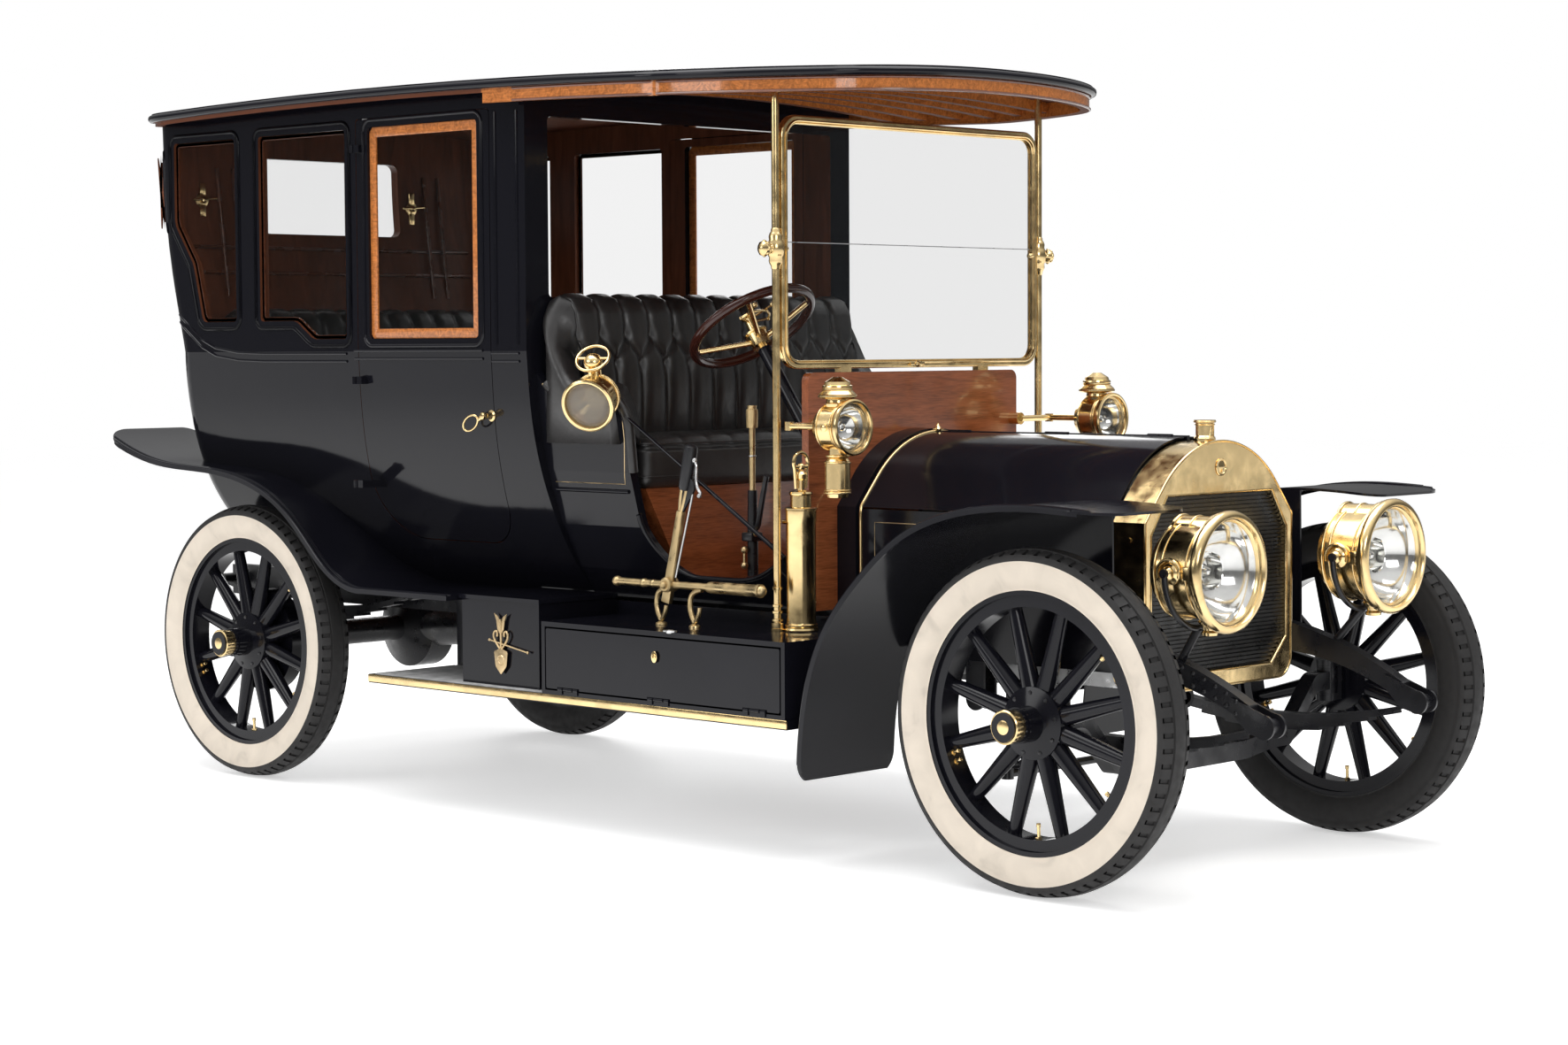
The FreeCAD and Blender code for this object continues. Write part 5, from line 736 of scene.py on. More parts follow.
# Each lamp's name, place, size and power in watts.
STUDIO_LAMPS = (
    ("overhead_lamp", (0.5, -0.5, 5.2), (7.0, 4.0), 330.0),
    ("front_lamp", (6.5, -4.5, 3.6), (3.0, 2.0), 90.0),
    ("side_lamp", (-2.0, -6.5, 3.4), (4.0, 2.0), 80.0),
    ("rear_lamp", (-5.0, 5.0, 3.4), (4.0, 2.0), 90.0),
)
LAMP_AIM = Vector((0, 0, 0.9))
CAMERA_PLACE = Vector((6.45, -6.581, 1.387))
CAMERA_TURN = (43.56, 3.36, -0.29)
CAMERA_LENS = 69.45
CAMERA_SENSOR = 36.0


def lay_floor(scene):
    """The pale floor; the rays that see it get a glow, so that it lies as light as the backdrop."""
    shape = bmesh.new()
    bmesh.ops.create_grid(shape, x_segments=1, y_segments=1, size=STUDIO_SIZE)
    mesh = bpy.data.meshes.new("studio_floor")
    shape.to_mesh(mesh)
    shape.free()
    floor = bpy.data.objects.new("studio_floor", mesh)
    scene.collection.objects.link(floor)
    made = Finish("studio floor", scene.car_finish.floor, roughness=0.55, specular_ior_level=0.3,
                  emission_color=(1, 1, 1, 1))
    made.tint(made.noise(0.7, detail=3.0), ((0.3, 0.985), (0.7, 1.0)))
    glow = made.maths("MULTIPLY", made.seen_rays(), FLOOR_GLOW)
    made.tree.links.new(glow, made.socket("emission_strength"))
    mesh.materials.append(made.material)


def light_world(scene):
    """A white world that fills softly, and darkens towards the horizon in reflections."""
    scene.world = bpy.data.worlds.new("studio")
    scene.world.use_nodes = True
    made = Nodes(scene.world.node_tree)
    strength = made.node("ShaderNodeMapRange", {"Value": made.seen_rays(), "To Min": WORLD_FILL,
                                                "To Max": 1.0})
    direction = made.node("ShaderNodeTexCoord").outputs["Generated"]
    height = made.node("ShaderNodeSeparateXYZ", {0: direction}).outputs["Z"]
    mirror = made.node("ShaderNodeMapRange", {"Value": height, "From Min": HORIZON_BAND[0],
                                              "From Max": HORIZON_BAND[1], "To Min": HORIZON_LEVEL,
                                              "To Max": 1.0})
    glossy = made.node("ShaderNodeLightPath").outputs["Is Glossy Ray"]
    shade = made.node("ShaderNodeMix", {"Factor": glossy, "A": 1.0, "B": mirror.outputs["Result"]})
    back = made.tree.nodes["Background"]
    made.tree.links.new(made.maths("MULTIPLY", strength.outputs["Result"], shade.outputs["Result"]),
                        back.inputs["Strength"])
    back.inputs["Color"].default_value = (1, 1, 1, 1)


def hang_lamps(scene):
    """Large soft lamps over, before, beside and behind the car."""
    for name, place, size, energy in STUDIO_LAMPS:
        light = bpy.data.lights.new(name, "AREA")
        light.shape = "RECTANGLE"
        light.size, light.size_y = size
        light.energy = energy
        lamp = bpy.data.objects.new(name, light)
        lamp.location = place
        lamp.rotation_euler = (LAMP_AIM - Vector(place)).to_track_quat("-Z", "Y").to_euler()
        scene.collection.objects.link(lamp)


def place_camera(scene):
    """The camera at the photograph's place, turned by its yaw, pitch and roll."""
    camera_data = bpy.data.cameras.new("studio_camera")
    camera_data.lens = CAMERA_LENS
    camera_data.sensor_width = CAMERA_SENSOR
    camera_data.sensor_fit = "HORIZONTAL"
    camera = bpy.data.objects.new("studio_camera", camera_data)
    yaw, pitch, roll = (math.radians(angle) for angle in CAMERA_TURN)
    ahead = Vector((-math.sin(yaw) * math.cos(pitch), math.cos(yaw) * math.cos(pitch), -math.sin(pitch)))
    level = ahead.cross(ALONG_Z).normalized()
    upright = level.cross(ahead)
    right = level * math.cos(roll) + upright * math.sin(roll)
    up = upright * math.cos(roll) - level * math.sin(roll)
    turn = Matrix((right, up, -ahead)).transposed().to_4x4()
    camera.matrix_world = Matrix.Translation(CAMERA_PLACE) @ turn
    scene.collection.objects.link(camera)
    scene.camera = camera


def add_stage():
    """The studio: floor, world, lamps and camera."""
    scene = bpy.context.scene
    for build in (lay_floor, light_world, hang_lamps, place_camera):
        build(scene)
    scene.view_settings.view_transform = "Standard"


# CAD nodes keep their shapes and get the real finishes

NODE_SHARP_ANGLE = 32
NODE_FINISHES = {
    "iron": ("frame_rails", "cross_members", "springs", "front_axle", "rear_axle", "lamp_brackets",
             "knuckle_right", "knuckle_left", "tie_rod"),
    "steel": ("engine",),
    "brass": ("radiator_shell", "windscreen_frame", "headlamps", "side_lamps", "spot_lamp", "pump"),
    "bronze": ("brake_lever", "inner_lever"),
    "core": ("radiator_core",),
    "cabin": ("cabin", "door_right", "door_left"),
    "paint": ("hood_sides", "hood_right", "hood_left", "cowl", "driver_tub", "front_fenders",
              "rear_fenders", "running_boards", "tool_boxes", "tool_flap_right", "tool_flap_left",
              "small_boxes", "steering_column", "wheel_front_right", "wheel_front_left",
              "wheel_rear_right", "wheel_rear_left"),
    "dash_wood": ("dash", "floor", "seat_boxes"),
    "roof": ("roof",),
    "fascia": ("roof_wood",),
    "wheel": ("steering_wheel",),
    "glass": ("cabin_glass", "door_glass_right", "door_glass_left"),
    "screen_glass": ("windscreen_glass",),
    "lens": ("lamp_lenses",),
    "leather": ("front_seat", "rear_seat"),
}


def add_coachwork():
    """Gives each CAD node its finish, and smooth shading between its sharp edges."""
    finishes["car"] = Finishes(bpy.context.scene.car_finish)
    for name, nodes in NODE_FINISHES.items():
        for node in nodes:
            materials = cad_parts[node].data.materials
            materials.clear()
            materials.append(finish(name))
    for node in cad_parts.values():
        node.data.shade_smooth()
        node.data.set_sharp_from_angle(angle=math.radians(NODE_SHARP_ANGLE))


# Wheels and tyres

WHEELS = (("front", "right", "front_wheel_right"), ("front", "left", "front_wheel_left"),
          ("rear", "right", "rear_wheel_right"), ("rear", "left", "rear_wheel_left"))
TYRE_BASE_RADIUS = 0.334
TYRE_CROWN_RADIUS = 0.4398
STEP_SLACK = 0.01
TYRE_WALL = ((0.044, 0.338), (0.052, 0.349), (0.0575, 0.366), (0.0598, 0.386), (0.059, 0.4),
             (0.0572, 0.4075), (0.0578, 0.4105), (0.056, 0.416), (0.0525, 0.4235))
TREAD_BLOCK = ((0.0505, 0.426), (0.027, 0.4355))
TREAD_GROOVE = ((0.0245, 0.4325), (0.0215, 0.433), (0.02, 0.4372))


def wheel_centre(end, side):
    """The middle of a wheel, from its tyre."""
    low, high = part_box("tyre_%s_%s" % (end, side))
    return (low + high) / 2


def tyre_profile():
    """The closed section of a tyre as (along, radius) points, from its inner bead out and round."""
    half = list(TYRE_WALL) + list(TREAD_BLOCK) + list(TREAD_GROOVE)
    inner = [(-along, radius) for along, radius in half]
    bead = [(along, TYRE_BASE_RADIUS) for along in (TYRE_WALL[0][0], -TYRE_WALL[0][0])]
    return inner + [(0.0, TYRE_CROWN_RADIUS)] + half[::-1] + bead


def add_tyres():
    """Tyres with cream walls and a tread cut into blocks, in place of the plain ones."""
    sizes = bpy.context.scene.car_fittings
    steps = sizes.tyre_steps
    for end, side, body in WHEELS:
        outward = SIDES[side]
        centre = wheel_centre(end, side)
        shape = bmesh.new()
        add_turned(shape, tyre_profile(), centre, ALONG_Y * outward, steps=steps, closed=True, material=1)
        blocks = []
        for face in shape.faces:
            middle = face.calc_center_median() - centre
            radius = math.hypot(middle.x, middle.z)
            along = middle.y * outward
            if along > 0 and TYRE_BASE_RADIUS < radius < sizes.whitewall_radius:
                face.material_index = 0
            if TREAD_BLOCK[1][0] < abs(along) < TYRE_WALL[-1][0] and radius > TYRE_WALL[-2][1]:
                step = int((math.atan2(middle.z, middle.x) / FULL_TURN + 1) * steps + STEP_SLACK)
                if step % sizes.tread_block_faces == 0:
                    blocks.append(face)
        cut = bmesh.ops.extrude_discrete_faces(shape, faces=blocks)
        for face in cut["faces"]:
            middle = face.calc_center_median() - centre
            inward = -Vector((middle.x, 0, middle.z)).normalized() * sizes.tread_slot_depth
            bmesh.ops.translate(shape, verts=face.verts[:], vec=inward)
        piece = new_piece("tyre_%s_%s_cover" % (end, side), shape, ("whitewall", "tread"), body, sharp=35)
        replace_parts(piece, "tyre_%s_%s" % (end, side))


HUB_CAP = ((0, 0.0385), (0.004, 0.0405), (0.042, 0.0405), (0.044, 0.0435), (0.054, 0.0435),
           (0.0565, 0.041), (0.0565, 0.036), (0.0555, 0.0345), (0.0575, 0.033), (0.0575, 0.027),
           (0.056, 0.0255), (0.058, 0.0235), (0.0605, 0.0165), (0.0615, 0.008), (0.062, 0))


HUB_CAP_REACH = 0.06
HUB_FLANGE_REACH = 0.03
HUB_BOLT_CIRCLE = 0.077
RIM_BOLT_CIRCLE = 0.294
# The angle in degrees and the length of the valve and of each security bolt inside a rim.
RIM_BOLTS = ((-88, 0.036), (-160, 0.022), (205, 0.02), (40, 0.02), (-35, 0.018))


def add_wheel_fittings():
    """Hub caps, flange bolts, and the valve and security bolts of each rim."""
    bolt_count = bpy.context.scene.car_fittings.hub_bolt_count
    for end, side, body in WHEELS:
        outward = SIDES[side]
        axis = ALONG_Y * outward
        centre = wheel_centre(end, side)
        low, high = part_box("wheel_%s_%s" % (end, side))
        face_y = (high.y if outward > 0 else low.y) * outward
        shape = bmesh.new()
        add_turned(shape, HUB_CAP, (centre.x, outward * (face_y - HUB_CAP_REACH), centre.z), axis, steps=40)
        flange = Vector((centre.x, outward * (abs(centre.y) + HUB_FLANGE_REACH), centre.z))
        for index in range(bolt_count):
            base = flange + spoke_at(FULL_TURN * (index + 0.3) / bolt_count) * HUB_BOLT_CIRCLE
            add_rod(shape, base - axis * 0.004, base + axis * 0.004, 0.0062, segments=6, bevel=0.0012,
                    material=1)
        for angle, length in RIM_BOLTS:
            spoke = spoke_at(math.radians(angle))
            foot = centre + axis * 0.012 + spoke * RIM_BOLT_CIRCLE
            add_rod(shape, foot, foot - spoke * 0.007, 0.0085, segments=6)
            add_rod(shape, foot, foot - spoke * length, 0.0045, segments=12)
            add_rod(shape, foot - spoke * (length - 0.004), foot - spoke * (length + 0.006), 0.0058,
                    segments=12, bevel=0.001)
        new_piece("hub_fittings_%s_%s" % (end, side), shape, ("brass", "iron"), body)


# Buttoned upholstery

BUTTON_ROW_SHARES = (0.17, 0.4)
PLEAT_PITCH = 0.1
PLEAT_DEPTH = 0.021
BUTTON_DEPTH = 0.009
ROLL_SHARES = ((0, 1.5), (-0.14, 0.7), (0.1, 0.12), (0.72, -0.16), (1.5, 0.14), (1.95, 0.9))
ROLL_SIZE = 0.042
BACK_FACE_STEPS = 44
BACK_BELLY = 0.012
BUTTON_SPREAD = 0.01
SEAT_BACK_DEPTH = 0.112
SEAT_CORNER = 0.075
SEAT_ARM_DROP = 0.034
ARM_RISE_START = 0.16
ARM_RISE_LENGTH = 0.2
ARM_TIP_LENGTH = 0.05
CUSHION_STEPS = (26, 132, 16)
CUSHION_ROUND = 0.03
CUSHION_CROWN = 0.02
CUSHION_PLEAT = 0.006
WELT_RADIUS = 0.0032
NAIL_RADIUS = 0.0042
NAIL_PITCH = 0.0165


def puff(pleat, fall):
    """Height share of a tufted surface: pleats cross as diamonds between buttons, then fall as channels."""
    upper, lower = BUTTON_ROW_SHARES
    cross = smooth_step((fall - upper) / (lower - upper)) / 2
    gap = min(abs((pleat - shift + 0.5) % 1.0 - 0.5) for shift in (cross, -cross))
    rise = min(1.0, gap * 2.6)
    return math.sqrt(1 - (1 - rise) ** 2)


def button_dip(pleat, fall, height):
    """Depth share of the nearest pulled-in button."""
    upper, lower = BUTTON_ROW_SHARES
    dip = 0.0
    for row, shift in ((upper, 0.0), (lower, 0.5)):
        across = abs((pleat - shift + 0.5) % 1.0 - 0.5) * PLEAT_PITCH
        down = (fall - row) * height
        dip = max(dip, math.exp(-(across ** 2 + down ** 2) / (2 * BUTTON_SPREAD ** 2)))
    return dip


def seat_back_section(top_z, low_z, thickness):
    """A seat back's (reach, height, fall, depth, turn), over its roll and down its face."""
    section = []
    for index, (reach, drop) in enumerate(ROLL_SHARES):
        share = index / (len(ROLL_SHARES) - 1)
        section.append((reach * ROLL_SIZE, top_z - drop * ROLL_SIZE, 0.0, share, math.pi * (1 - share) * 0.8))
    start_reach, start_z = section[-1][:2]
    for index in range(1, BACK_FACE_STEPS + 1):
        fall = index / BACK_FACE_STEPS
        reach = between(start_reach, thickness, fall) + math.sin(fall * math.pi) * BACK_BELLY
        depth = between(1.0, 0.55, smooth_step((fall - 0.5) * 2))
        section.append((reach, between(start_z, low_z, fall), fall, depth, 0.0))
    return section


def seat_back_rows(route, low_z, thickness):
    """Rows of points round a rolled, buttoned back; route gives (point, inward, top, pleats, fullness)."""
    rows = []
    for place, inward, top_z, pleat, fullness in route:
        height = top_z - ROLL_SIZE - low_z
        row = []
        for reach, z, fall, depth, turn in seat_back_section(top_z, low_z, thickness):
            push = puff(pleat, fall) * PLEAT_DEPTH * fullness * depth
            push -= button_dip(pleat, fall, height) * BUTTON_DEPTH * fullness
            away = inward * math.cos(turn) + ALONG_Z * math.sin(turn)
            row.append(place + inward * reach + ALONG_Z * (z - place.z) + away * push)
        rows.append(row + [place + ALONG_Z * (low_z - place.z)])
    return rows


def front_seat_route():
    """The seat back's line from the right arm's tip round the back to the left arm's tip."""
    low, high = solid_boxes("front_seat")[1]
    tub_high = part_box("driver_tub")[1]
    edge_y = tub_high.y + 0.006
    back_x = low.x + 0.004
    arm_x = high.x - 0.004
    corner = SEAT_CORNER
    step = PLEAT_PITCH / 16
    spots = []
    x = arm_x
    while x > back_x + corner:
        spots.append((Vector((x, -edge_y, 0)), ALONG_Y))
        x -= step
    turns = int(corner * math.pi / 2 / step)
    centre = Vector((back_x + corner, -edge_y + corner, 0))
    for index in range(turns):
        angle = math.pi / 2 * index / turns
        inward = Vector((math.sin(angle), math.cos(angle), 0))
        spots.append((centre - inward * corner, inward))
    y = -edge_y + corner
    while y <= 0.0:
        spots.append((Vector((back_x, y, 0)), ALONG_X))
        y += step
    spots[-1] = (Vector((back_x, 0, 0)), ALONG_X)
    arm_z = tub_high.z - SEAT_ARM_DROP
    half = []
    length = 0.0
    middle_length = sum((ahead[0] - here[0]).length for here, ahead in zip(spots, spots[1:]))
    for index, (place, inward) in enumerate(spots):
        if index:
            length += (place - spots[index - 1][0]).length
        pleat = (length - middle_length) / PLEAT_PITCH
        rise = smooth_step((length - ARM_RISE_START) / ARM_RISE_LENGTH)
        tip = smooth_step(length / ARM_TIP_LENGTH)
        top = between(arm_z, high.z + 0.004, rise)
        half.append((place + ALONG_Z * top, inward, top, pleat, between(0.25, 1.0, rise) * tip))
    other = [(Vector((place.x, -place.y, place.z)), Vector((inward.x, -inward.y, 0)), top, -pleat, full)
             for place, inward, top, pleat, full in reversed(half[:-1])]
    return half + other


def solid_boxes(node):
    """The (low, high) boxes of a node's separate solids, from the lowest up."""
    shape = bmesh.new()
    shape.from_mesh(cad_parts[node].data)
    bmesh.ops.remove_doubles(shape, verts=shape.verts, dist=1e-5)
    boxes = []
    left = dict.fromkeys(shape.verts)
    while left:
        group = [left.popitem()[0]]
        for vert in group:
            for edge in vert.link_edges:
                other = edge.other_vert(vert)
                if other in left:
                    del left[other]
                    group.append(other)
        low = Vector([min(vert.co[axis] for vert in group) for axis in range(3)])
        high = Vector([max(vert.co[axis] for vert in group) for axis in range(3)])
        boxes.append((low, high))
    shape.free()
    return sorted(boxes, key=lambda box: box[0].z)


def add_cushion(shape, low, high):
    """A stuffed bench cushion: rounded edges, a crowned top and pleats drawn in at the front welt."""
    bmesh.ops.create_cube(shape, size=1)
    for axis, count in enumerate(CUSHION_STEPS):
        edges = [edge for edge in shape.edges
                 if abs((edge.verts[1].co - edge.verts[0].co).normalized()[axis]) > 0.99]
        bmesh.ops.subdivide_edges(shape, edges=edges, cuts=count - 1, use_grid_fill=True)
    middle, size = (low + high) / 2, high - low
    for vert in shape.verts:
        share = vert.co * 2
        place = Vector([share[axis] * size[axis] / 2 for axis in range(3)])
        core = [size[axis] / 2 - CUSHION_ROUND for axis in range(3)]
        inner = Vector([max(-core[axis], min(core[axis], place[axis])) for axis in range(3)])
        away = place - inner
        if away.length > CUSHION_ROUND:
            place = inner + away.normalized() * CUSHION_ROUND
        if share.z > 0.5:
            crown = (1 - share.x ** 4) * (1 - share.y ** 6)
            place.z += CUSHION_CROWN * (crown - 0.6)
            front = smooth_step((share.x - 0.1) / 0.5) * smooth_step((1.02 - abs(share.y)) * 12)
            valley = 1 - puff(place.y / PLEAT_PITCH, 0.0)
            place.z -= CUSHION_PLEAT * valley * front
        elif share.x > 0.9:
            place.x += 0.006 * math.cos(share.z * math.pi / 2) * (1 - share.y ** 8)
        vert.co = middle + place


def upholster(seat, rows, cushion_box, welts=()):
    """Makes a seat's buttoned back and its cushion, in place of its solids."""
    back, cushion = bmesh.new(), bmesh.new()
    add_grid(back, rows, cyclic=True, capped=True)
    add_cushion(cushion, *cushion_box)
    for welt in welts:
        add_tube(cushion, welt, WELT_RADIUS, cyclic=True, sides=6)
    for part, shape in (("buttoned_back", back), ("cushion", cushion)):
        piece = new_piece("%s_%s" % (seat, part), shape, "leather", sharp=180)
        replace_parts(piece, seat)


def add_front_seat():
    """The driver's bench, whose back turns the corners into the arms."""
    cushion, back = solid_boxes("front_seat")
    rows = seat_back_rows(front_seat_route(), back[0].z - 0.02, SEAT_BACK_DEPTH)
    low, high = cushion
    corners = rounded(((low.x + 0.01, low.y - 0.001, 0.02), (high.x + 0.001, low.y - 0.001, 0.03),
                       (high.x + 0.001, high.y + 0.001, 0.03), (low.x + 0.01, high.y + 0.001, 0.02)))
    upholster("front_seat", rows, cushion,
              [[(x, y, z) for x, y in corners] for z in (high.z - 0.021, low.z + 0.034)])
    add_seat_nails()


def add_seat_nails():
    """The leather edge roll down the front of each arm, with its row of domed nails."""
    shape, nails = bmesh.new(), bmesh.new()
    for side in (-1, 1):
        rim = tub_edge_points(side)
        add_tube(shape, [point + Vector((0.004, -side * 0.008, 0.003)) for point in rim], 0.0155, sides=14,
                 smooth=True)
        spent = 0.0
        for here, ahead in zip(rim, rim[1:]):
            length = (ahead - here).length
            while spent < length:
                place = here.lerp(ahead, spent / length) + Vector((0, side * 0.0035, 0))
                add_ball(nails, place, NAIL_RADIUS, segments=8, squash=0.6, axis=(0, side, 0))
                spent += NAIL_PITCH
            spent -= length
    new_piece("front_seat_edge_roll", shape, "leather", sharp=180)
    new_piece("front_seat_nails", nails, "bronze")


def tub_edge_points(side):
    """The upper rim of a driver's side panel, from the cabin over the arm and down to the cushion."""
    cushion = solid_boxes("front_seat")[0]
    loop = max(outline_loops("driver_tub", (0, side, 0), 0.55), key=len)
    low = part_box("driver_tub")[0]
    points = [point for point in loop if point.z > cushion[0].z - 0.012 and point.x > low.x + 0.004
              and point.x < cushion[1].x + 0.1]
    points.sort(key=lambda point: math.atan2(point.z - cushion[1].z + 0.03, point.x - low.x - 0.1),
                reverse=True)
    return points


def add_rear_seat():
    """The passengers' bench."""
    cushion, (low, high) = solid_boxes("rear_seat")
    count = int((high.y - low.y) / (PLEAT_PITCH / 14))
    route = []
    for index in range(count + 1):
        y = between(low.y, high.y, index / count)
        full = smooth_step(min(y - low.y, high.y - y) / 0.03 + 0.15)
        place = Vector((low.x + 0.002, y, high.z))
        route.append((place, ALONG_X, high.z - 0.006 * (1 - full), y / PLEAT_PITCH, full))
    upholster("rear_seat", seat_back_rows(route, low.z, high.x - low.x), cushion)


# Cabin windows, mouldings and door furniture

def spaced(points, step, cyclic=True):
    """More points along straight runs, so that a line can follow a curved surface."""
    ring = points + points[:1] if cyclic else points
    found = []
    for here, ahead in zip(ring, ring[1:]):
        here, ahead = Vector(here), Vector(ahead)
        count = max(1, round((ahead - here).length / step))
        found += [here.lerp(ahead, index / count) for index in range(count)]
    return found if cyclic else found + [Vector(ring[-1])]


def window_loops(node, side):
    """The (x, z) outlines of a node's panes on one side."""
    return [[(point.x, point.z) for point in loop] for loop in outline_loops(node, (0, side, 0))
            if len(loop) > 3]


def add_window_trim(side, node, skin, bodies, frame_width, material):
    """The black bead round a window and the wood frame against its pane."""
    sizes = bpy.context.scene.car_fittings
    body, name = bodies
    low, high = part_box(node)
    frame_y = side * ((high.y if side > 0 else -low.y) + 0.0006)
    beads, frames = bmesh.new(), bmesh.new()
    for loop in window_loops(node, side):
        edge = widened(loop, sizes.window_bead)
        add_tube(beads, skin.line(spaced(edge, 0.05), side, -0.001), 0.0068, cyclic=True, sides=10)
        corners = sparse([Vector((x, frame_y, z)) for x, z in loop], 0.016)
        add_frame(frames, corners, frame_width, (0, side * 0.0075, 0), bevel=0.0015)
    new_piece("%s_window_beads" % name, beads, "paint", body)
    new_piece("%s_window_frames" % name, frames, material, body)


# The belt's sweep as shares of its length and of its rise.
BELT_SHARES = ((0, 1.0), (0.045, 0.62), (0.075, 0.36), (0.12, 0.14), (0.19, 0.03), (0.27, 0), (1.0, 0))
BELT_RISE = 0.13
DOOR_BELT_RISE = 0.008
HANDLE_SETBACK = -0.018
HANDLE_Z = 1.182
CURTAIN_KNOB_Y = 0.655
CABIN_MIDDLE_X = -1.2
LATCH_PLACES = ((-0.544, 1.881), (0.355, 1.877))
PANEL_RAILS_Z = (1.64, 1.725)
PANEL_STILES_Y = (0.415, 0.48)


def add_cabin_trim():
    """Window beads and frames, the belt mouldings that sweep down from the rear, and the pillars' beads."""
    sizes = bpy.context.scene.car_fittings
    low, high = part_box("cabin")
    door_low, door_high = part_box("door_right")
    glass_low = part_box("door_glass_right")[0]
    for name, side in SIDES.items():
        skin = Skin("cabin", "door_" + name)
        add_window_trim(side, "cabin_glass", skin, ("car", "cabin_" + name), 0.013, "brown_wood")
        add_window_trim(side, "door_glass_" + name, skin, ("door_" + name, "door_" + name), 0.03, "veneer")
        belt_z = glass_low.z - 0.045
        front_x = high.x - 0.012
        rear_x = low.x + 0.125
        belt = [(rear_x + (front_x - rear_x) * along, belt_z + BELT_RISE * up) for along, up in BELT_SHARES]
        for body, start, end in (("car", rear_x, door_low.x - 0.004), ("door_" + name, door_low.x + 0.022,
                                 door_high.x - 0.016), ("car", door_high.x + 0.004, front_x)):
            shape = bmesh.new()
            run = [point for point in spaced(belt, 0.02, cyclic=False) if start <= point.x <= end]
            rise = DOOR_BELT_RISE if body != "car" else 0.0
            for drop in (0, 0.024):
                add_tube(shape, skin.line([(x, z - drop + rise) for x, z in run], side),
                         sizes.moulding_radius * 0.75, smooth=True)
            new_piece("belt_%s_%s_%d" % (name, body, round(-start * 100)), shape, "paint", body)
        shape = bmesh.new()
        for x in (door_high.x + 0.028, high.x - 0.035):
            post = [(x, glass_low.z - 0.02), (x, door_high.z - 0.01)]
            add_tube(shape, skin.line(spaced(post, 0.04, cyclic=False), side), 0.005)
        new_piece("pillar_mouldings_" + name, shape, "paint")
        add_door_furniture(name, side, skin)


def add_door_furniture(name, side, skin):
    """The drop-ring door handle, and the small knobs at the cabin's rear edge."""
    shape = bmesh.new()
    root = skin.side(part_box("door_" + name)[1].x + HANDLE_SETBACK, HANDLE_Z, side)
    out = ALONG_Y * side
    add_turned(shape, ((0, 0), (0, 0.017), (0.003, 0.017), (0.006, 0.011), (0.02, 0.008), (0.026, 0.01),
                       (0.033, 0.0125), (0.04, 0.01), (0.044, 0)), root, out, steps=24)
    grip = root + out * 0.032
    add_turned(shape, ((0, 0), (0, 0.008), (0.02, 0.0065), (0.028, 0.004), (0.028, 0)), grip,
               Vector((-0.8, 0, -0.45)), steps=16)
    ring = grip + Vector((-0.06, 0, -0.022))
    loop = [ring + Vector((0.036 * math.cos(turn) * 0.9, side * 0.006 * math.sin(turn),
                           0.02 * math.sin(turn) + 0.36 * 0.036 * math.cos(turn)))
            for turn in [FULL_TURN * step / 28 for step in range(28)]]
    add_tube(shape, loop, 0.0034, cyclic=True, sides=10)
    new_piece("door_handle_" + name, shape, "brass", "door_" + name)
    shape = bmesh.new()
    behind_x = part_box("cabin")[0].x - 1
    for z, reach in ((1.575, 0.006), (1.425, 0.004)):
        found = skin.hit((behind_x, side * CURTAIN_KNOB_Y, z), ALONG_X)
        if found:
            add_ball(shape, found[0] - ALONG_X * reach, 0.009, segments=14)
            add_rod(shape, found[0] + ALONG_X * 0.004, found[0] - ALONG_X * reach, 0.0045, segments=10)
    new_piece("rear_curtain_knobs_" + name, shape, "brass")


def add_cabin_fittings():
    """Butterfly latches on the rear wall and mahogany mouldings inside the cabin."""
    skin = Skin("cabin")
    shape = bmesh.new()
    for y, z in LATCH_PLACES:
        place = skin.hit((CABIN_MIDDLE_X, y, z), -ALONG_X)[0]
        add_turned(shape, ((0, 0.026), (0.003, 0.026), (0.005, 0.022), (0.005, 0)), place, ALONG_X, steps=24)
        add_ball(shape, place + ALONG_X * 0.01, 0.012, segments=14)
        for up in (-1, 1):
            wing = place + Vector((0.004, 0, up * 0.036))
            add_block(shape, wing - Vector((0.003, 0.012, 0.02)), wing + Vector((0.003, 0.012, 0.02)), 0.003)
        add_rod(shape, place + Vector((0.014, -0.045, 0.0)), place + Vector((0.014, 0.05, 0.006)), 0.004,
                segments=10)
    new_piece("rear_wall_latches", shape, "brass")
    shape = bmesh.new()
    for z in PANEL_RAILS_Z:
        x = skin.hit((CABIN_MIDDLE_X, 0, z), -ALONG_X)[0].x + 0.002
        add_rod(shape, (x, -0.6, z), (x, 0.6, z), 0.006, segments=10)
    for side in (-1, 1):
        for y in PANEL_STILES_Y:
            ends = [skin.hit((CABIN_MIDDLE_X, side * y, z), -ALONG_X)[0] + ALONG_X * 0.002
                    for z in (1.56, 1.99)]
            add_rod(shape, *ends, 0.006, segments=10)
    new_piece("cabin_panel_mouldings", shape, "mahogany")


# Windscreen and roof

SCREEN_CLAMP_Z = 1.65
SCREEN_CLAMP_REACH = 0.061
# The height above a post's foot and the radius of each of its collars.
POST_COLLARS = ((0.004, 0.019), (0.03, 0.016), (0.052, 0.0155), (0.07, 0.0145), (0.118, 0.0145))


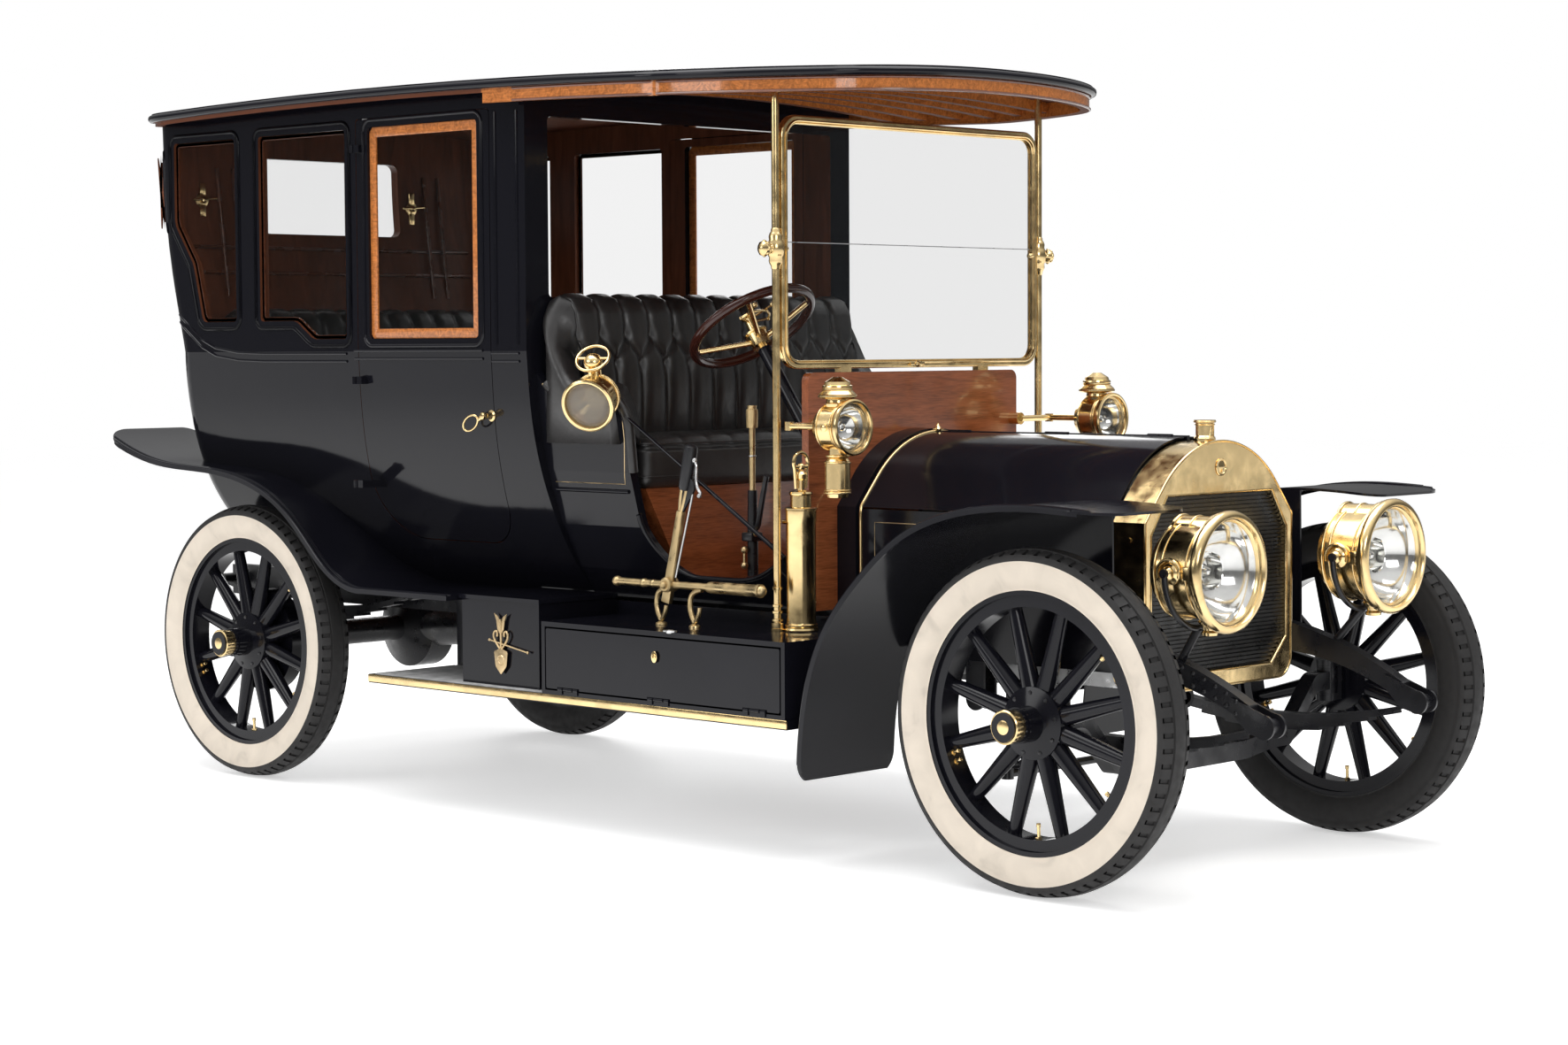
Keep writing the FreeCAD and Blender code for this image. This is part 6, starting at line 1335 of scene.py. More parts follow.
def add_windscreen_trim():
    """Twin beads round the screen, its clamps, the seam between its panes and the posts' collars."""
    low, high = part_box("windscreen_glass")
    frame_low, frame_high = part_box("windscreen_frame")
    x = (low.x + high.x) / 2
    middle_z = (low.z + high.z) / 2
    clamp_y = frame_high.y - SCREEN_CLAMP_REACH
    shape = bmesh.new()
    ring = rounded([(y, z, 0.045) for y, z in ((low.y, low.z), (high.y, low.z), (high.y, high.z),
                                               (low.y, high.z))], 7)
    for reach, step, radius in ((0.005, 0.0115, 0.0034), (-0.001, 0.0075, 0.0026)):
        loop = widened(ring, reach)
        for way in (-1, 1):
            add_tube(shape, [(x + way * step, y, z) for y, z in loop], radius, cyclic=True)
    for side in (-1, 1):
        add_clamp(shape, Vector((x, side * clamp_y, SCREEN_CLAMP_Z)), side)
    new_piece("windscreen_beads", shape, "brass")
    shape = bmesh.new()
    add_block(shape, (x - 0.0035, low.y, middle_z - 0.0012), (x + 0.0035, high.y, middle_z + 0.0012))
    new_piece("windscreen_seam", shape, "steel")
    shape = bmesh.new()
    add_block(shape, (x - 0.006, -0.03, low.z - 0.016), (x + 0.018, 0.03, low.z - 0.004), 0.002)
    add_turned(shape, ((0, 0.008), (0.006, 0.01), (0.012, 0.006), (0.018, 0.008), (0.02, 0)),
               (x + 0.012, 0.0, low.z - 0.01), ALONG_X, steps=20)
    for side in (-1, 1):
        foot = Vector((x, side * clamp_y, frame_low.z))
        for rise, radius in POST_COLLARS:
            ring = ((-0.004, radius - 0.003), (-0.003, radius), (0.003, radius), (0.004, radius - 0.003))
            add_turned(shape, ring, foot + ALONG_Z * rise, ALONG_Z, steps=24, closed=True)
    new_piece("windscreen_post_collars", shape, "brass")


def add_clamp(shape, centre, side):
    """An ornate clamp: turned beads above and below, a fluted knob outside and a lobed body."""
    bead = ((-0.062, 0), (-0.06, 0.008), (-0.054, 0.013), (-0.047, 0.0135), (-0.042, 0.017),
            (-0.034, 0.0195), (-0.024, 0.0185), (-0.018, 0.0215), (0, 0.0245), (0.018, 0.0215),
            (0.024, 0.0185), (0.034, 0.0195), (0.042, 0.017), (0.047, 0.0135), (0.054, 0.013),
            (0.06, 0.008), (0.062, 0))
    add_turned(shape, bead, centre, ALONG_Z, steps=28)
    out = ALONG_Y * side
    add_turned(shape, ((0.018, 0.011), (0.024, 0.014), (0.029, 0.011), (0.034, 0.0175), (0.044, 0.0215),
                       (0.052, 0.0195), (0.058, 0.011), (0.0615, 0)), centre, out, steps=28)
    for index in range(8):
        add_ball(shape, centre + out * 0.045 + spoke_at(FULL_TURN * index / 8) * 0.018, 0.006, segments=10)
    add_turned(shape, ((-0.045, 0), (-0.043, 0.009), (-0.034, 0.012), (-0.026, 0.008), (-0.016, 0.013)),
               centre, out, steps=24)


CANOPY_NOSE_X = 0.45
FASCIA_INSET = 0.0085


def add_roof_trim():
    """The black rounded rim of the roof, and the dark beads above and below its veneered fascia."""
    loops = outline_loops("roof", (0, 0, -1), 0.6)
    edge = max(loops, key=lambda loop: max(point.x for point in loop) - min(point.x for point in loop))
    line = sparse(edge, 0.03)
    shape = bmesh.new()
    add_tube(shape, [point + Vector((0, 0, 0.012)) for point in line], 0.0125, cyclic=True, sides=12)
    new_piece("roof_rim", shape, "paint")
    wood = Skin("roof_wood")
    rims = ([], [])
    for point in line:
        middle = Vector((min(point.x, CANOPY_NOSE_X), 0, point.z))
        inward = (middle - point).normalized()
        outer = point + inward * FASCIA_INSET
        found = wood.hit(outer + inward * 0.004 - ALONG_Z * 0.4, ALONG_Z)
        if point.x > CANOPY_REAR_X + 0.01 and found:
            rims[0].append(Vector((outer.x, outer.y, found[0].z + 0.004)))
            rims[1].append(outer - ALONG_Z * 0.003)
    bead = bmesh.new()
    for rim in rims:
        turn = max(range(len(rim)), key=lambda i: (rim[i] - rim[i - 1]).length)
        add_tube(bead, rim[turn:] + rim[:turn], 0.0042)
    new_piece("fascia_beads", bead, "brown_wood")


def sparse(points, step):
    """The points of a closed line that are at least a step apart."""
    kept = [points[0]]
    for point in points[1:]:
        if (point - kept[-1]).length >= step:
            kept.append(point)
    if (kept[0] - kept[-1]).length < step / 2:
        kept.pop()
    return kept


# Lamps

def add_bead(shape, centre, axis, radius, width, rise, steps=48, material=0):
    """A raised half-round ring about a round body."""
    profile = [(-width / 2, radius - 0.002)]
    for along, up in corner_arc((0, 0), 1, 180, 0, 6):
        profile.append((along * width / 2, radius + up * rise))
    profile.append((width / 2, radius - 0.002))
    return add_turned(shape, profile, centre, axis, steps=steps, closed=True, material=material)


HEADLAMP_BEZEL = ((-0.028, 0.121), (-0.031, 0.134), (-0.026, 0.1475), (-0.016, 0.1535), (-0.006, 0.1545),
                  (0.002, 0.151), (0.0065, 0.144), (0.0065, 0.137), (0.001, 0.1325), (-0.008, 0.1315),
                  (-0.012, 0.1265), (-0.02, 0.1235))
HEADLAMP_BOWL = ((-0.01, 0.13), (-0.024, 0.118), (-0.034, 0.116), (-0.05, 0.1085), (-0.066, 0.0985),
                 (-0.084, 0.084), (-0.096, 0.07), (-0.103, 0.056), (-0.106, 0.05), (-0.1075, 0))


def lamp_places():
    """The centre and radius of each lamp's lens."""
    return [((low + high) / 2, (high.z - low.z) / 2) for low, high in solid_boxes("lamp_lenses")]


def box_on_side(node, side):
    """The box of a node's lowest solid on one side of the car."""
    return next(box for box in solid_boxes(node) if (box[0].y + box[1].y) * side > 0)


PIVOT_BOSS = ((0, 0), (0, 0.03), (0.006, 0.03), (0.01, 0.026), (0.014, 0.019), (0.02, 0.017),
              (0.026, 0.012), (0.028, 0))


def add_headlamps():
    """The headlamps' bezels, beads, saddles and silvered bowls, with painted shade in the saddles' open
    mouths.
    """
    for name, side in SIDES.items():
        low, high = box_on_side("headlamps", side)
        centre = Vector((high.x, (low.y + high.y) / 2, low.z + (high.y - low.y) / 2))
        brass = bmesh.new()
        add_turned(brass, HEADLAMP_BEZEL, centre, ALONG_X, steps=72, closed=True)
        for along, radius, width, rise in ((-0.04, 0.122, 0.009, 0.0055), (-0.054, 0.122, 0.005, 0.003),
                                           (-0.128, 0.122, 0.008, 0.004), (-0.15, 0.121, 0.007, 0.004)):
            add_bead(brass, centre + ALONG_X * along, ALONG_X, radius, width, rise, steps=64)
        back = centre - ALONG_X * 0.182
        add_turned(brass, ((0.006, 0.094), (0, 0.086), (-0.01, 0.08), (-0.0165, 0.06), (-0.018, 0)),
                   back, ALONG_X)
        add_chimney(brass, centre)
        add_pivots(brass, centre)
        under = centre + Vector((-0.066, 0, -0.121))
        add_turned(brass, ((0, 0), (-0.001, 0.026), (-0.006, 0.03), (-0.012, 0.026), (-0.017, 0.02),
                           (-0.027, 0.017), (-0.033, 0.022), (-0.04, 0.02), (-0.043, 0)),
                   under, ALONG_Z, steps=32)
        new_piece("headlamp_trim_" + name, brass, "brass", sharp=34)
        silver = bmesh.new()
        add_turned(silver, HEADLAMP_BOWL, centre, ALONG_X, steps=64)
        add_turned(silver, ((-0.1065, 0.0485), (-0.06, 0.0485), (-0.0575, 0.0465), (-0.06, 0.0445),
                            (-0.1065, 0.0445)), centre, ALONG_X, closed=True)
        for along in (-0.092, -0.078):
            add_bead(silver, centre + ALONG_X * along, ALONG_X, 0.0485, 0.004, 0.002)
        add_turned(silver, ((-0.107, 0.022), (-0.085, 0.018), (-0.07, 0.009), (-0.066, 0)), centre,
                   ALONG_X, steps=32)
        new_piece("headlamp_reflector_" + name, silver, "silver", sharp=30)
        # Near-black plates in the saddle's open mouths: painted shade where the hollow ends lie in shadow.
        dark = bmesh.new()
        for x in (-0.132, -0.048):
            plate = centre + Vector((x, 0, 0))
            add_plate(dark, [plate + Vector((0, y, z)) for y, z in
                             corner_arc((0, 0.0855), 0.047, 20, 160, 10)], (0.0006, 0, 0))
        new_piece("headlamp_vent_painted_shade_" + name, dark, "dark")


def add_chimney(shape, centre):
    """The saddle over the drum: its rolled ends and a ridge. The shade in its open mouths is painted on
    plates in add_headlamps.
    """
    base = centre + ALONG_Z * 0.0855
    for x in (-0.148, -0.048):
        arc = [base + Vector((x, y, z)) for y, z in corner_arc((0, 0), 0.0525, -16, 196, 20)]
        add_tube(shape, arc, 0.0052, sides=10)
    arc = [base + Vector((-0.098, y, z)) for y, z in corner_arc((0, 0), 0.0525, -14, 194, 20)]
    add_tube(shape, arc, 0.0028)


def add_pivots(shape, centre):
    """The hooded boss on each side of a headlamp, where its fork holds it."""
    for side in (-1, 1):
        out = ALONG_Y * side
        place = centre + Vector((-0.1, side * 0.118, 0))
        add_turned(shape, PIVOT_BOSS, place, out, steps=32)
        arc = [place + out * 0.01 + Vector((u, 0, v)) for u, v in corner_arc((0, 0), 0.034, -20, 200, 16)]
        add_tube(shape, arc, 0.0055, sides=10)
        front = centre + Vector((-0.048, side * 0.1225, 0.0))
        add_block(shape, front - Vector((0.014, 0.005, 0.018)), front + Vector((0.014, 0.005, 0.018)), 0.003)


SIDE_LAMP_BEZEL = ((-0.016, 0.06), (-0.017, 0.068), (-0.012, 0.0745), (-0.005, 0.077), (0.002, 0.076),
                   (0.0045, 0.0715), (0.0035, 0.067), (-0.001, 0.0645), (-0.007, 0.0635), (-0.008, 0.06))
SIDE_LAMP_BOWL = ((-0.012, 0.06), (-0.02, 0.0585), (-0.04, 0.05), (-0.056, 0.038), (-0.064, 0.02),
                  (-0.066, 0))
SIDE_LAMP_TIERS = ((-0.083, 0.026), (-0.08, 0.0335), (-0.072, 0.0345), (-0.069, 0.031), (-0.06, 0.03),
                   (-0.058, 0.048), (-0.054, 0.0535), (-0.049, 0.0535), (-0.045, 0.046), (-0.04, 0.034),
                   (-0.034, 0.031), (-0.032, 0.038), (-0.028, 0.0415), (-0.023, 0.0405), (-0.019, 0.03),
                   (-0.014, 0.022), (-0.01, 0.016), (-0.006, 0.013), (-0.002, 0.009), (0.0005, 0))
# The height, radius and width of each bead round a side lamp's oil fount.
FOUNT_BEADS = ((0.013, 0.034, 0.006), (0.02, 0.034, 0.004), (0.094, 0.034, 0.005), (0.112, 0.03, 0.006))
SIDE_LENS_RADII = (0.06, 0.0716)


def side_lamp_lens(side):
    """The centre of the side lamp's lens on one side."""
    low, high = SIDE_LENS_RADII
    for centre, radius in lamp_places():
        if low < radius < high and centre.y * side > 0:
            return centre
    raise ValueError("no side lamp lens on that side")


def add_side_lamps():
    """The side lamps' bezels, tiered tops, oil founts, bowls and burners."""
    for name, side in SIDES.items():
        centre = side_lamp_lens(side) + ALONG_X * 0.004
        brass = bmesh.new()
        add_turned(brass, SIDE_LAMP_BEZEL, centre, ALONG_X, steps=56, closed=True)
        for along, width, rise in ((-0.026, 0.006, 0.004), (-0.034, 0.004, 0.0022), (-0.082, 0.006, 0.0035)):
            add_bead(brass, centre + ALONG_X * along, ALONG_X, 0.062, width, rise)
        low, high = box_on_side("side_lamps", side)
        x = centre.x - 0.0585
        add_turned(brass, SIDE_LAMP_TIERS, (x, centre.y, high.z), ALONG_Z, steps=40)
        for rise, radius, width in FOUNT_BEADS:
            add_bead(brass, (x, centre.y, low.z + rise), ALONG_Z, radius, width, 0.003, steps=36)
        out = ALONG_Y * side
        add_turned(brass, ((-0.002, 0), (0, 0.011), (0.004, 0.011), (0.006, 0.007), (0.009, 0)),
                   centre - ALONG_X * 0.052 + out * 0.06, out, steps=20)
        new_piece("side_lamp_trim_" + name, brass, "brass", sharp=34)
        silver = bmesh.new()
        add_turned(silver, SIDE_LAMP_BOWL, centre, ALONG_X)
        add_ball(silver, centre - ALONG_X * 0.05, 0.016)
        new_piece("side_lamp_reflector_" + name, silver, "silver", sharp=30)


SPOT_LAMP_AXIS = Vector((0.397, -0.852, -0.342))


def add_spot_lamp():
    """The hand lamp's bezel, beads and clouded glass."""
    lens = next(centre for centre, _ in lamp_places() if abs(centre.y) > 0.7)
    axis = SPOT_LAMP_AXIS.normalized()
    centre = lens + axis * 0.0045
    brass = bmesh.new()
    add_turned(brass, [(along, radius + 0.0015) for along, radius in SIDE_LAMP_BEZEL], centre, axis, steps=56,
               closed=True)
    for along, width, rise in ((-0.026, 0.006, 0.004), (-0.036, 0.004, 0.002), (-0.078, 0.007, 0.0045),
                               (-0.088, 0.004, 0.002)):
        add_bead(brass, centre + axis * along, axis, 0.064, width, rise)
    new_piece("spot_lamp_trim", brass, "brass", sharp=34)
    glass = bmesh.new()
    add_turned(glass, ((-0.0085, 0.066), (-0.004, 0.064), (-0.0015, 0.045), (-0.0005, 0)), centre, axis,
               steps=48)
    new_piece("spot_lamp_clouded_glass", glass, "frosted", sharp=60)


# Hand pump and levers

PUMP_PROFILE = ((0, 0), (0, 0.046), (0.004, 0.048), (0.009, 0.046), (0.011, 0.043), (0.014, 0.0455),
                (0.018, 0.0455), (0.021, 0.042), (0.026, 0.041), (0.3, 0.041), (0.303, 0.0425),
                (0.333, 0.0425), (0.335, 0.045), (0.339, 0.045), (0.341, 0.04), (0.342, 0.029),
                (0.374, 0.0285), (0.376, 0.032), (0.379, 0.033), (0.384, 0.031), (0.388, 0.02), (0.39, 0))


PUMP_NECK = ((0, 0.0105), (0.03, 0.0105), (0.034, 0.014), (0.046, 0.015), (0.054, 0.009), (0.056, 0))


def add_pump():
    """The brass hand pump with its loop handle, in place of its plain barrel."""
    low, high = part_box("pump")
    centre = Vector(((low.x + high.x) / 2, (low.y + high.y) / 2, low.z))
    shape = bmesh.new()
    add_turned(shape, PUMP_PROFILE, centre, ALONG_Z)
    neck = centre + ALONG_Z * 0.386
    add_turned(shape, PUMP_NECK, neck, ALONG_Z, steps=24)
    eye = neck + ALONG_Z * 0.066
    add_ball(shape, eye, 0.012, segments=16)
    arc = [eye + Vector((0, y, z)) for y, z in corner_arc((0, 0.012), 0.028, -35, 215, 20)]
    legs = [arc[0] - ALONG_Z * 0.055 - ALONG_Y * 0.004] + arc + [arc[-1] - ALONG_Z * 0.055 + ALONG_Y * 0.004]
    add_bent_rod(shape, legs, 0.0052)
    add_rod(shape, eye - ALONG_Y * 0.024, eye + ALONG_Y * 0.024, 0.006, segments=12)
    for height, y in ((0.3, 0.0216), (0.3, -0.0216), (0.02, 0.03)):
        add_rod(shape, *offsets_from(centre, (-0.03, y, height), (-0.047, y, height)), 0.006, segments=12)
    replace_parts(new_piece("hand_pump", shape, "brass", sharp=34), "pump")


LEVER_PIVOT_X = 0.364
LEVER_TOP_X = 0.456
LEVER_BAR_Z = 0.715
LEVER_FEET = (0.33, 0.464)
GRIP_LENGTH = 0.128
# Outlines of the brake lever as (along the lever, ahead of it), from the foot of its grip.
GRIP_WEB = ((0.04, 0.012), (0.03, 0.034), (0.01, 0.04), (-0.03, 0.024), (-0.064, 0.01),
            (-0.05, -0.004), (0, -0.006))
LEVER_BLADE = ((-0.062, -0.012), (-0.062, 0.012), (-0.25, 0.0155), (-0.33, 0.017), (-0.33, -0.017),
               (-0.25, -0.0155))
LEVER_PAWL = ((0.09, 0.02), (0.078, 0.032), (0.055, 0.034), (0.03, 0.04), (0.014, 0.052),
              (0.006, 0.066), (-0.002, 0.06))


def add_levers():
    """The brake lever with its grip, blade, cross bar, brackets and pawl; then the gear lever."""
    low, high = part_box("brake_lever")
    y = (low.y + high.y) / 2
    foot = Vector((LEVER_PIVOT_X, y, LEVER_BAR_Z))
    top = Vector((LEVER_TOP_X, y, high.z))
    axis = (top - foot).normalized()
    ahead = Vector((axis.z, 0, -axis.x))
    grip = top - axis * GRIP_LENGTH

    def along_lever(outline):
        return [grip + axis * up + ahead * out for up, out in outline]

    black = bmesh.new()
    add_turned(black, ((0, 0), (0, 0.0155), (0.01, 0.0185), (0.06, 0.0195), (0.11, 0.0205),
                       (0.124, 0.0185), (0.1295, 0.012), (0.131, 0)), grip, axis, steps=28)
    web = [point - ALONG_Y * 0.004 for point in along_lever(GRIP_WEB)]
    add_plate(black, web, (0, 0.008, 0), bevel=0.0015)
    new_piece("hand_brake_grip", black, "iron", sharp=34)
    bronze = bmesh.new()
    for push in (-0.008, 0.008):
        add_bent_rod(bronze, along_lever(((-0.062, push * 0.3), (-0.04, push), (0.004, push * 1.2))), 0.0068)
    add_plate(bronze, [point - ALONG_Y * 0.0085 for point in along_lever(LEVER_BLADE)], (0, 0.017, 0),
              bevel=0.004)
    add_turned(bronze, ((-0.022, 0), (-0.022, 0.017), (-0.018, 0.021), (0.018, 0.021), (0.022, 0.017),
                        (0.022, 0)), foot, ALONG_Y, steps=28)
    add_ball(bronze, foot - ALONG_Y * 0.024, 0.011, segments=14)
    add_rod(bronze, (low.x + 0.004, y, foot.z), (high.x - 0.004, y, foot.z), 0.0105, segments=20)
    for x, radius in ((low.x + 0.01, 0.015), (high.x - 0.01, 0.0165), (0.262, 0.0135), (0.3, 0.0125)):
        add_ball(bronze, (x, y, foot.z), radius, segments=16, axis=ALONG_X)
    add_turned(bronze, ((0, 0.01), (0.004, 0.0145), (0.016, 0.0165), (0.19, 0.0165), (0.196, 0.019),
                        (0.206, 0.019), (0.21, 0)), (high.x - 0.215, y, foot.z), ALONG_X, steps=28)
    for x in LEVER_FEET:
        base, bar = Vector((x, y, low.z)), Vector((x, y, foot.z))
        scroll = offsets_from(bar, (0.03, 0, -0.008), (-0.006, 0, -0.014), (-0.02, 0, -0.045))
        add_bent_rod(bronze, scroll + offsets_from(base, (-0.014, 0, 0.032), (0, 0, 0.012)), 0.0075)
        add_bent_rod(bronze, offsets_from(base, (0, 0, 0.014), (0.018, 0, 0.03), (0.021, 0, 0.056)), 0.0068)
        add_turned(bronze, ((0.0005, 0), (0.0005, 0.017), (0.005, 0.016), (0.009, 0.01), (0.012, 0)),
                   base, ALONG_Z, steps=24)
    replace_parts(new_piece("lever_bronze_work", bronze, "bronze", sharp=34), "brake_lever")
    steel = bmesh.new()
    pawl = along_lever(LEVER_PAWL)
    add_bent_rod(steel, pawl, 0.0042)
    add_ball(steel, pawl[0], 0.008, segments=12)
    add_ball(steel, pawl[-1], 0.007, segments=12)
    add_rod(steel, *along_lever(((-0.004, 0.034), (-0.25, 0.02))), 0.0032, segments=10)
    new_piece("hand_brake_pawl", steel, "steel", sharp=34)
    add_gear_lever()


def add_gear_lever():
    """The inner lever's turned foot, arm, shoe and ferrule."""
    low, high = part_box("inner_lever")
    foot = Vector(((low.x + high.x) / 2, (low.y + high.y) / 2, low.z))
    height = high.z - low.z
    black = bmesh.new()
    add_turned(black, ((0, 0), (0, 0.03), (0.01, 0.031), (0.02, 0.022), (0.05, 0.016),
                       (0.19, 0.0155), (0.3, 0.0135), (0.302, 0)), foot, ALONG_Z, steps=28)
    add_bent_rod(black, offsets_from(foot, (0, 0, 0.185), (0.03, -0.01, 0.19), (0.048, -0.02, 0.235),
                                     (0.085, -0.03, 0.345)), 0.0085)
    add_block(black, *offsets_from(foot, (-0.012, -0.035, 0.155), (0.03, 0.012, 0.18)), 0.004)
    add_tube(black, offsets_from(foot, (-0.03, -0.01, 0.012), (-0.01, -0.02, 0.04), (0.03, -0.02, 0.046),
                                 (0.075, -0.02, 0.03), (0.08, -0.02, 0.01)), 0.013, sides=12, smooth=True)
    new_piece("gear_lever_foot", black, "iron", sharp=34)
    bronze = bmesh.new()
    stops = offsets_from(foot, (-0.004, -0.03, 0.085), (-0.004, -0.03, 0.13))
    for stop in stops:
        add_ball(bronze, stop, 0.011, segments=14)
    add_rod(bronze, *stops, 0.0045, segments=12)
    add_rod(bronze, *offsets_from(foot, (-0.03, -0.005, 0.172), (0.035, -0.022, 0.176)), 0.007,
            segments=14, bevel=0.001)
    add_turned(bronze, ((-0.064, 0), (-0.064, 0.0155), (-0.06, 0.0165), (-0.022, 0.0175),
                        (-0.012, 0.0165), (-0.006, 0.01), (0, 0.006), (0.001, 0)),
               foot + ALONG_Z * height, ALONG_Z, steps=28)
    new_piece("gear_lever_ferrule", bronze, "bronze", sharp=34)
    steel = bmesh.new()
    add_bead(steel, foot + ALONG_Z * (height - 0.145), ALONG_Z, 0.0098, 0.005, 0.002, steps=24)
    new_piece("gear_lever_collar", steel, "steel", sharp=34)


# Radiator, hood, boxes and boards

BADGE_Z = 1.059
SHELL_RIVETS_Z = (0.6, 0.74, 0.88, 0.97)
HOOD_LINING_X = (0.853, 1.615)
HOOD_LINING_Z = (0.69, 0.894)
HOOD_MIDDLE_Z = 0.8
HOOD_ARCH_STEPS = 64
HOOD_ARCH_FALL = 23


def add_radiator_trim():
    """The shell's beads and rivets, the filler's rings and a plain badge."""
    low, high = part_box("radiator_shell")
    brass = bmesh.new()
    badge = Vector((high.x, 0, BADGE_Z))
    add_turned(brass, ((0, 0), (0, 0.0225), (0.0022, 0.0235), (0.004, 0.0215), (0.0035, 0.0185),
                       (0.0022, 0.0175), (0.0028, 0.01), (0.004, 0.006), (0.0045, 0)), badge, ALONG_X,
               steps=40)
    for loop in outline_loops("radiator_shell", (1, 0, 0)):
        add_tube(brass, [point - ALONG_X * 0.001 for point in sparse(loop, 0.012)], 0.0036, cyclic=True)
    for rise, radius in ((-0.004, 0.0285), (-0.012, 0.0255), (-0.046, 0.026)):
        neck = ((low.x + high.x) / 2, 0, high.z + rise)
        add_bead(brass, neck, ALONG_Z, radius, 0.004, 0.002, steps=40)
    for side in (-1, 1):
        for z in SHELL_RIVETS_Z:
            add_turned(brass, ((0, 0.0065), (0.002, 0.006), (0.0035, 0)),
                       (high.x - 0.05, side * (high.y - 0.0005), z), ALONG_Y * side, steps=14)
    new_piece("radiator_beads", brass, "brass", sharp=34)


def add_hood_trim():
    """Gold lining on the hood's sides, the brass bead round its rear edge and the star on its crown."""
    sizes = bpy.context.scene.car_fittings
    skin = Skin("hood_sides")
    lines = bmesh.new()
    for side in (-1, 1):
        panel = [(x, z) for x, z in zip(HOOD_LINING_X + HOOD_LINING_X[::-1], sorted(HOOD_LINING_Z * 2))]
        line = skin.line(spaced(panel, 0.05), side, 0.0003)
        add_tube(lines, line, sizes.lining_width * 0.7, cyclic=True, sides=4)
    new_piece("hood_lining", lines, "stripe")
    body = Skin("cowl", "hood_right", "hood_left", "hood_sides")
    centre = Vector((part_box("hood_right")[0].x + 0.006, 0, HOOD_MIDDLE_Z))
    arch = []
    for step in range(HOOD_ARCH_STEPS + 1):
        turn = math.radians(between(-HOOD_ARCH_FALL, 180 + HOOD_ARCH_FALL, step / HOOD_ARCH_STEPS))
        spoke = Vector((0, math.cos(turn), math.sin(turn)))
        found = body.hit(centre + spoke, -spoke)
        if found:
            arch.append(found[0])
    shape = bmesh.new()
    add_tube(shape, arch, 0.0052, sides=10)
    star = max(arch, key=lambda point: point.z) + ALONG_Z * 0.004
    add_turned(shape, ((-0.004, 0.01), (0, 0.012), (0.005, 0.009), (0.012, 0.004), (0.022, 0)), star,
               ALONG_Z, steps=16)
    for spoke in (ALONG_X, ALONG_Y, -ALONG_X, -ALONG_Y):
        add_rod(shape, star, star + spoke * 0.022, 0.0045, segments=8, end_radius=0.001)
    new_piece("cowl_bead", shape, "brass")


KEYHOLE_X = 0.461
KEYHOLE_Z = 0.529
LOCK_RADII = (0.011, 0.0165)
ORNAMENT_X = -0.228
ORNAMENT_Z = 0.515
# Half outlines of the ornament as (ahead, up) from its middle.
ORNAMENT_SHIELD = ((-0.03, -0.02, 0.006), (-0.024, -0.064, 0.02), (0.0, -0.088, 0.004),
                   (0.024, -0.064, 0.02), (0.03, -0.02, 0.006), (0.0, -0.01, 0.01))
ORNAMENT_SCROLL = ((0.004, -0.012), (0.02, 0.004), (0.034, 0.024), (0.026, 0.042), (0.012, 0.036),
                   (0.016, 0.024))
ORNAMENT_LEAF = ((0.002, 0.03), (0.014, 0.046), (0.018, 0.07), (0.028, 0.092), (0.01, 0.082),
                 (0.002, 0.06))


def add_boxes():
    """The locks and latches of the tool boxes and the ornament of the small box."""
    box_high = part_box("tool_boxes")[1]
    small_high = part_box("small_boxes")[1]
    for name, side in SIDES.items():
        low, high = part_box("tool_flap_" + name)
        out = ALONG_Y * side
        brass = bmesh.new()
        lock = Vector((KEYHOLE_X, high.y if side > 0 else low.y, KEYHOLE_Z))
        oval = [lock + Vector((LOCK_RADII[0] * math.cos(turn), 0, LOCK_RADII[1] * math.sin(turn)))
                for turn in [FULL_TURN * step / 28 for step in range(28)]]
        add_plate(brass, oval, out * 0.003, bevel=0.001)
        add_turned(brass, ((0.003, 0.0075), (0.0052, 0.007), (0.0055, 0.0035), (0.0035, 0.003)), lock, out,
                   steps=20, closed=True)
        new_piece("tool_box_lock_" + name, brass, "brass", "flap_" + name)
        steel = bmesh.new()
        latch = Vector((KEYHOLE_X + 0.058, side * (box_high.y - 0.004), box_high.z + 0.002))
        add_turned(steel, ((-0.004, 0.01), (0.002, 0.012), (0.005, 0.009), (0.006, 0)), latch, ALONG_Z,
                   steps=20)
        add_block(steel, *offsets_from(latch, (-0.022, -0.006, -0.001), (0.022, 0.006, 0.004)), 0.0015)
        new_piece("tool_box_latch_" + name, steel, "steel")
        shape = bmesh.new()
        add_ornament(shape, Vector((ORNAMENT_X, side * small_high.y, ORNAMENT_Z)), side)
        new_piece("box_ornament_" + name, shape, "stripe")


def add_ornament(shape, centre, side):
    """A pressed brass spray: a shield, two scrolls, a stem with leaves and a crossing bar."""
    deep = Vector((0, side * 0.003, 0))

    def at(u, v, share=0.0):
        return centre + Vector((u, 0, v)) + deep * share

    add_plate(shape, [at(u, v) for u, v in rounded(ORNAMENT_SHIELD)], deep, bevel=0.001)
    add_turned(shape, ((0.003, 0.016), (0.005, 0.0145), (0.005, 0.0105), (0.003, 0.009)), at(0, -0.045),
               ALONG_Y * side, steps=24, closed=True)
    for way in (-1, 1):
        add_tube(shape, [at(way * u, v, 0.6) for u, v in ORNAMENT_SCROLL], 0.0032, smooth=True)
        add_plate(shape, [at(way * u, v) for u, v in ORNAMENT_LEAF[::way]], deep, bevel=0.0008)
    add_tube(shape, [at(0, -0.01, 0.6), at(0.003, 0.03, 0.6), at(-0.002, 0.075, 0.6)], 0.0036, smooth=True)
    ends = (at(-0.05, 0.012, 0.6), at(0.118, -0.016, 0.6))
    add_rod(shape, *ends, 0.0022, segments=8)
    for end in ends:
        add_ball(shape, end, 0.0045, segments=10)


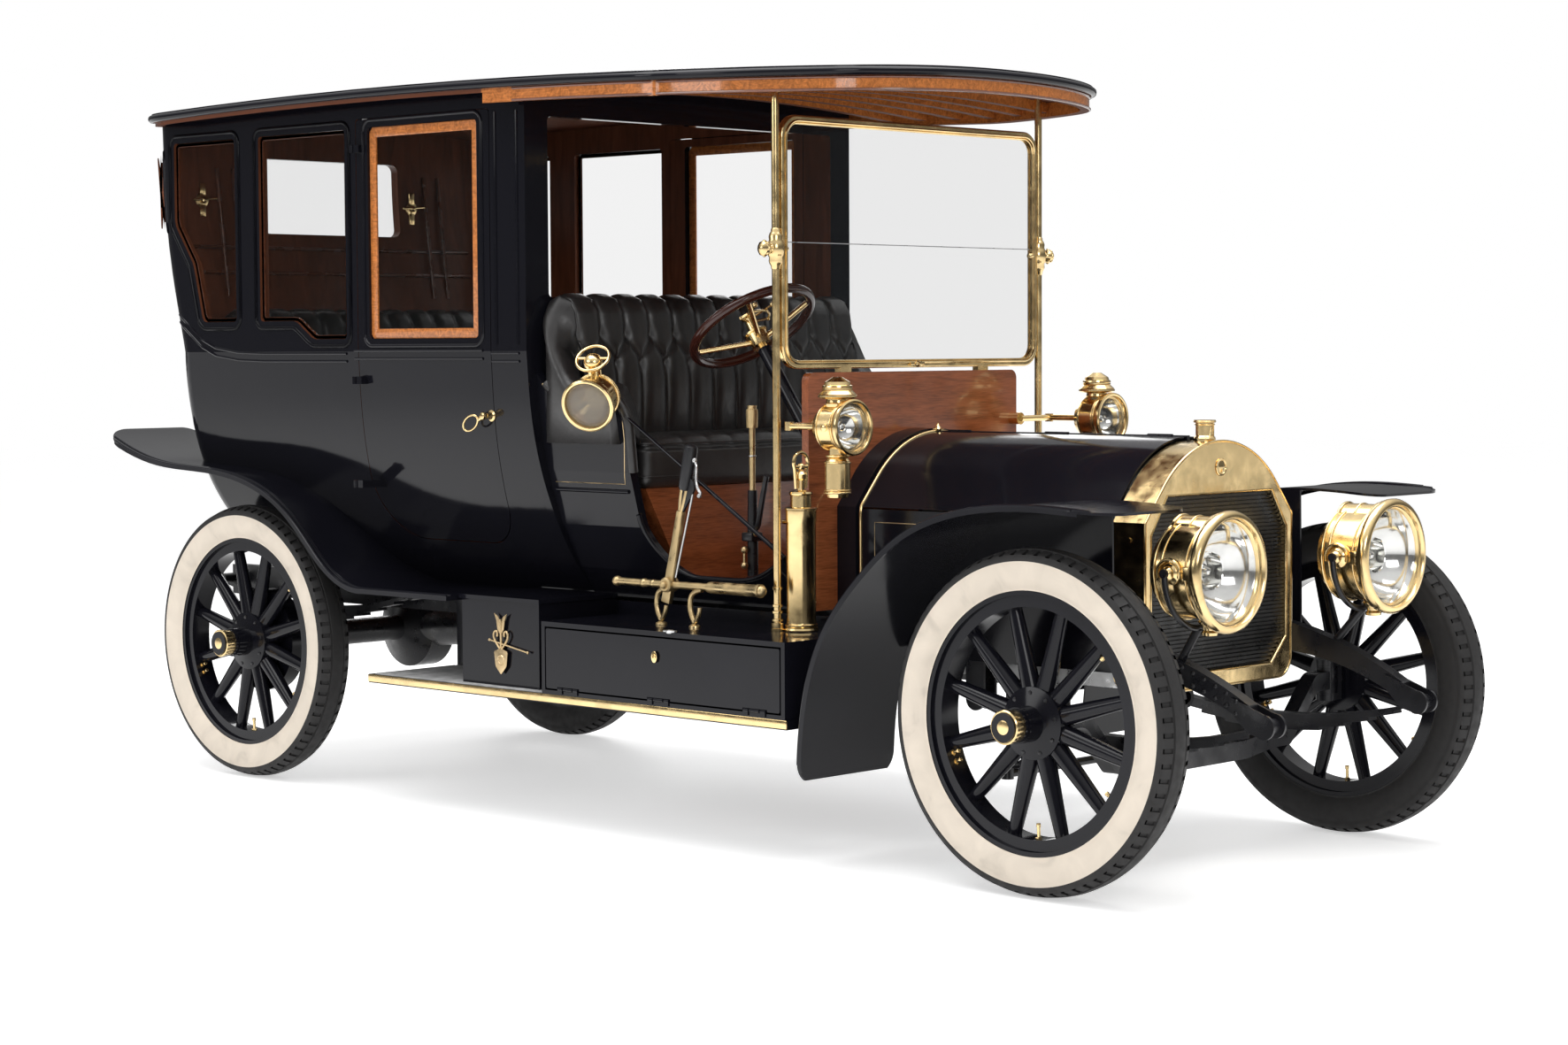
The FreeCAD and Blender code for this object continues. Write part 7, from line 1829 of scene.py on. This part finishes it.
BOARD_TOP_Z = 0.39
BOARD_OUTER_Y = 0.8
BOARD_REAR_X = -0.798
BOARD_FRONT_X = 0.957
BOARD_WIDTH = 0.35


def add_boards():
    """Brass edging and pale ribbed mats on the running boards."""
    edge, mats = bmesh.new(), bmesh.new()
    mat_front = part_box("tool_boxes")[0].x - 0.004
    for side in (-1, 1):
        y = side * BOARD_OUTER_Y
        points = [(BOARD_REAR_X, y - side * 0.34), (BOARD_REAR_X, y), (BOARD_FRONT_X, y)]
        for here, ahead in zip(points, points[1:]):
            low = [min(pair) - 0.002 for pair in zip(here, ahead)]
            high = [max(pair) + 0.002 for pair in zip(here, ahead)]
            add_block(edge, (*low, BOARD_TOP_Z - 0.021), (*high, BOARD_TOP_Z + 0.002), 0.0015)
        inner, outer = sorted((y - side * 0.014, side * (BOARD_OUTER_Y - BOARD_WIDTH)))
        add_block(mats, (BOARD_REAR_X + 0.012, inner, BOARD_TOP_Z), (mat_front, outer, BOARD_TOP_Z + 0.003),
                  0.001)
    new_piece("board_edging", edge, "brass")
    new_piece("board_mats", mats, "mat")


def add_steering_trim():
    """The spark and throttle quadrant above the wheel's hub."""
    axis = STEERING_AXIS
    ahead = ALONG_Y.cross(axis)
    hub = STEERING_CENTRE - axis * 0.036
    shape = bmesh.new()
    add_turned(shape, ((0.008, 0), (0.008, 0.034), (0.012, 0.036), (0.016, 0.03), (0.02, 0.018),
                       (0.06, 0.015), (0.064, 0.02), (0.068, 0.02), (0.072, 0.012), (0.08, 0.008),
                       (0.082, 0)), hub, axis, steps=32)
    disc = hub + axis * 0.05
    arc = [disc + (ALONG_Y * u + ahead * v) for u, v in corner_arc((0, 0), 0.06, 20, 160, 16)]
    add_tube(shape, arc, 0.0042)
    for end in (arc[0], arc[-1]):
        add_rod(shape, disc, end, 0.0038, segments=10)
        add_ball(shape, end, 0.0065, segments=12)
    for turn, length in ((62, 0.082), (115, 0.078)):
        spoke = ALONG_Y * math.cos(math.radians(turn)) + ahead * math.sin(math.radians(turn))
        add_rod(shape, disc + axis * 0.01, disc + spoke * length + axis * 0.012, 0.0042, segments=10,
                end_radius=0.003)
        add_ball(shape, disc + spoke * length + axis * 0.012, 0.0085, segments=14)
    new_piece("steering_quadrant", shape, "brass", "steering_wheel", sharp=34)


LINING_LOW_Z = 0.99


def add_tub_trim():
    """The black rolled rim of the entry cut-out and the gold lining on the tub's sides."""
    sizes = bpy.context.scene.car_fittings
    tub_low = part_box("driver_tub")[0]
    rims, lines, ledge = bmesh.new(), bmesh.new(), bmesh.new()
    skin = Skin("driver_tub")
    for side in (-1, 1):
        loop = max(outline_loops("driver_tub", (0, side, 0), 0.5), key=len)
        edge = [point for point in loop if point.z > LINING_LOW_Z - 0.3 and point.x > tub_low.x + 0.004]
        entry = [point for point in edge if point.x > 0.1 and point.z < 1.2]
        entry.sort(key=lambda point: math.atan2(point.z - 1.0, point.x - 0.45))
        if entry:
            add_tube(rims, sparse(entry, 0.02), 0.0075, sides=10)
        outline = [(tub_low.x + 0.022, LINING_LOW_Z), (0.143, LINING_LOW_Z), (0.156, LINING_LOW_Z + 0.05),
                   (0.172, 1.12), (0.176, 1.19), (0.16, 1.222)]
        add_tube(lines, skin.line(spaced(outline, 0.03, cyclic=False), side, 0.0003),
                 sizes.lining_width * 0.8, sides=4)
        low_line = [(tub_low.x + 0.012, LINING_LOW_Z - 0.022), (0.15, LINING_LOW_Z - 0.022)]
        add_tube(ledge, skin.line(spaced(low_line, 0.04, cyclic=False), side), 0.0065, sides=10)
    new_piece("entry_rims", rims, "paint")
    new_piece("tub_lining", lines, "stripe")
    new_piece("tub_ledges", ledge, "paint")


FENDER_BEAD_INSETS = (0.004, 0.024)
FENDER_BEAD_RADIUS = 0.0042
FENDER_TAIL_Z = 0.62
FENDER_STEPS = 110


def add_fender_beads():
    """Twin beads along the outer edge of each fender."""
    shape = bmesh.new()
    for node in ("front_fenders", "rear_fenders"):
        skin = Skin(node)
        low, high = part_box(node)
        for side in (-1, 1):
            for inset in FENDER_BEAD_INSETS:
                y = side * (high.y - inset)
                heights = [between(low.z + 0.006, FENDER_TAIL_Z, step / 20) for step in range(21)]
                tail = [skin.hit((low.x - 1, y, z), ALONG_X, 1.3) for z in heights]
                line = [found[0] for found in tail if found and found[0].x < low.x + 0.25]
                start = line[-1].x if line else low.x
                for step in range(FENDER_STEPS + 1):
                    found = skin.hit((between(start + 0.004, high.x - 0.004, step / FENDER_STEPS), y, 2.0),
                                     -ALONG_Z)
                    if found:
                        line.append(found[0])
                add_tube(shape, line, FENDER_BEAD_RADIUS)
    new_piece("fender_beads", shape, "paint")


RAIL_Y = 0.352
RIVET_COUNT = 11
RIVET_PITCH = 0.034
RIVET_HEAD = ((-0.001, 0.0068), (0.0022, 0.006), (0.0044, 0.003), (0.0048, 0))


def add_chassis_rivets():
    """Rows of rivet heads on the dumb irons and along the rails."""
    skin = Skin("frame_rails")
    front_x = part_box("frame_rails")[1].x
    shape = bmesh.new()
    for side in (-1, 1):
        for step in range(RIVET_COUNT):
            x = front_x - 0.045 - step * RIVET_PITCH
            top = skin.hit((x, side * RAIL_Y, 2.0), -ALONG_Z)
            bottom = skin.hit((x, side * RAIL_Y, -0.5), ALONG_Z)
            if top is None or bottom is None:
                continue
            for share in (0.22, 0.78):
                z = between(bottom[0].z, top[0].z, share)
                face = skin.hit((x, side * 2, z), (0, -side, 0))
                if face:
                    add_turned(shape, RIVET_HEAD, face[0], (0, side, 0), steps=12)
    new_piece("chassis_rivets", shape, "iron")


# Operators, one for each group of pieces

class LIMOUSINE_OT_stage(bpy.types.Operator):
    """Set up the pale studio, its lamps and the camera"""
    bl_idname = "limousine.stage"
    bl_label = "Studio"

    def execute(self, context):
        add_stage()
        return {"FINISHED"}


class LIMOUSINE_OT_coachwork(bpy.types.Operator):
    """Give every solid of the car its real finish"""
    bl_idname = "limousine.coachwork"
    bl_label = "Coachwork Finishes"

    def execute(self, context):
        add_coachwork()
        return {"FINISHED"}


class LIMOUSINE_OT_wheels(bpy.types.Operator):
    """Mould the tyres and add hub caps, bolts and valves to the wheels"""
    bl_idname = "limousine.wheels"
    bl_label = "Wheels"

    def execute(self, context):
        add_tyres()
        add_wheel_fittings()
        return {"FINISHED"}


class LIMOUSINE_OT_seats(bpy.types.Operator):
    """Upholster both benches with rolled and buttoned backs"""
    bl_idname = "limousine.seats"
    bl_label = "Seats"

    def execute(self, context):
        add_front_seat()
        add_rear_seat()
        return {"FINISHED"}


class LIMOUSINE_OT_cabin(bpy.types.Operator):
    """Bead the windows, lay the belt mouldings and fit out the cabin"""
    bl_idname = "limousine.cabin"
    bl_label = "Cabin"

    def execute(self, context):
        add_cabin_trim()
        add_cabin_fittings()
        return {"FINISHED"}


class LIMOUSINE_OT_windscreen(bpy.types.Operator):
    """Bead the windscreen and turn its clamps"""
    bl_idname = "limousine.windscreen"
    bl_label = "Windscreen Trim"

    def execute(self, context):
        add_windscreen_trim()
        return {"FINISHED"}


class LIMOUSINE_OT_roof(bpy.types.Operator):
    """Round the roof's rim and bead its fascia"""
    bl_idname = "limousine.roof"
    bl_label = "Roof Trim"

    def execute(self, context):
        add_roof_trim()
        return {"FINISHED"}


class LIMOUSINE_OT_lamps(bpy.types.Operator):
    """Spin the beads, bezels and bowls of the five lamps"""
    bl_idname = "limousine.lamps"
    bl_label = "Lamps"

    def execute(self, context):
        add_headlamps()
        add_side_lamps()
        add_spot_lamp()
        return {"FINISHED"}


class LIMOUSINE_OT_pump(bpy.types.Operator):
    """Turn the brass hand pump"""
    bl_idname = "limousine.pump"
    bl_label = "Hand Pump"

    def execute(self, context):
        add_pump()
        return {"FINISHED"}


class LIMOUSINE_OT_levers(bpy.types.Operator):
    """Shape the brake and gear levers"""
    bl_idname = "limousine.levers"
    bl_label = "Levers"

    def execute(self, context):
        add_levers()
        return {"FINISHED"}


class LIMOUSINE_OT_radiator(bpy.types.Operator):
    """Bead the radiator and set its plain badge"""
    bl_idname = "limousine.radiator"
    bl_label = "Radiator Trim"

    def execute(self, context):
        add_radiator_trim()
        return {"FINISHED"}


class LIMOUSINE_OT_hood(bpy.types.Operator):
    """Line the hood and bead the cowl"""
    bl_idname = "limousine.hood"
    bl_label = "Hood Trim"

    def execute(self, context):
        add_hood_trim()
        return {"FINISHED"}


class LIMOUSINE_OT_boxes(bpy.types.Operator):
    """Fit the locks, latches and ornament of the boxes"""
    bl_idname = "limousine.boxes"
    bl_label = "Box Fittings"

    def execute(self, context):
        add_boxes()
        return {"FINISHED"}


class LIMOUSINE_OT_boards(bpy.types.Operator):
    """Edge the running boards and lay their mats"""
    bl_idname = "limousine.boards"
    bl_label = "Running Boards"

    def execute(self, context):
        add_boards()
        return {"FINISHED"}


class LIMOUSINE_OT_steering(bpy.types.Operator):
    """Fit the quadrant above the steering wheel"""
    bl_idname = "limousine.steering"
    bl_label = "Steering Trim"

    def execute(self, context):
        add_steering_trim()
        return {"FINISHED"}


class LIMOUSINE_OT_coachlines(bpy.types.Operator):
    """Roll the entry's rim, line the tub and bead the fenders"""
    bl_idname = "limousine.coachlines"
    bl_label = "Tub and Fender Trim"

    def execute(self, context):
        add_tub_trim()
        add_fender_beads()
        return {"FINISHED"}


class LIMOUSINE_OT_rivets(bpy.types.Operator):
    """Set the rivets of the chassis"""
    bl_idname = "limousine.rivets"
    bl_label = "Chassis Rivets"

    def execute(self, context):
        add_chassis_rivets()
        return {"FINISHED"}


OPERATORS = (
    LIMOUSINE_OT_stage, LIMOUSINE_OT_coachwork, LIMOUSINE_OT_wheels, LIMOUSINE_OT_seats,
    LIMOUSINE_OT_cabin, LIMOUSINE_OT_windscreen, LIMOUSINE_OT_roof, LIMOUSINE_OT_lamps, LIMOUSINE_OT_pump,
    LIMOUSINE_OT_levers, LIMOUSINE_OT_radiator, LIMOUSINE_OT_hood, LIMOUSINE_OT_boxes,
    LIMOUSINE_OT_boards, LIMOUSINE_OT_steering, LIMOUSINE_OT_coachlines, LIMOUSINE_OT_rivets,
)


class LIMOUSINE_PT_panel(bpy.types.Panel):
    """Lists the pieces of the car in the sidebar"""
    bl_idname = "LIMOUSINE_PT_panel"
    bl_label = "Limousine"
    bl_space_type = "VIEW_3D"
    bl_region_type = "UI"
    bl_category = "Limousine"

    def draw(self, context):
        for group in (context.scene.car_finish, context.scene.car_fittings):
            for name in group.__annotations__:
                self.layout.prop(group, name)
        for operator in OPERATORS:
            self.layout.operator(operator.bl_idname)


CLASSES = (CarFinish, CarFittings) + OPERATORS + (LIMOUSINE_PT_panel,)


def register():
    for item in CLASSES:
        bpy.utils.register_class(item)
    bpy.types.Scene.car_finish = PointerProperty(type=CarFinish)
    bpy.types.Scene.car_fittings = PointerProperty(type=CarFittings)


def unregister():
    del bpy.types.Scene.car_fittings
    del bpy.types.Scene.car_finish
    for item in reversed(CLASSES):
        bpy.utils.unregister_class(item)


def main():
    register()
    for operator in OPERATORS:
        getattr(bpy.ops.limousine, operator.bl_idname.split(".")[1])()


if __name__ == "__main__":
    main()
